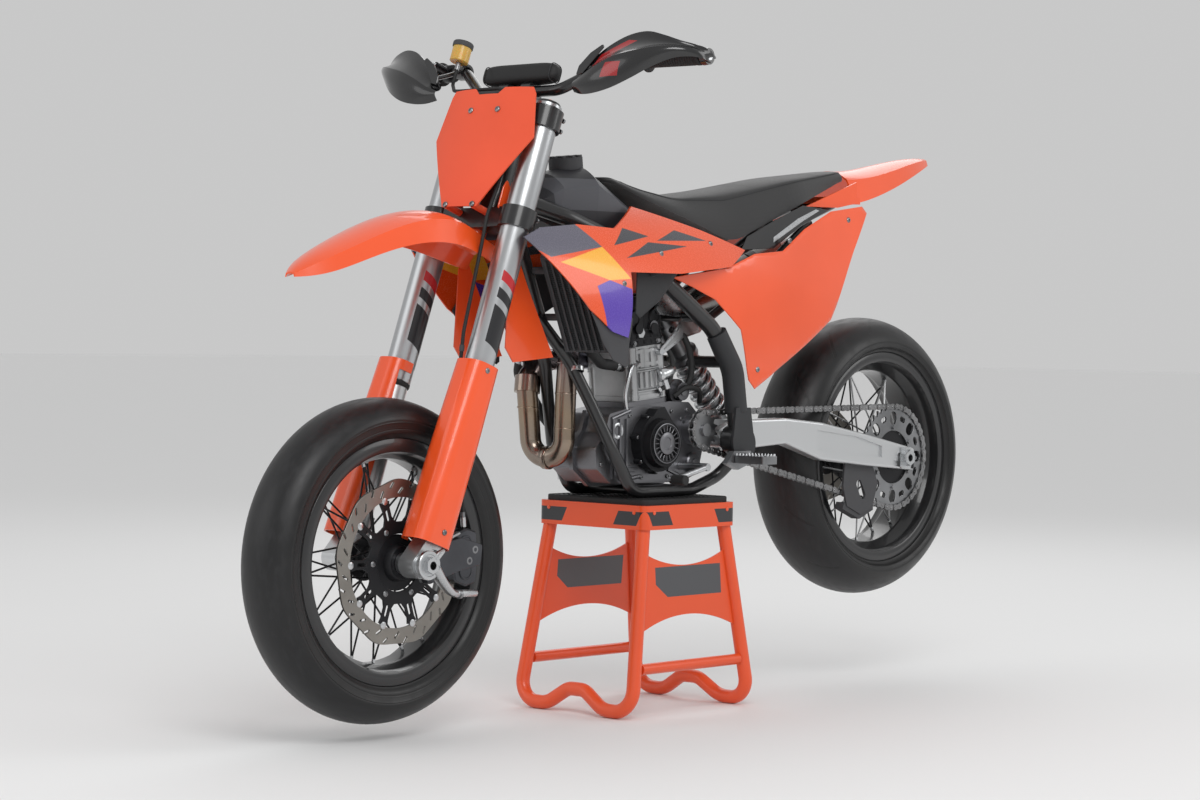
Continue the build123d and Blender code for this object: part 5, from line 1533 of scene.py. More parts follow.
@dataclass
class RearWheel(Wheel):
    """The rear wheel with its disc and sprocket.

    A tooth's outline has its angles as shares of the step between two teeth, and its heights from the pitch circle.
    """

    disc_y: float = -0.092
    disc_r: float = 0.110
    chain_y: float = 0.097
    teeth: int = 44
    pitch: float = 0.015875
    tooth: tuple[Flat, ...] = (
        (0.0, -0.0049), (0.12, -0.0044), (0.24, -0.0026), (0.36, 0.0016), (0.45, 0.0042), (0.55, 0.0042),
        (0.64, 0.0016), (0.76, -0.0026), (0.88, -0.0044),
    )

    def disc(self) -> None:
        """The small solid-mounted rotor."""
        slots = [slot_loop(0.1, 0.05, 0.013, 0.0044, 0.7), slot_loop(0.089, 0.24, 0.013, 0.0044, 0.7)]
        piece = self.rotor("rear_wave_disc", across=self.disc_y, outer_r=self.disc_r, inner_r=0.0465, lobes=8,
                           wave=0.0045, slots=slots, slot_step=14)
        piece.done(("rear_disc",), 35.0)

    def sprocket(self) -> None:
        """The toothed wheel with lightening holes."""
        radius = self.pitch / 2 / sin(pi / self.teeth)
        outline = []
        for number in range(self.teeth):
            for share, reach in self.tooth:
                angle = FULL_TURN * (number + share) / self.teeth
                outline.append(((radius + reach) * cos(angle), (radius + reach) * sin(angle)))
        loops = [outline, circle(0.0585, 72)]
        for wide, narrow in zip(around(8), around(8, 0.5)):
            loops.append(slot_loop(0.086, wide, 0.03, 0.024, 0.0))
            loops.append(slot_loop(0.0885, narrow, 0.02, 0.012, pi / 2))
        piece = Piece("rear_sprocket_ring", self.body, "steel")
        piece.cut_sheet(wheel_axes(self.axle + Vector((0, self.chain_y, 0))), loops, 0.005, Finish.STEEL, 0.0005)
        piece.done(("rear_sprocket",), 35.0)

    def bolts(self, fasteners: Fasteners) -> None:
        """The sprocket's and the disc's bolts.

        Args:
            fasteners: What sets them.
        """
        spots = [
            Spot(self.axle + Vector((0.0655 * cos(a), self.chain_y + 0.0025, 0.0655 * sin(a))), LEFT, AHEAD)
            for a in around(6, 0.5)
        ]
        fasteners.lay("rear_sprocket_bolts", Fastener.HEX_BOLT, 0.0052, spots, Finish.STEEL, self.body)
        spots = [Spot(self.axle + Vector((x, self.disc_y - 0.0022, z)), LEFT * -1, AHEAD) for x, z in circle(0.056, 4)]
        fasteners.lay("rear_disc_screws", Fastener.DOME_SCREW, 0.0056, spots, Finish.STEEL, self.body)


def front_wheel() -> FrontWheel:
    """The front wheel's sizes."""
    return FrontWheel(
        name="front", body="front_wheel", axle=FRONT_AXLE, compound=Finish.FRONT_TYRE,
        spoke_finishes=(Finish.SPOKE_BLACK, Finish.SPOKE_BLACK), tyre_r=0.3035, tyre_half=0.0625,
        rim_half=0.046, bead_r=0.2095, flange_r=0.229,
        hub_profile=[
            (-0.062, 0.0131), (-0.062, 0.0225), (-0.0605, 0.024), (-0.04, 0.0255), (-0.0375, 0.028), (-0.0362, 0.0385),
            (-0.0355, 0.04), (-0.0315, 0.04), (-0.0308, 0.0385), (-0.0295, 0.026), (-0.026, 0.0225), (0.0, 0.0215),
            (0.026, 0.0225), (0.0295, 0.026), (0.0308, 0.0385), (0.0315, 0.04), (0.0355, 0.04), (0.0368, 0.0375),
            (0.04, 0.0335), (0.0485, 0.0335), (0.0502, 0.036), (0.0502, 0.0505), (0.0512, 0.0522), (0.0557, 0.0522),
            (0.0557, 0.0355), (0.0592, 0.0345), (0.0685, 0.0315), (0.07, 0.030), (0.07, 0.0131),
        ],
        flange_y=0.0335, flange_hole_r=0.037, rim_y=0.012, cross=50,
    )


def rear_wheel() -> RearWheel:
    """The rear wheel's sizes."""
    return RearWheel(
        name="rear", body="rear_wheel", axle=REAR_AXLE, compound=Finish.REAR_TYRE,
        spoke_finishes=(Finish.SPOKE_BRIGHT, Finish.SPOKE_BLACK), tyre_r=0.3065, tyre_half=0.0825,
        rim_half=0.065, bead_r=0.216, flange_r=0.231,
        hub_profile=[
            (-0.098, 0.0131), (-0.098, 0.0255), (-0.0965, 0.027), (-0.0898, 0.0295), (-0.0897, 0.0455),
            (-0.0885, 0.0462), (-0.0848, 0.0462), (-0.084, 0.045), (-0.084, 0.0355), (-0.0825, 0.034), (-0.0455, 0.034),
            (-0.0425, 0.037), (-0.0412, 0.0505), (-0.040, 0.052), (-0.0368, 0.052), (-0.0355, 0.0505), (-0.0335, 0.034),
            (-0.030, 0.0305), (0.0, 0.0295), (0.030, 0.0305), (0.0335, 0.034), (0.0355, 0.0505), (0.0368, 0.052),
            (0.040, 0.052), (0.0415, 0.0505), (0.0435, 0.041), (0.046, 0.0395), (0.0855, 0.0395), (0.0868, 0.0415),
            (0.0868, 0.0565), (0.088, 0.058), (0.0945, 0.058), (0.0945, 0.0285), (0.1005, 0.0255), (0.102, 0.024),
            (0.102, 0.0131),
        ],
        flange_y=0.0385, flange_hole_r=0.048, rim_y=0.014, cross=50,
    )


@dataclass
class Chain:
    """The roller chain on its two sprockets, with sizes in metres."""

    pitch: float = 0.015875
    plate_r: float = 0.0066
    waist: float = 0.0049
    roller: tuple[Flat, ...] = ((-0.0032, 0.0), (-0.0032, 0.005), (0.0032, 0.005), (0.0032, 0.0))
    pin: tuple[Flat, ...] = (
        (-0.0082, 0.0), (-0.0082, 0.0021), (-0.0076, 0.0026), (0.0076, 0.0026), (0.0082, 0.0021), (0.0082, 0.0),
    )
    across: float = 0.097
    rear_teeth: int = 44
    front_teeth: int = 14
    front_axle: Vector = field(default_factory=lambda: Vector((-0.092, 0.097, 0.566)))

    def route(self) -> list[Vector]:
        """Work out the loop of the pins' middles.

        Returns:
            The loop as a fine polyline.
        """
        rear = REAR_AXLE + Vector((0, self.across, 0))
        front = self.front_axle
        radii = (self.pitch / 2 / sin(pi / self.rear_teeth), self.pitch / 2 / sin(pi / self.front_teeth))
        run = rear - front
        centres = hypot(run.x, run.z)
        bearing = atan2(run.z, run.x)
        half = acos(-(radii[0] - radii[1]) / centres)
        points = []
        for step in range(97):
            angle = bearing - half + 2 * half * step / 96
            points.append(rear + Vector((cos(angle), 0, sin(angle))) * radii[0])
        for step in range(33):
            angle = bearing + half + 2 * (pi - half) * step / 32
            points.append(front + Vector((cos(angle), 0, sin(angle))) * radii[1])
        return points

    def link(self, name: str, plate_at: float, thick: float, roller: bool) -> bpy.types.Mesh:
        """One link: two waisted side plates, and its rollers or its pins.

        Args:
            name: The mesh's name.
            plate_at: How far from the middle a side plate stands.
            thick: A side plate's thickness.
            roller: True for rollers, False for pins.

        Returns:
            The mesh, with the link's middle at its origin.
        """
        piece = Piece(name)
        reach = self.pitch / 2
        outline = []
        for sign in (1, -1):
            for step in range(9):
                turn = -sign * pi / 2 + pi * step / 8
                outline.append((sign * reach + self.plate_r * cos(turn), self.plate_r * sin(turn)))
            outline.append((0.0, sign * self.waist))
        for sign in (1, -1):
            axes = left_axes(Vector((0, sign * plate_at - thick / 2, 0)))
            piece.plate(axes, outline, thick, Finish.CHAIN_STEEL, 0.0003)
        for end in (-reach, reach):
            axes = left_axes(Vector((end, 0, 0)))
            if roller:
                piece.turn(axes, self.roller, Finish.CHAIN_STEEL, 10)
            else:
                piece.turn(axes, self.pin, Finish.CHAIN_STEEL, 8)
        data = bpy.data.meshes.new(name)
        bmesh.ops.recalc_face_normals(piece.mesh, faces=piece.mesh.faces)
        piece.mesh.to_mesh(data)
        piece.mesh.free()
        return data

    def build(self) -> None:
        """Set inner and outer links in turn along the loop."""
        points = self.route()
        length = sum((b - a).length for a, b in zip(points, points[1:] + points[:1]))
        count = 2 * round(length / self.pitch / 2)
        curve = bpy.data.curves.new("chain_path", "CURVE")
        curve.dimensions = "3D"
        spline = curve.splines.new("POLY")
        spline.points.add(len(points) - 1)
        for point, middle in zip(spline.points, points):
            point.co = (*middle, 1.0)
        spline.use_cyclic_u = True
        carrier = bpy.data.objects.new("chain_path", curve)
        inner = bpy.data.objects.new("inner_link", self.link("inner_link", 0.0042, 0.0016, True))
        outer = bpy.data.objects.new("outer_link", self.link("outer_link", 0.0062, 0.0016, False))
        values = {"First": inner, "Second": outer, "Count": count, "Material": Finish.CHAIN_STEEL.made()}
        piece = PathPattern().bake("chain_links", carrier, values)
        settle(piece, "root", ("chain",), 35.0)


# Steering: fork, clamps, handlebar and what they carry
BAR_HALF = 0.405


def bar_at(b: float) -> Vector:
    """Find the handlebar's middle on its outer stretch.

    Args:
        b: The distance to the left of the centre.

    Returns:
        The place.
    """
    share = (abs(b) - 0.2) / (BAR_HALF - 0.2)
    return STEER.at(-0.022 - 0.025 * share, b, 0.342 + 0.01 * share)


def bar_axes(b: float) -> Axes:
    """Axes on the handlebar.

    Args:
        b: The distance to the left of the centre.

    Returns:
        The axes, with z outward along the handlebar, x ahead and y up or down.
    """
    sign = 1 if b > 0 else -1
    way = (bar_at(sign * 0.4) - bar_at(sign * 0.3)).normalized()
    front = (STEER.x - way * STEER.x.dot(way)).normalized()
    return Axes(bar_at(b), front, way.cross(front), way)


@dataclass
class Fork:
    """The fork's tubes and what is bolted to its legs, with sizes in metres."""

    half: float = 0.105
    ahead: float = 0.026
    tube_r: float = 0.0285
    leg_r: float = 0.024
    low: float = -0.330
    axle: float = -0.688

    def tubes(self) -> None:
        """The outer tubes: stepped and chamfered, with turned caps and adjusters."""
        piece = Piece("fork_tube_skins", "steering", "cast_alloy")
        for sign in (1, -1):
            axes = STEER.moved(self.ahead, sign * self.half)
            r = self.tube_r
            piece.turn(axes, [
                (self.low, 0.0), (self.low, r - 0.0025), (self.low + 0.002, r - 0.001), (self.low + 0.03, r - 0.0008),
                (self.low + 0.032, r), (0.182, r), (0.1825, r - 0.0008), (0.2275, r - 0.0008), (0.2285, r),
                (0.234, r - 0.0005), (0.2342, 0.0),
            ], Finish.FORK_TUBE, 56)
            piece.turn(axes, [
                (0.2342, 0.0), (0.2342, 0.0255), (0.2375, 0.0252), (0.24, 0.0235), (0.24, 0.0),
            ], Finish.BLACK_PAINT, 40)
            piece.turn(axes, [
                (0.24, 0.0), (0.24, 0.0126), (0.2435, 0.0126), (0.2445, 0.0118), (0.2445, 0.006), (0.2425, 0.0055),
                (0.2425, 0.0),
            ], Finish.ORANGE, 6)
        piece.done(("fork_outer_tubes",), 38.0)

    def seals(self) -> None:
        """Dust seals where the legs enter the tubes."""
        piece = Piece("fork_dust_seals", "steering", "rubber")
        for sign in (1, -1):
            axes = STEER.moved(self.ahead, sign * self.half)
            piece.turn(axes, [(self.low - 0.009, self.leg_r + 0.0003), (self.low - 0.009, self.leg_r + 0.002),
                              (self.low - 0.006, self.leg_r + 0.0034), (self.low - 0.0006, self.leg_r + 0.0034),
                              (self.low - 0.0006, self.leg_r + 0.0003)], Finish.RUBBER, 48, loop=True)
        piece.done((), 40.0)

    def bolts(self, fasteners: Fasteners) -> None:
        """Pinch bolts on the clamps and the feet, and the screws of the leg guards.

        Args:
            fasteners: What sets them.
        """
        spots = []
        for sign in (1, -1):
            for c in (-0.011, 0.011, 0.194, 0.216):
                spots.append(Spot(STEER.at(-0.0062, sign * 0.1225, c), STEER.x * -1, STEER.y))
            for c in (0.048, 0.07):
                spots.append(Spot(STEER.at(0.032, sign * (self.half + 0.019), self.axle + c), STEER.y * sign, STEER.z))
        fasteners.lay("fork_pinch_bolts", Fastener.CAP_SCREW, 0.0048, spots, Finish.STEEL, "steering")
        spots = []
        for c in (-0.305, -0.62):
            for sign in (1, -1):
                spots.append(Spot(STEER.at(0.034, sign * 0.1402, c), STEER.y * sign, STEER.z))
        fasteners.lay("fork_guard_screws", Fastener.DOME_SCREW, 0.0055, spots, Finish.STEEL, "steering")

    def hose_wings(self) -> None:
        """Small orange wings that stand on the lower clamp behind the number plate and guide the hose."""
        piece = Piece("lower_clamp_wings", "steering", "orange_gloss")
        wing = rounded([(0.002, 0.016, 0.004), (0.050, 0.016, 0.006), (0.050, 0.058, 0.008), (0.044, 0.078, 0.005),
                        (0.018, 0.050, 0.006)])
        for sign in (1, -1):
            base = Axes(STEER.at(0, sign * 0.066, 0), STEER.x * -sign, STEER.z, LEFT * sign)
            piece.plate(base, [(-sign * a, c) for a, c in wing][::-sign], 0.004, Finish.ORANGE, 0.0012)
        piece.done((), 40.0)


@dataclass
class Cockpit:
    """Grips, levers, reservoir, bar pad and hand guards, with sizes in metres.

    Each station across a hand guard has its place along the bar, then the height and the reach ahead of its lower
    edge, its ridge and its upper edge, in the steering axes.
    """

    bar_r: float = 0.011
    guard_stations: tuple[tuple[float, ...], ...] = (
        (0.186, 0.250, 0.046, 0.268, 0.056, 0.284, 0.050), (0.212, 0.243, 0.050, 0.276, 0.063, 0.306, 0.052),
        (0.245, 0.243, 0.053, 0.292, 0.069, 0.336, 0.050), (0.285, 0.252, 0.053, 0.308, 0.070, 0.361, 0.044),
        (0.325, 0.272, 0.048, 0.320, 0.063, 0.371, 0.037), (0.360, 0.298, 0.037, 0.331, 0.050, 0.366, 0.028),
        (0.390, 0.320, 0.020, 0.340, 0.031, 0.360, 0.012), (0.411, 0.331, 0.000, 0.346, 0.007, 0.359, -0.006),
        (0.4205, 0.337, -0.022, 0.349, -0.018, 0.360, -0.024), (0.4205, 0.340, -0.044, 0.351, -0.043, 0.361, -0.045),
        (0.4150, 0.342, -0.060, 0.352, -0.060, 0.362, -0.060),
    )
    guard_fin: tuple[Flat, ...] = (
        (0.188, 0.280), (0.204, 0.284), (0.244, 0.336), (0.238, 0.342), (0.212, 0.326), (0.190, 0.300),
    )

    def grips(self) -> None:
        """Soft grips: flanges, ribs in a band and a bulb at the end."""
        piece = Piece("soft_grips", "steering", "rubber")
        for sign in (1, -1):
            base = bar_axes(sign * 0.282)
            length = BAR_HALF - 0.005 - 0.282
            profile: list[Flat] = [
                (-0.006, self.bar_r + 0.0004), (-0.006, 0.0225), (-0.0045, 0.0238), (-0.0012, 0.0238), (0.0004, 0.022),
                (0.0018, 0.0172), (0.004, 0.0156),
            ]
            ribs = 17
            for rib in range(ribs):
                start = 0.01 + (length - 0.024) * rib / ribs
                pitch = (length - 0.024) / ribs
                profile += [
                    (start, 0.0147), (start + pitch * 0.2, 0.0158), (start + pitch * 0.62, 0.0158),
                    (start + pitch * 0.82, 0.0147),
                ]
            profile += [
                (length - 0.012, 0.0152), (length - 0.008, 0.016), (length - 0.002, 0.016), (length - 0.0004, 0.0148),
                (length - 0.0004, self.bar_r + 0.0004),
            ]
            piece.turn(base, profile, Finish.RUBBER, 36, loop=True)
        piece.done(("grips",), 50.0)

    def pad_ring(self, count: int) -> list[Flat]:
        """A rounded square, as the bar pad's cross section.

        Args:
            count: The points around it.

        Returns:
            The outline, from -1 to 1 both ways.
        """
        corner = 0.62
        return [
            (abs(cos(angle)) ** corner * (1 if cos(angle) > 0 else -1),
             abs(sin(angle)) ** corner * (1 if sin(angle) > 0 else -1))
            for angle in around(count)
        ]

    def pad(self) -> None:
        """The foam bar pad in its sewn sleeve, swelled a little between its ends."""
        piece = Piece("soft_bar_pad", "steering", "rubber")
        axes = Axes(STEER.at(0.014, 0, 0.275 + 0.034), STEER.y, STEER.z, STEER.x)
        rings = []
        half_long, half_high, half_deep = 0.098, 0.020, 0.018
        for step in range(25):
            share = -1 + 2 * step / 24
            squeeze = (1 - abs(share) ** 7) ** 0.5 if abs(share) < 1 else 0.0
            scale = 0.35 + 0.65 * squeeze
            along_bar = share * half_long * (0.999 if abs(share) < 1 else 1)
            ring = []
            for angle, (u, v) in zip(around(28), self.pad_ring(28)):
                pucker = 1 - 0.012 * cos(angle * 7) * (abs(share) > 0.9)
                ring.append(axes.at(along_bar, v * half_high * scale * pucker, u * half_deep * scale * pucker))
            rings.append(ring)
        piece.loft(rings, Finish.RUBBER)
        cushion = piece.done(("bar_pad",), 60.0)
        seam = Piece("bar_pad_piping", "steering", "rubber")
        for share in (-0.9, 0.9):
            ring = [
                axes.at(share * half_long, v * half_high * 0.905, u * half_deep * 0.905) for u, v in self.pad_ring(40)
            ]
            seam.tube(ring, 0.0011, Finish.GRIP_PLASTIC, 6, closed=True)
        seam.done((), 60.0)

    def levers(self) -> None:
        """Forged levers with ball ends, on perches with clamps."""
        piece = Piece("forged_levers", "steering", "bright_alloy")
        for sign in (1, -1):
            axes = bar_axes(sign * 0.253)
            piece.turn(axes, [
                (-0.013, self.bar_r + 0.0004), (-0.013, 0.0168), (-0.0115, 0.018), (0.0115, 0.018), (0.013, 0.0168),
                (0.013, self.bar_r + 0.0004),
            ], Finish.DARK_COVER, 32, loop=True)
            start = bar_at(sign * 0.252)
            front = STEER.x
            piece.tube([start + front * 0.014, start + front * 0.03, start + front * 0.0445],
                       [0.0095, 0.0088, 0.0082], Finish.DARK_COVER, 16, 0.8)
            path = curved([
                start + front * 0.042, bar_at(sign * 0.262) + front * 0.0485, bar_at(sign * 0.29) + front * 0.0505,
                bar_at(sign * 0.325) + front * 0.0495, bar_at(sign * 0.352) + front * 0.0535,
                bar_at(sign * 0.3685) + front * 0.0575,
            ], 6)
            radii = [0.0072 - 0.0024 * min(1.0, n / 8) for n in range(len(path) - 5)]
            radii += [0.0048, 0.0052, 0.0056, 0.0058, 0.0055]
            piece.tube(path, radii, Finish.BRIGHT, 12, 0.72)
        piece.done(("levers",), 45.0)

    def reservoir(self) -> None:
        """The amber fluid cup with its black cap and hose spigot."""
        base = bar_at(-0.19) + STEER.x * 0.034 + STEER.z * 0.006
        axes = Axes(base, STEER.x, STEER.y, STEER.z)
        piece = Piece("reservoir_cup", "steering", "amber")
        piece.turn(axes, [(0.0, 0.0), (0.0, 0.0175), (0.0015, 0.019), (0.031, 0.019), (0.031, 0.0)], Finish.AMBER, 40)
        profile: list[Flat] = [
            (0.031, 0.0), (0.031, 0.0205), (0.033, 0.021), (0.040, 0.021), (0.042, 0.0195), (0.042, 0.0),
        ]
        piece.turn(axes, profile, Finish.BLACK_PLASTIC, 40)
        for angle in around(20):
            rib = axes.moved(0.0206 * cos(angle), 0.0206 * sin(angle), 0.0365).turned(angle)
            piece.block(rib, (0.0008, 0.0022, 0.007), Finish.BLACK_PLASTIC, 0.0003)
        spigot = [base + STEER.x * -0.010 + STEER.z * 0.008, bar_at(-0.19) + STEER.x * 0.0115 + STEER.z * 0.008]
        piece.tube(spigot, 0.006, Finish.BLACK_PAINT, 16)
        piece.done(("brake_reservoir",), 40.0)

    def bar_clamps(self, fasteners: Fasteners) -> None:
        """The four bolts of the handlebar clamps.

        Args:
            fasteners: What sets them.
        """
        spots = []
        for b in (-0.03, 0.03):
            for a in (-0.0065, 0.0225):
                spots.append(Spot(STEER.at(a, b, 0.2925), STEER.z, STEER.x))
        fasteners.lay("bar_clamp_bolts", Fastener.CAP_SCREW, 0.0036, spots, Finish.STEEL, "steering")

    def hand_guards(self) -> None:
        """The hand guards: a ridged blade that wraps round to the bar's end, with an upper fin and a red inner side."""
        piece = Piece("hand_guard_blades", "steering", "black_plastic")
        for sign in (1, -1):
            lines = [
                curved([Vector((s[0], s[2 * row + 1], s[2 * row + 2])) for s in self.guard_stations], 5)
                for row in range(3)
            ]
            grid = []
            for low, ridge, high in zip(*lines):
                row = []
                for step in range(7):
                    share = step / 6
                    point = low.lerp(ridge, share)
                    row.append(point + Vector((0, 0, 0.006 * sin(pi * share))))
                for step in range(1, 9):
                    share = step / 8
                    point = ridge.lerp(high, share)
                    row.append(point - Vector((0, 0, 0.007 * sin(pi * share))))
                grid.append([STEER.at(a, sign * b, c) for b, c, a in row])
            if sign > 0:
                grid.reverse()
            piece.shell(grid, 0.0026, Finish.HAND_GUARD, Finish.RED_PLASTIC)
            end = bar_at(sign * (BAR_HALF - 0.001))
            cap = end + STEER.y * sign * 0.0125
            piece.tube([end, cap], [0.0165, 0.0155], Finish.GLOSS_BLACK, 28)
            piece.tube([cap, end + STEER.y * sign * 0.0145], [0.0085, 0.0075], Finish.BRIGHT, 20)
            fin = rounded([(sign * b, c, 0.004) for b, c in self.guard_fin], 3)
            piece.plate(Axes(STEER.at(0.0535, 0, 0), STEER.y, STEER.z, STEER.x), fin, 0.0026, Finish.HAND_GUARD, 0.0009)
            arm = curved([bar_at(sign * 0.205) + STEER.x * 0.012, STEER.at(0.012, sign * 0.204, 0.322),
                          STEER.at(0.050, sign * 0.214, 0.296)], 5)
            piece.tube(arm, 0.0075, Finish.GLOSS_BLACK, 14, 0.6)
            piece.turn(bar_axes(sign * 0.205), [(-0.009, self.bar_r + 0.0004), (-0.009, 0.0165), (0.009, 0.0165),
                                                (0.009, self.bar_r + 0.0004)], Finish.GLOSS_BLACK, 28, loop=True)
        piece.done(("hand_guards",), 34.0)


@dataclass
class BrakeLine:
    """The ends and the guides of the front brake's hose, with its route in metres in the steering axes."""

    route: tuple[Point, ...] = (
        (0.013, -0.190, 0.347), (0.013, -0.190, 0.300), (0.066, -0.120, 0.258), (0.066, 0.020, 0.258),
        (0.060, 0.062, 0.190), (0.058, 0.062, 0.059), (0.073, 0.071, -0.008), (0.074, 0.079, -0.079),
        (0.066, 0.084, -0.240), (0.052, 0.083, -0.300), (0.050, 0.082, -0.335), (0.038, 0.0735, -0.372),
        (-0.055, 0.0735, -0.540), (-0.074, 0.0735, -0.581),
    )

    def fittings(self) -> None:
        """The crimped ends and the hose guides."""
        piece = Piece("brake_hose_fittings", "steering", "bright_alloy")
        end = STEER.at(*self.route[-1])
        before = STEER.at(*self.route[-2])
        way = (before - end).normalized()
        piece.tube([end + way * 0.002, end + way * 0.02], 0.0052, Finish.BRIGHT, 12)
        piece.tube([end + way * 0.02, end + way * 0.03], 0.0044, Finish.STEEL, 12)
        start = STEER.at(*self.route[0])
        after = STEER.at(*self.route[1])
        way = (after - start).normalized()
        piece.tube([start, start + way * 0.016], 0.0052, Finish.STEEL, 12)
        for low, high in ((4, 5), (8, 9)):
            middle = STEER.at(*self.route[low]).lerp(STEER.at(*self.route[high]), 0.5)
            way = (STEER.at(*self.route[high]) - STEER.at(*self.route[low])).normalized()
            piece.tube([middle - way * 0.006, middle + way * 0.006], 0.0048, Finish.BLACK_PLASTIC, 12)
        piece.done((), 40.0)


# Bodywork
@dataclass
class Saddle:
    """The long saddle: foam under a gripping cover with sewn ribs, with sizes in metres."""

    sections: tuple[tuple[float, float, float, float, float], ...] = (
        (0.150, 0.030, 1.078, 0.046, 1.066), (0.090, 0.062, 1.054, 0.084, 1.030), (-0.020, 0.072, 1.040, 0.100, 0.996),
        (-0.170, 0.078, 1.060, 0.104, 0.950), (-0.396, 0.076, 1.098, 0.096, 1.036),
        (-0.600, 0.046, 1.122, 0.056, 1.102),
    )
    rib_from: float = 0.02
    rib_to: float = -0.50
    rib_pitch: float = 0.0175
    shoulder: float = 0.8

    def section(self, x: float) -> tuple[float, float, float, float]:
        """The cross section at a place along the saddle.

        Args:
            x: The place.

        Returns:
            Half the width and the height of its upper face, then of its lower edge.
        """
        rows = self.sections
        for first, last in zip(rows, rows[1:]):
            if x >= last[0]:
                share = (first[0] - x) / (first[0] - last[0])
                return tuple(a + (b - a) * share for a, b in zip(first[1:], last[1:]))
        return rows[-1][1:]

    def cover(self) -> None:
        """The cover, crowned and pulled in at its lower edge, with ribs across the top."""
        piece = Piece("saddle_cover_skin", "root", "cover")
        rings = []
        count = 260
        first, last = self.sections[0][0], self.sections[-1][0]
        for step in range(count + 1):
            x = first + (last - first) * step / count
            smooth = [0.0, 0.0, 0.0, 0.0]
            for offset in (-0.03, -0.015, 0.0, 0.015, 0.03):
                for index, value in enumerate(self.section(min(first, max(last, x + offset)))):
                    smooth[index] += value / 5
            high_half, z_high, low_half, z_low = smooth
            shoulder = z_low + (z_high - z_low) * self.shoulder
            end = min(step, count - step)
            shrink = 1 - 0.3 * max(0.0, 1 - end / 5) ** 2
            rib = 0.0
            if self.rib_to < x < self.rib_from:
                wave = sin(FULL_TURN * x / self.rib_pitch)
                rib = 0.0011 * (1 - abs(wave) ** 0.5)
            flank = []
            for n in range(15):
                share = n / 14
                out = low_half + (high_half - low_half) * share - 0.004 * (1 - share) ** 3 + 0.0035 * sin(pi * share)
                flank.append((out, z_low + (shoulder - z_low) * share))
            ring = list(flank)
            for n in range(1, 24):
                angle = pi * n / 24
                ring.append((high_half * cos(angle), shoulder + (z_high - shoulder) * sin(angle) ** 0.8
                             - rib * min(1.0, sin(angle) * 2.2)))
            ring += [(-y, z) for y, z in reversed(flank)]
            rings.append([Vector((x, y * shrink, z_low + (z - z_low) * shrink + 0.0004)) for y, z in ring])
        piece.loft(rings, Finish.COVER)
        cushion = piece.done(("saddle",), 60.0)

    def seams(self) -> None:
        """Sewn seams along both shoulders."""
        piece = Piece("saddle_seams", "root", "cover")
        for sign in (1, -1):
            path = []
            for step in range(60):
                x = 0.12 - 0.69 * step / 59
                high_half, z_high, _, z_low = self.section(x)
                shoulder = z_low + (z_high - z_low) * self.shoulder
                path.append(Vector((x, sign * (high_half + 0.0004), shoulder + 0.0006)))
            piece.tube(path, 0.0009, Finish.GRIP_PLASTIC, 6)
        piece.done((), 60.0)


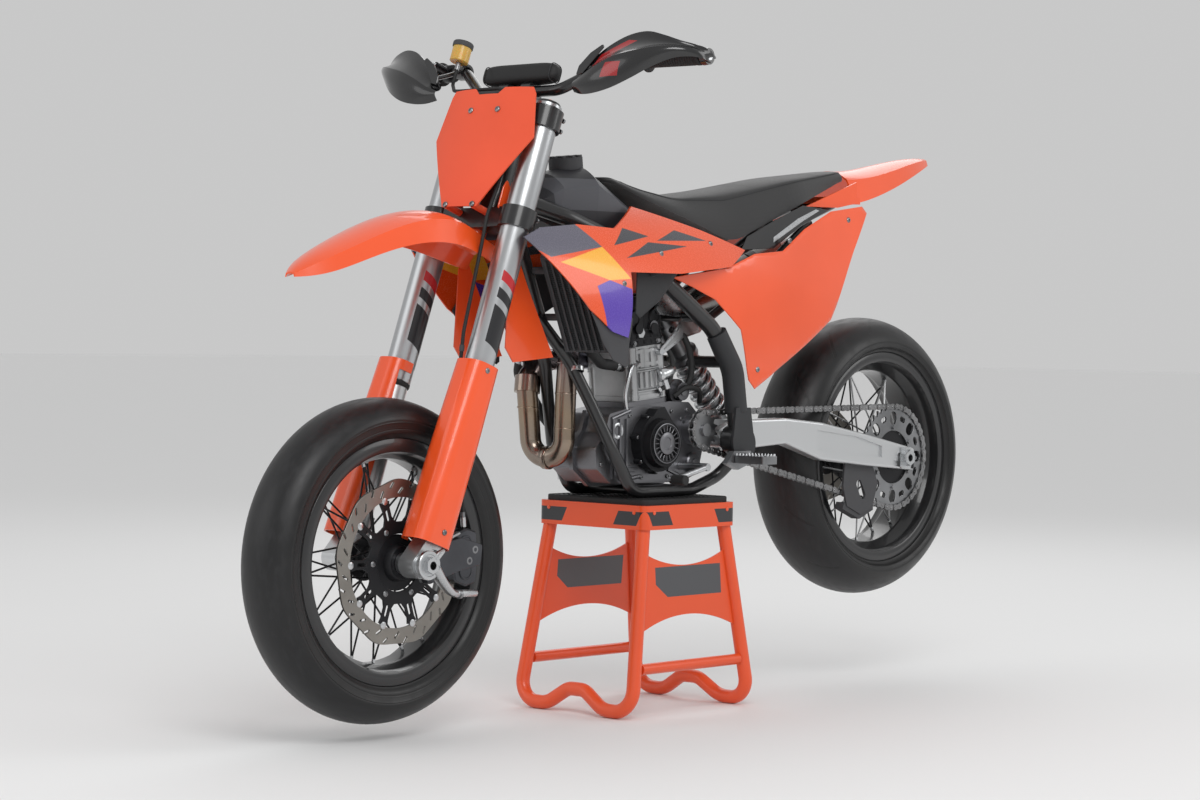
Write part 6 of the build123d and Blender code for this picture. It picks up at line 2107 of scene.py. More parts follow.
@dataclass
class Bodywork:
    """Side panels, wedges, mouldings and screws of the bodywork, with sizes in metres."""

    left_panel: tuple[Flat, ...] = (
        (0.046, 0.874), (-0.120, 0.897), (-0.206, 0.928), (-0.302, 0.937), (-0.391, 0.986), (-0.499, 1.028),
        (-0.620, 1.044), (-0.636, 1.030), (-0.575, 0.948), (-0.468, 0.795), (-0.382, 0.742), (-0.264, 0.672),
        (-0.222, 0.649), (-0.199, 0.668), (-0.161, 0.771), (-0.084, 0.831), (-0.013, 0.856),
    )
    tip_trim: tuple[Flat, ...] = (
        (0.228, 0.790), (0.228, 0.699), (0.236, 0.694), (0.276, 0.708), (0.312, 0.748), (0.352, 0.800), (0.330, 0.830),
        (0.262, 0.800),
    )
    inner_trim: tuple[Flat, ...] = (
        (0.168, 0.892), (0.030, 0.900), (0.026, 0.892), (0.052, 0.858), (0.090, 0.826), (0.156, 0.790), (0.170, 0.800),
    )

    @property
    def right_panel(self) -> tuple[Flat, ...]:
        """The right side's outline, cut away over the silencer."""
        return self.left_panel[:8] + ((-0.600, 1.012), (-0.300, 0.900), (-0.200, 0.836)) + self.left_panel[-2:]

    wedge: tuple[Flat, ...] = (
        (-0.196, 0.936), (-0.302, 0.943), (-0.391, 0.992), (-0.486, 1.030), (-0.398, 1.036), (-0.300, 1.000),
        (-0.214, 0.964),
    )
    stripe: tuple[Flat, ...] = (
        (-0.300, 0.955), (-0.396, 1.003), (-0.452, 1.0275), (-0.440, 1.030), (-0.380, 1.008), (-0.300, 0.966),
    )

    @staticmethod
    def panel_face(x: float, z: float) -> float:
        """How far out a side panel's moulded face stands, with its swelled middle and its crease.

        Args:
            x: The place ahead.
            z: The height.

        Returns:
            The distance from the middle plane.
        """
        band = 0.131 - (z - 0.8) ** 2 / 3.0 - (x + 0.15) ** 2 / 10.0
        swell = 0.010 * max(0.0, 1 - ((x + 0.33) / 0.24) ** 2) * max(0.0, 1 - ((z - 0.86) / 0.17) ** 2)
        crease = 0.5 + 0.5 * min(1.0, max(-1.0, (z - 0.925 - 0.25 * (x + 0.3)) / 0.05))
        return band + swell - 0.005 * crease * max(0.0, 1 - ((x + 0.36) / 0.26) ** 2)

    @staticmethod
    def shroud_face(x: float, z: float) -> float:
        """How far out a shroud's moulded face stands, with a hollow behind its front edge.

        Args:
            x: The place ahead.
            z: The height.

        Returns:
            The distance from the middle plane.
        """
        band = 0.196 - (z - 0.81) ** 2 / 0.52 - (x - 0.38) ** 2 / 6.0
        hollow = max(0.0, 1 - ((x - 0.31) / 0.17) ** 2) * max(0.0, 1 - ((z - 0.905) / 0.06) ** 2)
        waist = max(0.0, 1 - ((x - 0.02) / 0.2) ** 2) * max(0.0, 1 - ((z - 0.925) / 0.035) ** 2)
        return band - 0.007 * hollow - 0.004 * waist

    def panels(self) -> None:
        """The side panels as moulded skins, with their stand-offs."""
        piece = Piece("side_panel_skins", "root", "orange_gloss")
        for sign, outline in ((1, self.left_panel), (-1, self.right_panel)):
            piece.skin(
                list(outline),
                lambda x, z: Vector((x, sign * self.panel_face(x, z), z)),
                lambda x, z: Vector((x, sign * (self.panel_face(x, z) - 0.0032), z)),
                Finish.ORANGE, 0.0085,
            )
            piece.tube([place(-330, sign * 84, 920), place(-330, sign * 121, 920)], 0.007, Finish.BLACK_PLASTIC, 20)
        piece.done(("side_panels",), 50.0)

    def lower_trims(self) -> None:
        """Black mouldings under the shrouds' tips and between them and the frame."""
        piece = Piece("shroud_inner_mouldings", "root", "black_plastic")
        for sign in (1, -1):
            piece.skin(
                list(self.tip_trim),
                lambda x, z: Vector((x, sign * (self.shroud_face(x, max(z, 0.74)) - 0.0052), z)),
                lambda x, z: Vector((x, sign * (self.shroud_face(x, max(z, 0.74)) - 0.0082), z)),
                Finish.BLACK_PLASTIC,
            )
            piece.skin(
                list(self.inner_trim),
                lambda x, z: Vector((x, sign * (0.1265 + 0.10 * (x - 0.02)), z)),
                lambda x, z: Vector((x, sign * (0.1235 + 0.10 * (x - 0.02)), z)),
                Finish.GRIP_PLASTIC,
            )
            piece.tube([place(120, sign * 134, 878), place(118, sign * 168, 884)], 0.006, Finish.BLACK_PLASTIC, 14)
            stay = node_side("radiators", 0.262, 0.790, sign) - 0.002
            ends = [Vector((0.262, sign * stay, 0.790)), place(262, sign * 181, 790)]
            piece.tube(ends, 0.006, Finish.BLACK_PLASTIC, 14)
        piece.done((), 50.0)

    def wedges(self) -> None:
        """The black wedges between the saddle and the side panels, each with a silver stripe."""
        piece = Piece("saddle_side_wedges", "root", "black_plastic")
        for sign in (1, -1):
            axes = side_axes(Vector((0, sign * 0.0995, 0)), sign)
            piece.plate(axes, list(self.wedge), 0.003, Finish.GLOSS_BLACK, 0.0008)
            piece.plate(axes.moved(0, 0, 0.0029), list(self.stripe), 0.0006, Finish.BRIGHT, 0.0002)
        piece.done((), 38.0)

    def screws(self, fasteners: Fasteners) -> None:
        """The screws of the shrouds, the left side panel and the number plate.

        Args:
            fasteners: What sets them.
        """
        spots = []
        for x, z in ((0.258, 0.856), (0.120, 0.918), (-0.072, 0.944)):
            for sign in (1, -1):
                spots.append(Spot(Vector((x, sign * (node_side("shrouds", x, z, sign) - 0.0002), z)), LEFT * sign))
        fasteners.lay("shroud_screws", Fastener.DOME_SCREW, 0.006, spots, Finish.STEEL)
        spots = []
        for x, z in ((-0.330, 0.960), (-0.225, 0.690), (-0.560, 1.012)):
            spots.append(Spot(Vector((x, self.panel_face(x, z) + 0.0002, z)), LEFT))
        fasteners.lay("side_panel_screws", Fastener.DOME_SCREW, 0.006, spots, Finish.STEEL)
        spots = []
        for c in (0.010, 0.205):
            for b in (-0.036, 0.036):
                spots.append(Spot(STEER.at(0.0868, b, c), STEER.x, STEER.y))
        fasteners.lay("number_plate_screws", Fastener.DOME_SCREW, 0.006, spots, Finish.STEEL, "steering")

    def build(self, fasteners: Fasteners) -> None:
        """Build the panels, the trim and their screws.

        Args:
            fasteners: What sets the screws.
        """
        self.panels()
        self.lower_trims()
        self.wedges()
        self.screws(fasteners)


# Engine, exhaust, radiators and running gear
def place(x: float, y: float, z: float) -> Vector:
    """A point given in millimetres, in metres."""
    return Vector((x, y, z)) / 1000


def along(path: list[tuple[float, float, float]], steps: int = 8) -> list[Vector]:
    """A smooth line through points given in millimetres."""
    return curved([place(*point) for point in path], steps)


def facing(origin: Vector, way: Vector) -> Axes:
    """Axes at a place whose z looks along a way.

    Args:
        origin: The place.
        way: The way, of any length.

    Returns:
        The axes.
    """
    z = way.normalized()
    x = (AHEAD - z * AHEAD.dot(z)) if abs(z.x) < 0.9 else (UP - z * UP.dot(z))
    x = x.normalized()
    return Axes(origin, x, z.cross(x), z)


def band(piece: Piece, origin: Vector, way: Vector, radius: float, width: float, thickness: float,
         finish: Finish) -> None:
    """A round band about a tube, such as a clip or a weld ring.

    Args:
        piece: The piece that takes it in.
        origin: Its middle.
        way: The tube's way there.
        radius: Its inner radius.
        width: Its width along the tube.
        thickness: How far it stands up.
        finish: What it wears.
    """
    half = width / 2
    profile = [(-half, radius), (-half, radius + thickness * 0.7), (-half + thickness * 0.3, radius + thickness),
               (half - thickness * 0.3, radius + thickness), (half, radius + thickness * 0.7), (half, radius)]
    piece.turn(facing(origin, way), profile, finish, 32, loop=True)


@dataclass
class Engine:
    """The engine's bolts, hoses, plugs and small covers: the cylinder's lean in degrees and its foot in metres."""

    tilt: float = 6.0
    foot_x: float = 0.034
    foot_z: float = 0.628

    def head_axes(self, height: float) -> Axes:
        """Axes on the leaning cylinder.

        Args:
            height: The height, measured along it from the floor.

        Returns:
            The axes, with z up along the cylinder and x ahead.
        """
        lean = radians(self.tilt)
        rise = height - self.foot_z
        origin = Vector((self.foot_x + rise * sin(lean), 0.0, self.foot_z + rise * cos(lean)))
        return Axes(origin, Vector((cos(lean), 0, -sin(lean))), LEFT, Vector((sin(lean), 0, cos(lean))))

    def castings(self) -> None:
        """Stud columns, ribs and bosses on the barrel and the head, the water pipe, and the stays to the frame."""
        piece = Piece("barrel_and_head_castings", "root", "cast_alloy")
        for sign in (1, -1):
            def fin(z: float, u: float, size: Point, finish: Finish) -> None:
                """Add a rib on the side of the leaning cylinder.

                Args:
                    z: Its height.
                    u: Its place ahead.
                    size: Its size.
                    finish: What it wears.
                """
                base = self.head_axes(z)
                piece.block(Axes(base.at(u, sign * 0.0555), base.x, base.y * sign, base.z), size, finish, 0.0008)
            for u in (-0.041, 0.041):
                foot, top = self.head_axes(0.630).at(u, sign * 0.0535), self.head_axes(0.736).at(u, sign * 0.0535)
                piece.tube([foot, top], 0.0098, Finish.BARREL, 22)
            for z, tall in ((0.647, 0.004), (0.651, 0.0016), (0.687, 0.0035), (0.6915, 0.0035)):
                fin(z, 0.0, (0.103, 0.0105, tall), Finish.BARREL)
            for u in (-0.024, -0.008, 0.008, 0.024):
                fin(0.669, u, (0.0032, 0.0095, 0.031), Finish.BARREL)
            for u in (-0.018, 0.014):
                fin(0.713, u, (0.014, 0.0085, 0.038), Finish.BARREL)
            for u, lean in ((-0.042, 0.010), (-0.020, 0.005), (0.002, 0.0), (0.024, -0.005), (0.044, -0.010)):
                low = self.head_axes(0.742).at(u, sign * 0.0565)
                high = self.head_axes(0.806).at(u + lean, sign * 0.0545)
                piece.tube([low, high], [0.0052, 0.0036], Finish.DARK_COVER, 10)
            for u in (-0.03, 0.03):
                base = self.head_axes(0.7935)
                boss = Axes(base.at(u, sign * 0.055), base.x, base.z, base.y * sign)
                piece.turn(boss, [
                    (0.0, 0.0175), (0.0045, 0.0175), (0.0065, 0.0155), (0.0065, 0.0105), (0.005, 0.0095), (0.005, 0.0),
                ], Finish.DARK_COVER, 36)
        body = curved([place(12, 62, 676), place(-8, 66, 682), place(-30, 64, 690)], 5)
        radii = [0.013, 0.0145, 0.0145, 0.0125, 0.0125, 0.012, 0.012, 0.0115, 0.0115, 0.010, 0.009]
        piece.tube(body, radii, Finish.BRIGHT, 20)
        piece.block(Axes(place(0, 70, 684), AHEAD, LEFT, UP), (0.030, 0.013, 0.016), Finish.BRIGHT, 0.002)
        piece.tube([place(-4, 66, 668), place(-10, 68, 650)], 0.0065, Finish.BRIGHT, 16)
        piece.done((), 36.0)
        stays = Piece("head_stays", "root", "bright_alloy")
        plate = rounded([
            (0.020, 0.726, 0.008), (0.012, 0.716, 0.008), (-0.055, 0.752, 0.02), (-0.112, 0.766, 0.008),
            (-0.112, 0.782, 0.008), (-0.078, 0.806, 0.010), (-0.060, 0.810, 0.008), (-0.030, 0.768, 0.03),
        ], 4)
        hollow = inset(plate, 0.007)
        for sign in (1, -1):
            stays.plate(side_axes(Vector((0, sign * 0.0665, 0)), sign), plate, 0.004, Finish.BRIGHT, 0.0012)
            stays.plate(side_axes(Vector((0, sign * 0.0703, 0)), sign), hollow, 0.0006, Finish.BARREL, 0.0002)
            for x, z in ((12, 725), (-104, 774), (-68, 802)):
                stays.tube([place(x, sign * 56, z), place(x, sign * 72, z)], 0.0068, Finish.BRIGHT, 20)
        stays.done((), 36.0)

    def case_details(self) -> None:
        """An oil sight ring, ribs and an oil pump cover on the crankcase's left side."""
        piece = Piece("crankcase_details", "root", "dark_cases")
        ring = left_axes(place(132, 61.8, 566))
        piece.turn(ring, [
            (0.0, 0.0085), (0.0, 0.0175), (0.003, 0.0165), (0.004, 0.0145), (0.004, 0.0115), (0.002, 0.0085),
        ], Finish.BRIGHT, 36, loop=True)
        piece.turn(ring, [(0.0, 0.009), (0.0015, 0.0088), (0.0015, 0.0)], Finish.CASES, 24)
        for n in range(5):
            axes = Axes(place(96 + 3 * n, 62.4, 498 - 7.5 * n), AHEAD, LEFT, UP)
            piece.block(axes, (0.052 - 0.004 * n, 0.005, 0.0026), Finish.CASES, 0.0006)
        for start, end in (
            ((150, 61.8, 590), (96, 61.8, 606)), ((-64, 61.8, 470), (-20, 61.8, 486)),
            ((64, 61.8, 474), (96, 61.8, 470)),
        ):
            piece.tube([place(*start), place(*end)], 0.0042, Finish.CASES, 10)
        pump = left_axes(place(-92, 64, 498))
        piece.turn(pump, [
            (-0.002, 0.0205), (0.006, 0.0205), (0.0085, 0.018), (0.0085, 0.009), (0.011, 0.0082), (0.011, 0.0),
        ], Finish.CASES, 32)
        piece.done((), 36.0)

    def ignition_cover(self) -> None:
        """The finned ignition cover with its recessed middle."""
        piece = Piece("ignition_cover_fins", "root", "dark_cases")
        axes = left_axes(place(33, 62.3, 541))
        piece.turn(axes, [
            (0.0415, 0.0205), (0.0415, 0.0215), (0.0425, 0.0225), (0.0462, 0.0225), (0.047, 0.0215), (0.047, 0.0122),
            (0.0455, 0.0112), (0.0455, 0.0),
        ], Finish.CASES, 40)
        for angle in around(20):
            fin = axes.moved(0.0305 * cos(angle), 0.0305 * sin(angle), 0.0435).turned(angle)
            piece.block(fin, (0.0125, 0.0018, 0.004), Finish.CASES, 0.0005)
        piece.turn(axes, [
            (0.0395, 0.0385), (0.0395, 0.0405), (0.0408, 0.0412), (0.0452, 0.0408), (0.046, 0.0398), (0.046, 0.0385),
        ], Finish.CASES, 56, loop=True)
        piece.done((), 40.0)

    def fittings(self) -> None:
        """The spark plug's cap, the oil and breather lines with their clips, and the plugs on the cases."""
        piece = Piece("engine_fittings", "root", "black_plastic")
        head = self.head_axes(0.845)
        plug_cap = [head.at(-0.005, 0, -0.012), head.at(-0.005, 0, 0.012), head.at(-0.012, 0, 0.026)]
        piece.tube(plug_cap, [0.0085, 0.0085, 0.007], Finish.RUBBER, 16)
        piece.tube(along([(76, 57, 700), (98, 66, 690), (112, 64, 640), (100, 58, 604)]), 0.0042, Finish.BRIGHT, 10)
        for end, way in (((76, 57, 700), (1, 0.4, -0.4)), ((100, 58, 604), (-0.5, -0.3, -1))):
            band(piece, place(*end), Vector(way), 0.0035, 0.011, 0.0028, Finish.STEEL)
        piece.tube(along([(-40, 60, 634), (-62, 74, 652), (-98, 76, 646), (-118, 62, 622)]), 0.0055, Finish.RUBBER, 12)
        breather = along([(-30, 56, 770), (-58, 66, 758), (-78, 70, 716), (-84, 66, 676), (-74, 60, 648)])
        piece.tube(breather, 0.0066, Finish.RUBBER, 12)
        piece.tube(along([(6, 61, 646), (-14, 70, 664), (-22, 69, 708), (-6, 62, 742)]), 0.0046, Finish.RUBBER, 12)
        for end, way in (
            ((-36, 60, 768), (-1, 0.4, -0.4)), ((-75, 61, 652), (0.2, -0.2, -1)), ((8, 61, 647), (1, -0.3, -0.6)),
        ):
            band(piece, place(*end), Vector(way), 0.0062, 0.006, 0.0012, Finish.BRIGHT)
        piece.tube([place(-62, 44, 644), place(-62, 66, 644)], 0.0185, Finish.CASES, 28)
        piece.tube([place(-62, 66, 644), place(-62, 69, 644)], 0.0095, Finish.STEEL, 6)
        piece.tube([place(66, 58, 762), place(66, 63.5, 762)], 0.011, Finish.BRIGHT, 6)
        piece.tube([place(28, 58, 775), place(28, 64, 775)], 0.0125, Finish.CASES, 24)
        piece.tube([place(28, 64, 775), place(28, 65.5, 775)], 0.0065, Finish.STEEL, 6)
        piece.tube([place(140, 60, 500), place(140, 68.5, 500)], 0.0085, Finish.BRIGHT, 6)
        piece.done((), 38.0)

    def water_pump(self) -> None:
        """The water pump's cover and the oil filter's cap on the right."""
        piece = Piece("right_side_covers", "root", "dark_cases")
        axes = side_axes(place(112, -104.5, 518), -1)
        piece.turn(axes, [
            (0.0, 0.0205), (0.003, 0.0195), (0.004, 0.0125), (0.0075, 0.0105), (0.0075, 0.0),
        ], Finish.CASES, 32)
        axes = side_axes(place(60, -84, 586), -1)
        piece.turn(axes, [
            (-0.004, 0.0195), (0.006, 0.0195), (0.0085, 0.017), (0.0085, 0.0085), (0.0105, 0.0078), (0.0105, 0.0),
        ], Finish.DARK_COVER, 36)
        piece.done((), 38.0)

    def bolts(self, fasteners: Fasteners) -> None:
        """Cap screws round the covers and on the cases, and hexagon bolts on the head and the barrel.

        Args:
            fasteners: What sets them.
        """
        spots = []
        for n in range(7):
            angle = radians(12) + FULL_TURN * n / 7
            spots.append(Spot(place(33 + 57 * cos(angle), 78.3, 541 + 57 * sin(angle)), LEFT))
        fasteners.lay("ignition_cover_screws", Fastener.CAP_SCREW, 0.0042, spots, Finish.STEEL)
        spots = []
        for n in range(8):
            angle = radians(10) + FULL_TURN * n / 8
            spots.append(Spot(place(-22 + 70 * cos(angle), -86.3, 548 + 70 * sin(angle)), LEFT * -1))
        for x, z in ((146, 566), (146, 500), (60, 486)):
            spots.append(Spot(place(x, -86.3, z), LEFT * -1))
        fasteners.lay("clutch_cover_screws", Fastener.CAP_SCREW, 0.0042, spots, Finish.STEEL)
        spots = []
        top = self.head_axes(0.8261)
        for u in (-0.043, 0.043):
            for v in (-0.044, 0.044):
                spots.append(Spot(top.at(u, v), top.z))
        fasteners.lay("head_cover_screws", Fastener.HEX_BOLT, 0.0045, spots, Finish.STEEL)
        spots = []
        for x, z in (
            (-104, 504), (-112, 560), (-78, 606), (96, 596), (176, 548), (180, 500), (-20, 472), (60, 472), (120, 474),
            (-60, 588), (-30, 604),
        ):
            spots.append(Spot(place(x, 62.2, z), LEFT))
        fasteners.lay("case_screws_left", Fastener.CAP_SCREW, 0.0046, spots, Finish.STEEL)
        spots = []
        for z in (0.6325, 0.741):
            base = self.head_axes(z)
            for u in (-0.036, 0.036):
                spots.append(Spot(base.at(u, 0.0592, 0.0035), LEFT))
        fasteners.lay("barrel_bolts", Fastener.HEX_BOLT, 0.0044, spots, Finish.STEEL)


@dataclass
class Exhaust:
    """Rings, springs and clamps on the header and the silencer.

    The radii are in metres, and the silencer's two ends in millimetres.
    """

    header_r: float = 0.021
    sleeve_r: float = 0.0478
    spring_r: float = 0.0042
    front_end: Point = (-268, -121, 815)
    rear_end: Point = (-640, -150, 952)
    rivet_bands: tuple[float, float] = (0.225, 0.895)

    def rings(self) -> None:
        """Weld rings, the slip joint with its springs, and the black clamp."""
        piece = Piece("header_rings", "root", "titanium")
        for origin, way in (
            ((146, 4, 770), (1, 0, 0)), ((221, 4, 700), (0.04, 0, -1)), ((222, 4, 640), (0, 0, 1)),
            ((224, 4, 570), (0.02, 0, -1)), ((247.5, -75, 612), (0.1, 0, 1)), ((170, -88.5, 705), (-1, 0, 0)),
            ((20, -81, 710), (-1, 0.1, 0.05)), ((-100, -75, 737), (-1, 0, 0.6)),
        ):
            band(piece, place(*origin), Vector(way), self.header_r - 0.0004, 0.003, 0.0014, Finish.TITANIUM)
        for origin, way in (((123, 4, 771), (1, 0, 0)), ((232, -34, 511), (0.1, -1, 0))):
            band(piece, place(*origin), Vector(way), self.header_r - 0.0004, 0.014, 0.0026, Finish.TITANIUM)
        piece.done((), 45.0)
        springs = Piece("header_springs", "root", "steel")
        for start, end in (((110, 33, 772), (148, 28, 769)), ((110, -25, 772), (148, -20, 769))):
            first, last = place(*start), place(*end)
            axes = facing(first, last - first)
            length = (last - first).length
            springs.tube(helix(axes, self.spring_r, 11, length, 132), 0.0009, Finish.STEEL, 6)
            for hook in (
                [first - axes.z * 0.006, first, axes.at(self.spring_r, 0, 0.0)],
                [axes.at(self.spring_r, 0, length), last, last + axes.z * 0.006 - UP * 0.002],
            ):
                springs.tube(hook, 0.001, Finish.STEEL, 6)
        springs.done((), 60.0)

    def silencer(self) -> None:
        """The silencer's outlet, the bands of its rivets and its carrying strap."""
        start, end = place(*self.front_end), place(*self.rear_end)
        run = end - start
        piece = Piece("silencer_trim", "root", "titanium")
        for share in self.rivet_bands:
            band(piece, start + run * share, run, self.sleeve_r, 0.018, 0.0012, Finish.BRIGHT)
        band(piece, start + run * 0.62, run, self.sleeve_r, 0.026, 0.0022, Finish.BLACK_PAINT)
        axes = facing(end, run)
        piece.turn(axes, [
            (-0.05, 0.0218), (0.0, 0.0218), (0.0035, 0.0235), (0.0045, 0.0218), (0.003, 0.0195), (-0.05, 0.0195),
        ], Finish.TITANIUM, 40, loop=True)
        piece.done((), 40.0)

    def rivets(self, fasteners: Fasteners) -> None:
        """Rivets round both ends of the silencer's sleeve.

        Args:
            fasteners: What sets them.
        """
        start, end = place(*self.front_end), place(*self.rear_end)
        run = end - start
        spots = []
        for share in self.rivet_bands:
            axes = facing(start + run * share, run)
            for angle in around(16):
                out = axes.x * cos(angle) + axes.y * sin(angle)
                spots.append(Spot(axes.origin + out * 0.049, out, axes.z))
        fasteners.lay("silencer_rivets", Fastener.RIVET, 0.0028, spots, Finish.BRIGHT)


@dataclass
class RunningGear:
    """Swingarm ends, shock spring, front caliper, footpegs, levers and hose clips.

    The caliper's places are in metres from the front axle, and the spring's ends in millimetres.
    """

    spring_low: Point = (-262, 0, 576)
    spring_high: Point = (-60, 0, 798)
    coil_r: float = 0.0278
    piston_r: float = 0.0168
    piston_y: float = 0.0857

    def arm_ends(self, fasteners: Fasteners) -> None:
        """Black end blocks with the chain adjusters' bolts, and the chain guide's screws.

        Args:
            fasteners: What sets the screws.
        """
        piece = Piece("swingarm_ends", "root", "black_plastic")
        for sign in (1, -1):
            axes = Axes(place(-764.4, sign * 121, 493.5), LEFT, UP, AHEAD)
            piece.block(axes.moved(0, 0, -0.0012), (0.0205, 0.046, 0.0036), Finish.BLACK_PLASTIC, 0.0008)
            piece.tube([place(-766, sign * 121, 495), place(-773, sign * 121, 495)], 0.0078, Finish.STEEL, 6)
            piece.tube([place(-773, sign * 121, 495), place(-783, sign * 121, 495)], 0.0052, Finish.STEEL, 16)
        piece.done((), 38.0)
        spots = [Spot(place(x, 108.2, z), LEFT) for x, z in ((-560, 492), (-636, 478), (-586, 478))]
        fasteners.lay("chain_guide_screws", Fastener.CAP_SCREW, 0.0042, spots, Finish.STEEL)

    def shock(self) -> None:
        """The spring's coils round the shock absorber."""
        low, high = place(*self.spring_low), place(*self.spring_high)
        run = high - low
        seat = 0.048
        axes = facing(low + run.normalized() * seat, run)
        piece = Piece("shock_spring", "root", "steel")
        piece.tube(helix(axes, self.coil_r, 6.5, run.length * 0.62 - seat, 156), 0.0048, Finish.BRIGHT, 10)
        piece.done((), 60.0)

    def front_caliper(self) -> None:
        """A four-piston radial caliper in two bolted halves, with its pads on both sides of the disc."""
        piece = Piece("front_caliper_halves", "steering", "dark_cases")
        outline = rounded([
            (-0.177, -0.044, 0.008), (-0.152, -0.051, 0.012), (-0.121, -0.040, 0.010), (-0.117, -0.016, 0.006),
            (-0.1225, 0.004, 0.02), (-0.117, 0.024, 0.006), (-0.121, 0.048, 0.010), (-0.152, 0.059, 0.012),
            (-0.177, 0.052, 0.008), (-0.181, 0.004, 0.03),
        ], 5)
        for y, thick in ((0.0287, 0.0243), (0.0625, 0.0232)):
            piece.plate(side_axes(FRONT_AXLE + Vector((0, y, 0))), outline, thick, Finish.CALIPER, 0.0034)
        bridge = rounded([
            (-0.181, -0.040, 0.004), (-0.1655, -0.042, 0.004), (-0.1655, 0.050, 0.004), (-0.181, 0.048, 0.004),
        ], 3)
        piece.plate(side_axes(FRONT_AXLE + Vector((0, 0.05, 0))), bridge, 0.016, Finish.CALIPER, 0.001)
        r = self.piston_r
        for z in (-0.021, 0.029):
            piece.turn(left_axes(FRONT_AXLE + Vector((-0.148, self.piston_y, z))), [
                (-0.002, r), (0.0014, r), (0.0026, r - 0.0014), (0.0026, r - 0.0034), (0.0016, r - 0.0042),
                (0.0016, 0.0),
            ], Finish.CALIPER, 36)
        rib = rounded([
            (-0.174, -0.006, 0.002), (-0.126, -0.003, 0.002), (-0.126, 0.011, 0.002), (-0.174, 0.014, 0.002),
        ], 3)
        piece.plate(side_axes(FRONT_AXLE + Vector((0, 0.0853, 0))), rib, 0.003, Finish.BRIGHT, 0.0008)
        for z in (-0.020, 0.027):
            axes = side_axes(FRONT_AXLE + Vector((-0.146, 0.029, z)), -1)
            piece.turn(axes, [(-0.002, 0.0158), (0.0006, 0.0158), (0.001, 0.0146), (0.001, 0.0)], Finish.DARK_COVER, 32)
        pad = rounded([
            (-0.020, -0.036, 0.004), (0.018, -0.032, 0.004), (0.018, 0.032, 0.004), (-0.020, 0.036, 0.004),
        ], 3)
        for y in (0.0517, 0.0603):
            axes = side_axes(FRONT_AXLE + Vector((-0.146, y, 0.004)))
            piece.plate(axes, pad, 0.0018, Finish.STEEL, 0.0004)
        piece.done(("front_caliper",), 36.0)

    def axle_foot(self) -> None:
        """The machined clamp on the left leg's foot: a hollow axle end, a forged arm and its stop pin."""
        piece = Piece("front_axle_clamp", "steering", "bright_alloy")
        axes = left_axes(FRONT_AXLE + Vector((0, 0.1335, 0)))
        piece.turn(axes, [
            (0.0, 0.0132), (0.0, 0.0255), (0.0015, 0.027), (0.0085, 0.027), (0.0095, 0.026), (0.0095, 0.0205),
            (0.0085, 0.0195), (0.0085, 0.0132),
        ], Finish.BRIGHT, 48, loop=True)
        arm = curved([
            FRONT_AXLE + place(x, y, z) for x, y, z in (
                (-16, 137, -6), (-38, 136, -32), (-62, 134, -52), (-78, 132, -56),
            )
        ], 6)
        reach = [0.0155 - 0.0065 * n / (len(arm) - 1) for n in range(len(arm))]
        piece.tube(arm, reach, Finish.BRIGHT, 18, 0.62)
        pin = [FRONT_AXLE + place(x, 132, z) for x, z in ((-72, -56), (-128, -58), (-130, -58))]
        piece.tube(pin, [0.0072, 0.0072, 0.006], Finish.BRIGHT, 20)
        piece.tube([FRONT_AXLE + place(x, 132, -57.8) for x in (-84, -90)], 0.0088, Finish.STEEL, 20)
        upper = curved([
            FRONT_AXLE + place(x, y, z) for x, y, z in ((-20, 126, 12), (-64, 112, 40), (-112, 98, 52))
        ], 6)
        piece.tube(upper, [0.0105 - 0.003 * n / (len(upper) - 1) for n in range(len(upper))], Finish.BRIGHT, 16, 0.6)
        piece.done((), 40.0)

    def caliper_carrier(self) -> None:
        """The machined plate that carries the front caliper, with two windows and its bolts."""
        piece = Piece("front_caliper_carrier", "steering", "bright_alloy")
        base = Axes(FRONT_AXLE, STEER.x * -1, STEER.z, LEFT)
        rim = rounded([(0.022, -0.013, 0.002), (0.042, -0.026, 0.004), (0.112, 0.0225, 0.006), (0.1565, 0.0465, 0.006),
                       (0.1485, 0.0835, 0.006), (0.091, 0.0795, 0.008), (0.040, 0.0495, 0.004)])
        inner = rounded([(0.050, -0.012, 0.003), (0.110, 0.0285, 0.004), (0.149, 0.0495, 0.004), (0.143, 0.0775, 0.004),
                         (0.093, 0.0735, 0.006), (0.050, 0.048, 0.003)])
        low = rounded([(0.056, 0.002, 0.004), (0.092, 0.027, 0.004), (0.056, 0.027, 0.004)])
        high = rounded([(0.060, 0.036, 0.004), (0.100, 0.036, 0.005), (0.112, 0.066, 0.005), (0.094, 0.067, 0.005)])
        piece.plate(base.moved(0, 0, 0.0937), rim, 0.0172, Finish.CALIPER, 0.001)
        piece.cut_sheet(base.moved(0, 0, 0.1036), [inner, low, high], 0.003, Finish.CALIPER)
        for u, v in ((0.126, 0.045), (0.133, 0.069)):
            piece.turn(base.moved(u, v, 0.1049), [
                (0.0, 0.0076), (0.0012, 0.0082), (0.0052, 0.0082), (0.0062, 0.0072), (0.0062, 0.0038), (0.0032, 0.0034),
                (0.0032, 0.0),
            ], Finish.STEEL, 24)
        piece.done((), 40.0)

    def caliper_bolts(self, fasteners: Fasteners) -> None:
        """The bolts through both caliper halves.

        Args:
            fasteners: What sets them.
        """
        spots = []
        for x, z in ((-0.1715, -0.034), (-0.1745, 0.004), (-0.1715, 0.042), (-0.128, -0.034), (-0.128, 0.042)):
            spots.append(Spot(FRONT_AXLE + Vector((x, 0.0287, z)), LEFT * -1))
        fasteners.lay("front_caliper_bolts", Fastener.CAP_SCREW, 0.0042, spots, Finish.STEEL, "steering")

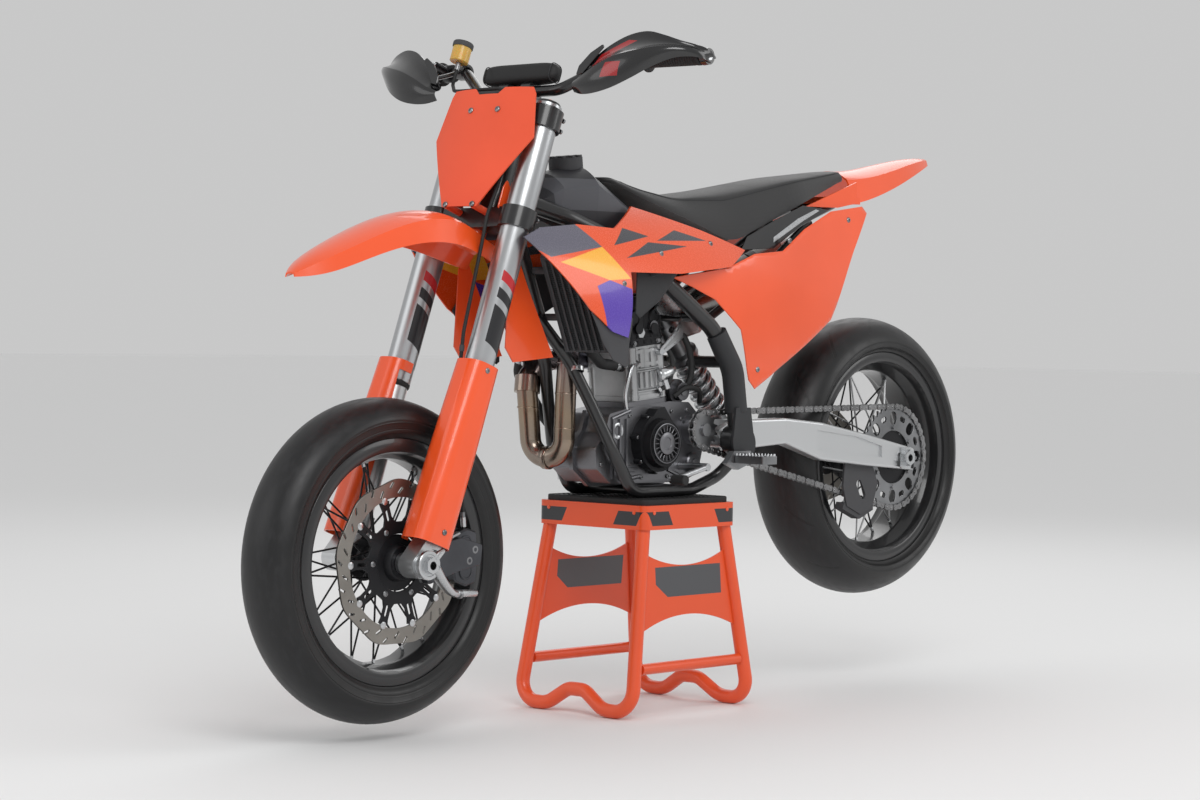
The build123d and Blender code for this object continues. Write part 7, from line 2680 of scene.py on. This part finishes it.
    def peg_teeth(self, fasteners: Fasteners) -> None:
        """Teeth along the edges and the ends of the footpegs.

        Args:
            fasteners: What sets them.
        """
        tooth = small_shape("peg_tooth", [(-0.2, 0.62), (0.0, 0.6), (1.0, 0.16)], 4)
        spots = []
        for sign in (1, -1):
            for n in range(9):
                for x in (-159.6, -120.4):
                    spots.append(Spot(place(x, sign * (162 + 8.4 * n), 516), UP))
            for x in (-150, -140, -130):
                spots.append(Spot(place(x, sign * 234.6, 516), UP))
        fasteners.pattern.lay("footpeg_teeth", spots, tooth, 0.0045, Finish.STEEL)

    def lever_tips(self) -> None:
        """The ribbed rubber tip of the shift lever."""
        piece = Piece("foot_lever_tips", "root", "rubber")
        tip = left_axes(place(48, 139, 470))
        profile: list[Flat] = [(0.0, 0.0), (0.0, 0.0098)]
        for n in range(9):
            start = 0.0015 + n * 0.0034
            profile += [(start, 0.0092), (start + 0.0006, 0.0104), (start + 0.0024, 0.0104), (start + 0.003, 0.0092)]
        profile += [(0.0325, 0.0098), (0.0332, 0.009), (0.0332, 0.0)]
        piece.turn(tip, profile, Finish.RUBBER, 24)
        piece.done((), 40.0)

    def hose_clips(self) -> None:
        """Worm clips at the ends of the coolant hoses."""
        piece = Piece("hose_clips", "root", "steel")
        for origin, way, radius in (((232, 78, 741), (34, 25, 40), 0.011), ((110, 35, 696), (68, 4, 6), 0.011),
                                    ((138, -110, 566), (38, -26, 56), 0.011), ((230, -116, 706), (25, 36, 58), 0.011),
                                    ((236, 47, 688), (21, 25, -83), 0.0125)):
            band(piece, place(*origin), Vector(way), radius - 0.0002, 0.009, 0.0012, Finish.BRIGHT)
            axes = facing(place(*origin), Vector(way))
            piece.block(axes.moved(0.0, radius + 0.0035), (0.013, 0.0075, 0.0085), Finish.BRIGHT, 0.001)
        piece.done((), 40.0)

    def radiator_cores(self) -> None:
        """Fine fins of the cores behind the slatted guards."""
        fins = Piece("radiator_fins", "root", "black_plastic")
        foot = place(282, 58, 722)
        up = Vector((83, 0, 200)).normalized()
        out = Vector((-0.62, 0.78, 0)).normalized()
        ahead = up.cross(out) * -1
        if ahead.x < 0:
            ahead = ahead * -1
        for side in (1, -1):
            def at(u: float, v: float, w: float) -> Vector:
                """Find a point on the radiator's face.

                Args:
                    u: How far out it is.
                    v: How far up it is.
                    w: How far it stands ahead of the face.

                Returns:
                    The point.
                """
                point = foot + out * u + up * v + ahead * w
                return Vector((point.x, point.y * side, point.z))
            for n in range(46):
                v = 0.006 + 0.1845 * n / 45
                row = [[at(u, v, 0.0003), at(u, v, 0.0018), at(u, v + 0.0011, 0.0018), at(u, v + 0.0011, 0.0003)]
                       for u in (0.006, 0.104)]
                fins.loft(row, Finish.GRIP_PLASTIC)
        fins.done((), 30.0)


@dataclass
class Stand:
    """Rivets and the pad's raised pattern on the stand, with sizes in metres."""

    dots: int = 19
    margin: float = 0.014

    def pad_dots(self, fasteners: Fasteners) -> None:
        """Raised dots on the rubber pad, under the frame's cradle.

        Args:
            fasteners: What sets them.
        """
        low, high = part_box("stand_pad")
        spots = []
        for column in range(self.dots):
            for row in range(self.dots):
                x = low[0] + self.margin + (high[0] - low[0] - 2 * self.margin) * column / (self.dots - 1)
                y = low[1] + self.margin + (high[1] - low[1] - 2 * self.margin) * row / (self.dots - 1)
                spots.append(Spot(Vector((x, y, high[2] - 0.0002)), UP))
        shape = small_shape("pad_dot", [(-0.3, 1.0), (0.3, 0.8)], 6)
        fasteners.pattern.lay("stand_pad_dots", spots, shape, 0.0028, Finish.RUBBER)

    def rivets(self, fasteners: Fasteners) -> None:
        """Rivets near the ends of the deck's skirts.

        Args:
            fasteners: What sets them.
        """
        low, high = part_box("stand_deck")
        z = high[2] - 0.014
        spots = []
        for sign in (1, -1):
            for share in (0.1, 0.9):
                y = low[1] + (high[1] - low[1]) * share
                spots.append(Spot(Vector((sign * high[0], y, z)), AHEAD * sign, UP))
                x = low[0] + (high[0] - low[0]) * share
                spots.append(Spot(Vector((x, sign * high[1], z)), LEFT * sign, UP))
        fasteners.lay("stand_rivets", Fastener.RIVET, 0.0045, spots, Finish.STAND_ORANGE)


CAD_FINISHES: dict[str, Finish] = {
    "stand_hoops": Finish.STAND_ORANGE,
    "stand_side_panels": Finish.STAND_LABEL,
    "stand_deck": Finish.DECK,
    "stand_pad": Finish.RUBBER,
    "main_frame": Finish.BLACK_PAINT,
    "frame_guards": Finish.GRIP_PLASTIC,
    "subframe": Finish.BLACK_PAINT,
    "crankcase": Finish.CASES,
    "cylinder": Finish.BARREL,
    "cylinder_head": Finish.DARK_COVER,
    "head_cover": Finish.DARK_COVER,
    "engine_side_covers": Finish.DARK_COVER,
    "head_brackets": Finish.BRIGHT,
    "front_sprocket": Finish.STEEL,
    "foot_levers": Finish.BRIGHT,
    "footpegs": Finish.STEEL,
    "radiators": Finish.BLACK_PLASTIC,
    "coolant_hoses": Finish.RUBBER,
    "shrouds": Finish.SHROUD,
    "side_panels": Finish.ORANGE,
    "fuel_tank": Finish.TANK,
    "tank_cap": Finish.BLACK_PLASTIC,
    "saddle": Finish.COVER,
    "tail": Finish.ORANGE,
    "exhaust_header": Finish.TITANIUM,
    "silencer": Finish.TITANIUM,
    "rear_shock": Finish.STEEL,
    "swingarm": Finish.CAST,
    "swingarm_axle_lugs": Finish.CAST,
    "swingarm_pivot_bolt": Finish.STEEL,
    "rear_axle": Finish.BRIGHT,
    "chain": Finish.CHAIN_STEEL,
    "chain_guide": Finish.BLACK_PLASTIC,
    "rear_caliper": Finish.DARK_COVER,
    "triple_clamps": Finish.BLACK_PAINT,
    "fork_outer_tubes": Finish.TUBE_ALLOY,
    "fork_lowers": Finish.CAST,
    "fork_guards": Finish.ORANGE,
    "front_axle": Finish.BRIGHT,
    "front_caliper": Finish.CALIPER,
    "front_mudguard": Finish.ORANGE,
    "number_plate": Finish.PLATE_ORANGE,
    "handlebar": Finish.BLACK_PAINT,
    "bar_pad": Finish.RUBBER,
    "grips": Finish.RUBBER,
    "hand_guards": Finish.GLOSS_BLACK,
    "levers": Finish.BLACK_PAINT,
    "brake_reservoir": Finish.AMBER,
    "brake_hose": Finish.RUBBER,
    "front_tyre": Finish.FRONT_TYRE,
    "front_rim": Finish.BLACK_PAINT,
    "front_hub_spokes": Finish.DARK_COVER,
    "front_disc": Finish.DISC_STEEL,
    "rear_tyre": Finish.REAR_TYRE,
    "rear_rim": Finish.BLACK_PAINT,
    "rear_hub_spokes": Finish.DARK_COVER,
    "rear_disc": Finish.DISC_STEEL,
    "rear_sprocket": Finish.STEEL,
}


def dress_cad() -> None:
    """Give every CAD node its finish."""
    for node, finish in CAD_FINISHES.items():
        mesh = frame["nodes"][node].data
        mesh.materials.clear()
        mesh.materials.append(finish.made())


@dataclass(frozen=True)
class Studio:
    """The floor, the lamps, the world and the camera, with sizes in metres, angles in degrees and the lens in mm."""

    floor_reach: float = 60.0
    floor_colour: Point = (0.78, 0.78, 0.78)
    world_light: float = 0.72
    backdrop: float = 0.58
    camera_at: Point = (4.3654, 3.9057, 0.7578)
    azimuth: float = 132.594
    elevation: float = 1.309
    roll: float = 0.841
    lens: float = 86.18
    sensor: float = 36.0
    aim_height: float = 0.6

    def floor(self) -> None:
        """A plain pale floor."""
        reach = self.floor_reach
        mesh = bpy.data.meshes.new("floor")
        corners = [(-reach, -reach, 0), (reach, -reach, 0), (reach, reach, 0), (-reach, reach, 0)]
        mesh.from_pydata(corners, [], [(0, 1, 2, 3)])
        floor = bpy.data.objects.new("floor", mesh)
        bpy.context.collection.objects.link(floor)
        shader = Shader("pale_floor")
        cloud = shader.noise(3.0, 3.0)
        shader.set(Base_Color=self.floor_colour, Roughness=cloud * 0.1 + 0.75)
        mesh.materials.append(shader.material)

    def world(self) -> None:
        """A soft sky that lights the object evenly and shows as a pale backdrop, also in gloss and metal."""
        world = bpy.data.worlds.new("soft_room")
        world.use_nodes = True
        nodes = world.node_tree.nodes
        links = world.node_tree.links
        light = nodes["Background"]
        light.inputs["Color"].default_value = (1.0, 1.0, 1.0, 1.0)
        light.inputs["Strength"].default_value = self.world_light
        seen = nodes.new("ShaderNodeBackground")
        seen.inputs["Color"].default_value = (self.backdrop, self.backdrop, self.backdrop, 1.0)
        path = nodes.new("ShaderNodeLightPath")
        either = path.outputs["Is Camera Ray"]
        for ray in ("Is Glossy Ray", "Is Transmission Ray"):
            wider = nodes.new("ShaderNodeMath")
            wider.operation = "MAXIMUM"
            links.new(either, wider.inputs[0])
            links.new(path.outputs[ray], wider.inputs[1])
            either = wider.outputs[0]
        blend = nodes.new("ShaderNodeMixShader")
        links.new(either, blend.inputs[0])
        links.new(light.outputs[0], blend.inputs[1])
        links.new(seen.outputs[0], blend.inputs[2])
        links.new(blend.outputs[0], nodes["World Output"].inputs["Surface"])
        bpy.context.scene.world = world

    def lamps(self) -> None:
        """A large key lamp ahead on the left, a fill on the right, and two lamps from behind."""
        for name, where, size, power in (
            ("key", (2.6, 3.4, 3.8), 2.6, 88.0),
            ("fill", (4.5, -2.0, 2.4), 3.0, 22.0),
            ("rim", (-3.5, -2.5, 3.8), 3.2, 34.0),
            ("back_left", (-3.0, 3.6, 2.6), 2.4, 30.0),
        ):
            lamp = bpy.data.lights.new(name, "AREA")
            lamp.shape = "DISK"
            lamp.size = size
            lamp.energy = power
            holder = bpy.data.objects.new(name, lamp)
            bpy.context.collection.objects.link(holder)
            holder.location = where
            aim = Vector((0, 0, self.aim_height)) - Vector(where)
            holder.rotation_euler = aim.to_track_quat("-Z", "Y").to_euler()

    def camera(self) -> None:
        """The camera at the photograph's viewing angle."""
        turn = radians(self.azimuth)
        tilt = radians(self.elevation)
        back = Vector((sin(turn) * cos(tilt), -cos(turn) * cos(tilt), sin(tilt)))
        right = (-back).cross(UP).normalized()
        above = right.cross(-back)
        roll = radians(self.roll)
        level_right = right * cos(roll) + above * sin(roll)
        level_up = above * cos(roll) - right * sin(roll)
        data = bpy.data.cameras.new("view")
        data.lens = self.lens
        data.sensor_width = self.sensor
        camera = bpy.data.objects.new("view", data)
        bpy.context.collection.objects.link(camera)
        spin = Matrix((level_right, level_up, back)).transposed().to_4x4()
        camera.matrix_world = Matrix.Translation(Vector(self.camera_at)) @ spin
        bpy.context.scene.camera = camera

    def build(self) -> None:
        """Set the whole studio up."""
        bpy.context.scene.view_settings.view_transform = "Standard"
        self.floor()
        self.world()
        self.lamps()
        self.camera()


def main() -> None:
    """Build the studio, dress the CAD nodes and set every piece in its place."""
    logging.basicConfig(level=logging.INFO, format="%(message)s")
    Studio().build()
    dress_cad()
    fasteners = Fasteners(SpotPattern())
    for wheel in (front_wheel(), rear_wheel()):
        wheel.tyre()
        wheel.rim()
        wheel.hub()
        wheel.nipples(fasteners)
        wheel.disc()
        wheel.bolts(fasteners)
        if isinstance(wheel, RearWheel):
            wheel.sprocket()
    Chain().build()
    fork = Fork()
    fork.tubes()
    fork.seals()
    fork.bolts(fasteners)
    fork.hose_wings()
    cockpit = Cockpit()
    cockpit.grips()
    cockpit.pad()
    cockpit.levers()
    cockpit.reservoir()
    cockpit.bar_clamps(fasteners)
    cockpit.hand_guards()
    BrakeLine().fittings()
    saddle = Saddle()
    saddle.cover()
    saddle.seams()
    Bodywork().build(fasteners)
    engine = Engine()
    engine.castings()
    engine.case_details()
    engine.ignition_cover()
    engine.fittings()
    engine.water_pump()
    engine.bolts(fasteners)
    exhaust = Exhaust()
    exhaust.rings()
    exhaust.silencer()
    exhaust.rivets(fasteners)
    gear = RunningGear()
    gear.arm_ends(fasteners)
    gear.shock()
    gear.front_caliper()
    gear.caliper_bolts(fasteners)
    gear.axle_foot()
    gear.caliper_carrier()
    gear.peg_teeth(fasteners)
    gear.lever_tips()
    gear.hose_clips()
    gear.radiator_cores()
    stand = Stand()
    stand.pad_dots(fasteners)
    stand.rivets(fasteners)


if __name__ == "__main__":
    main()
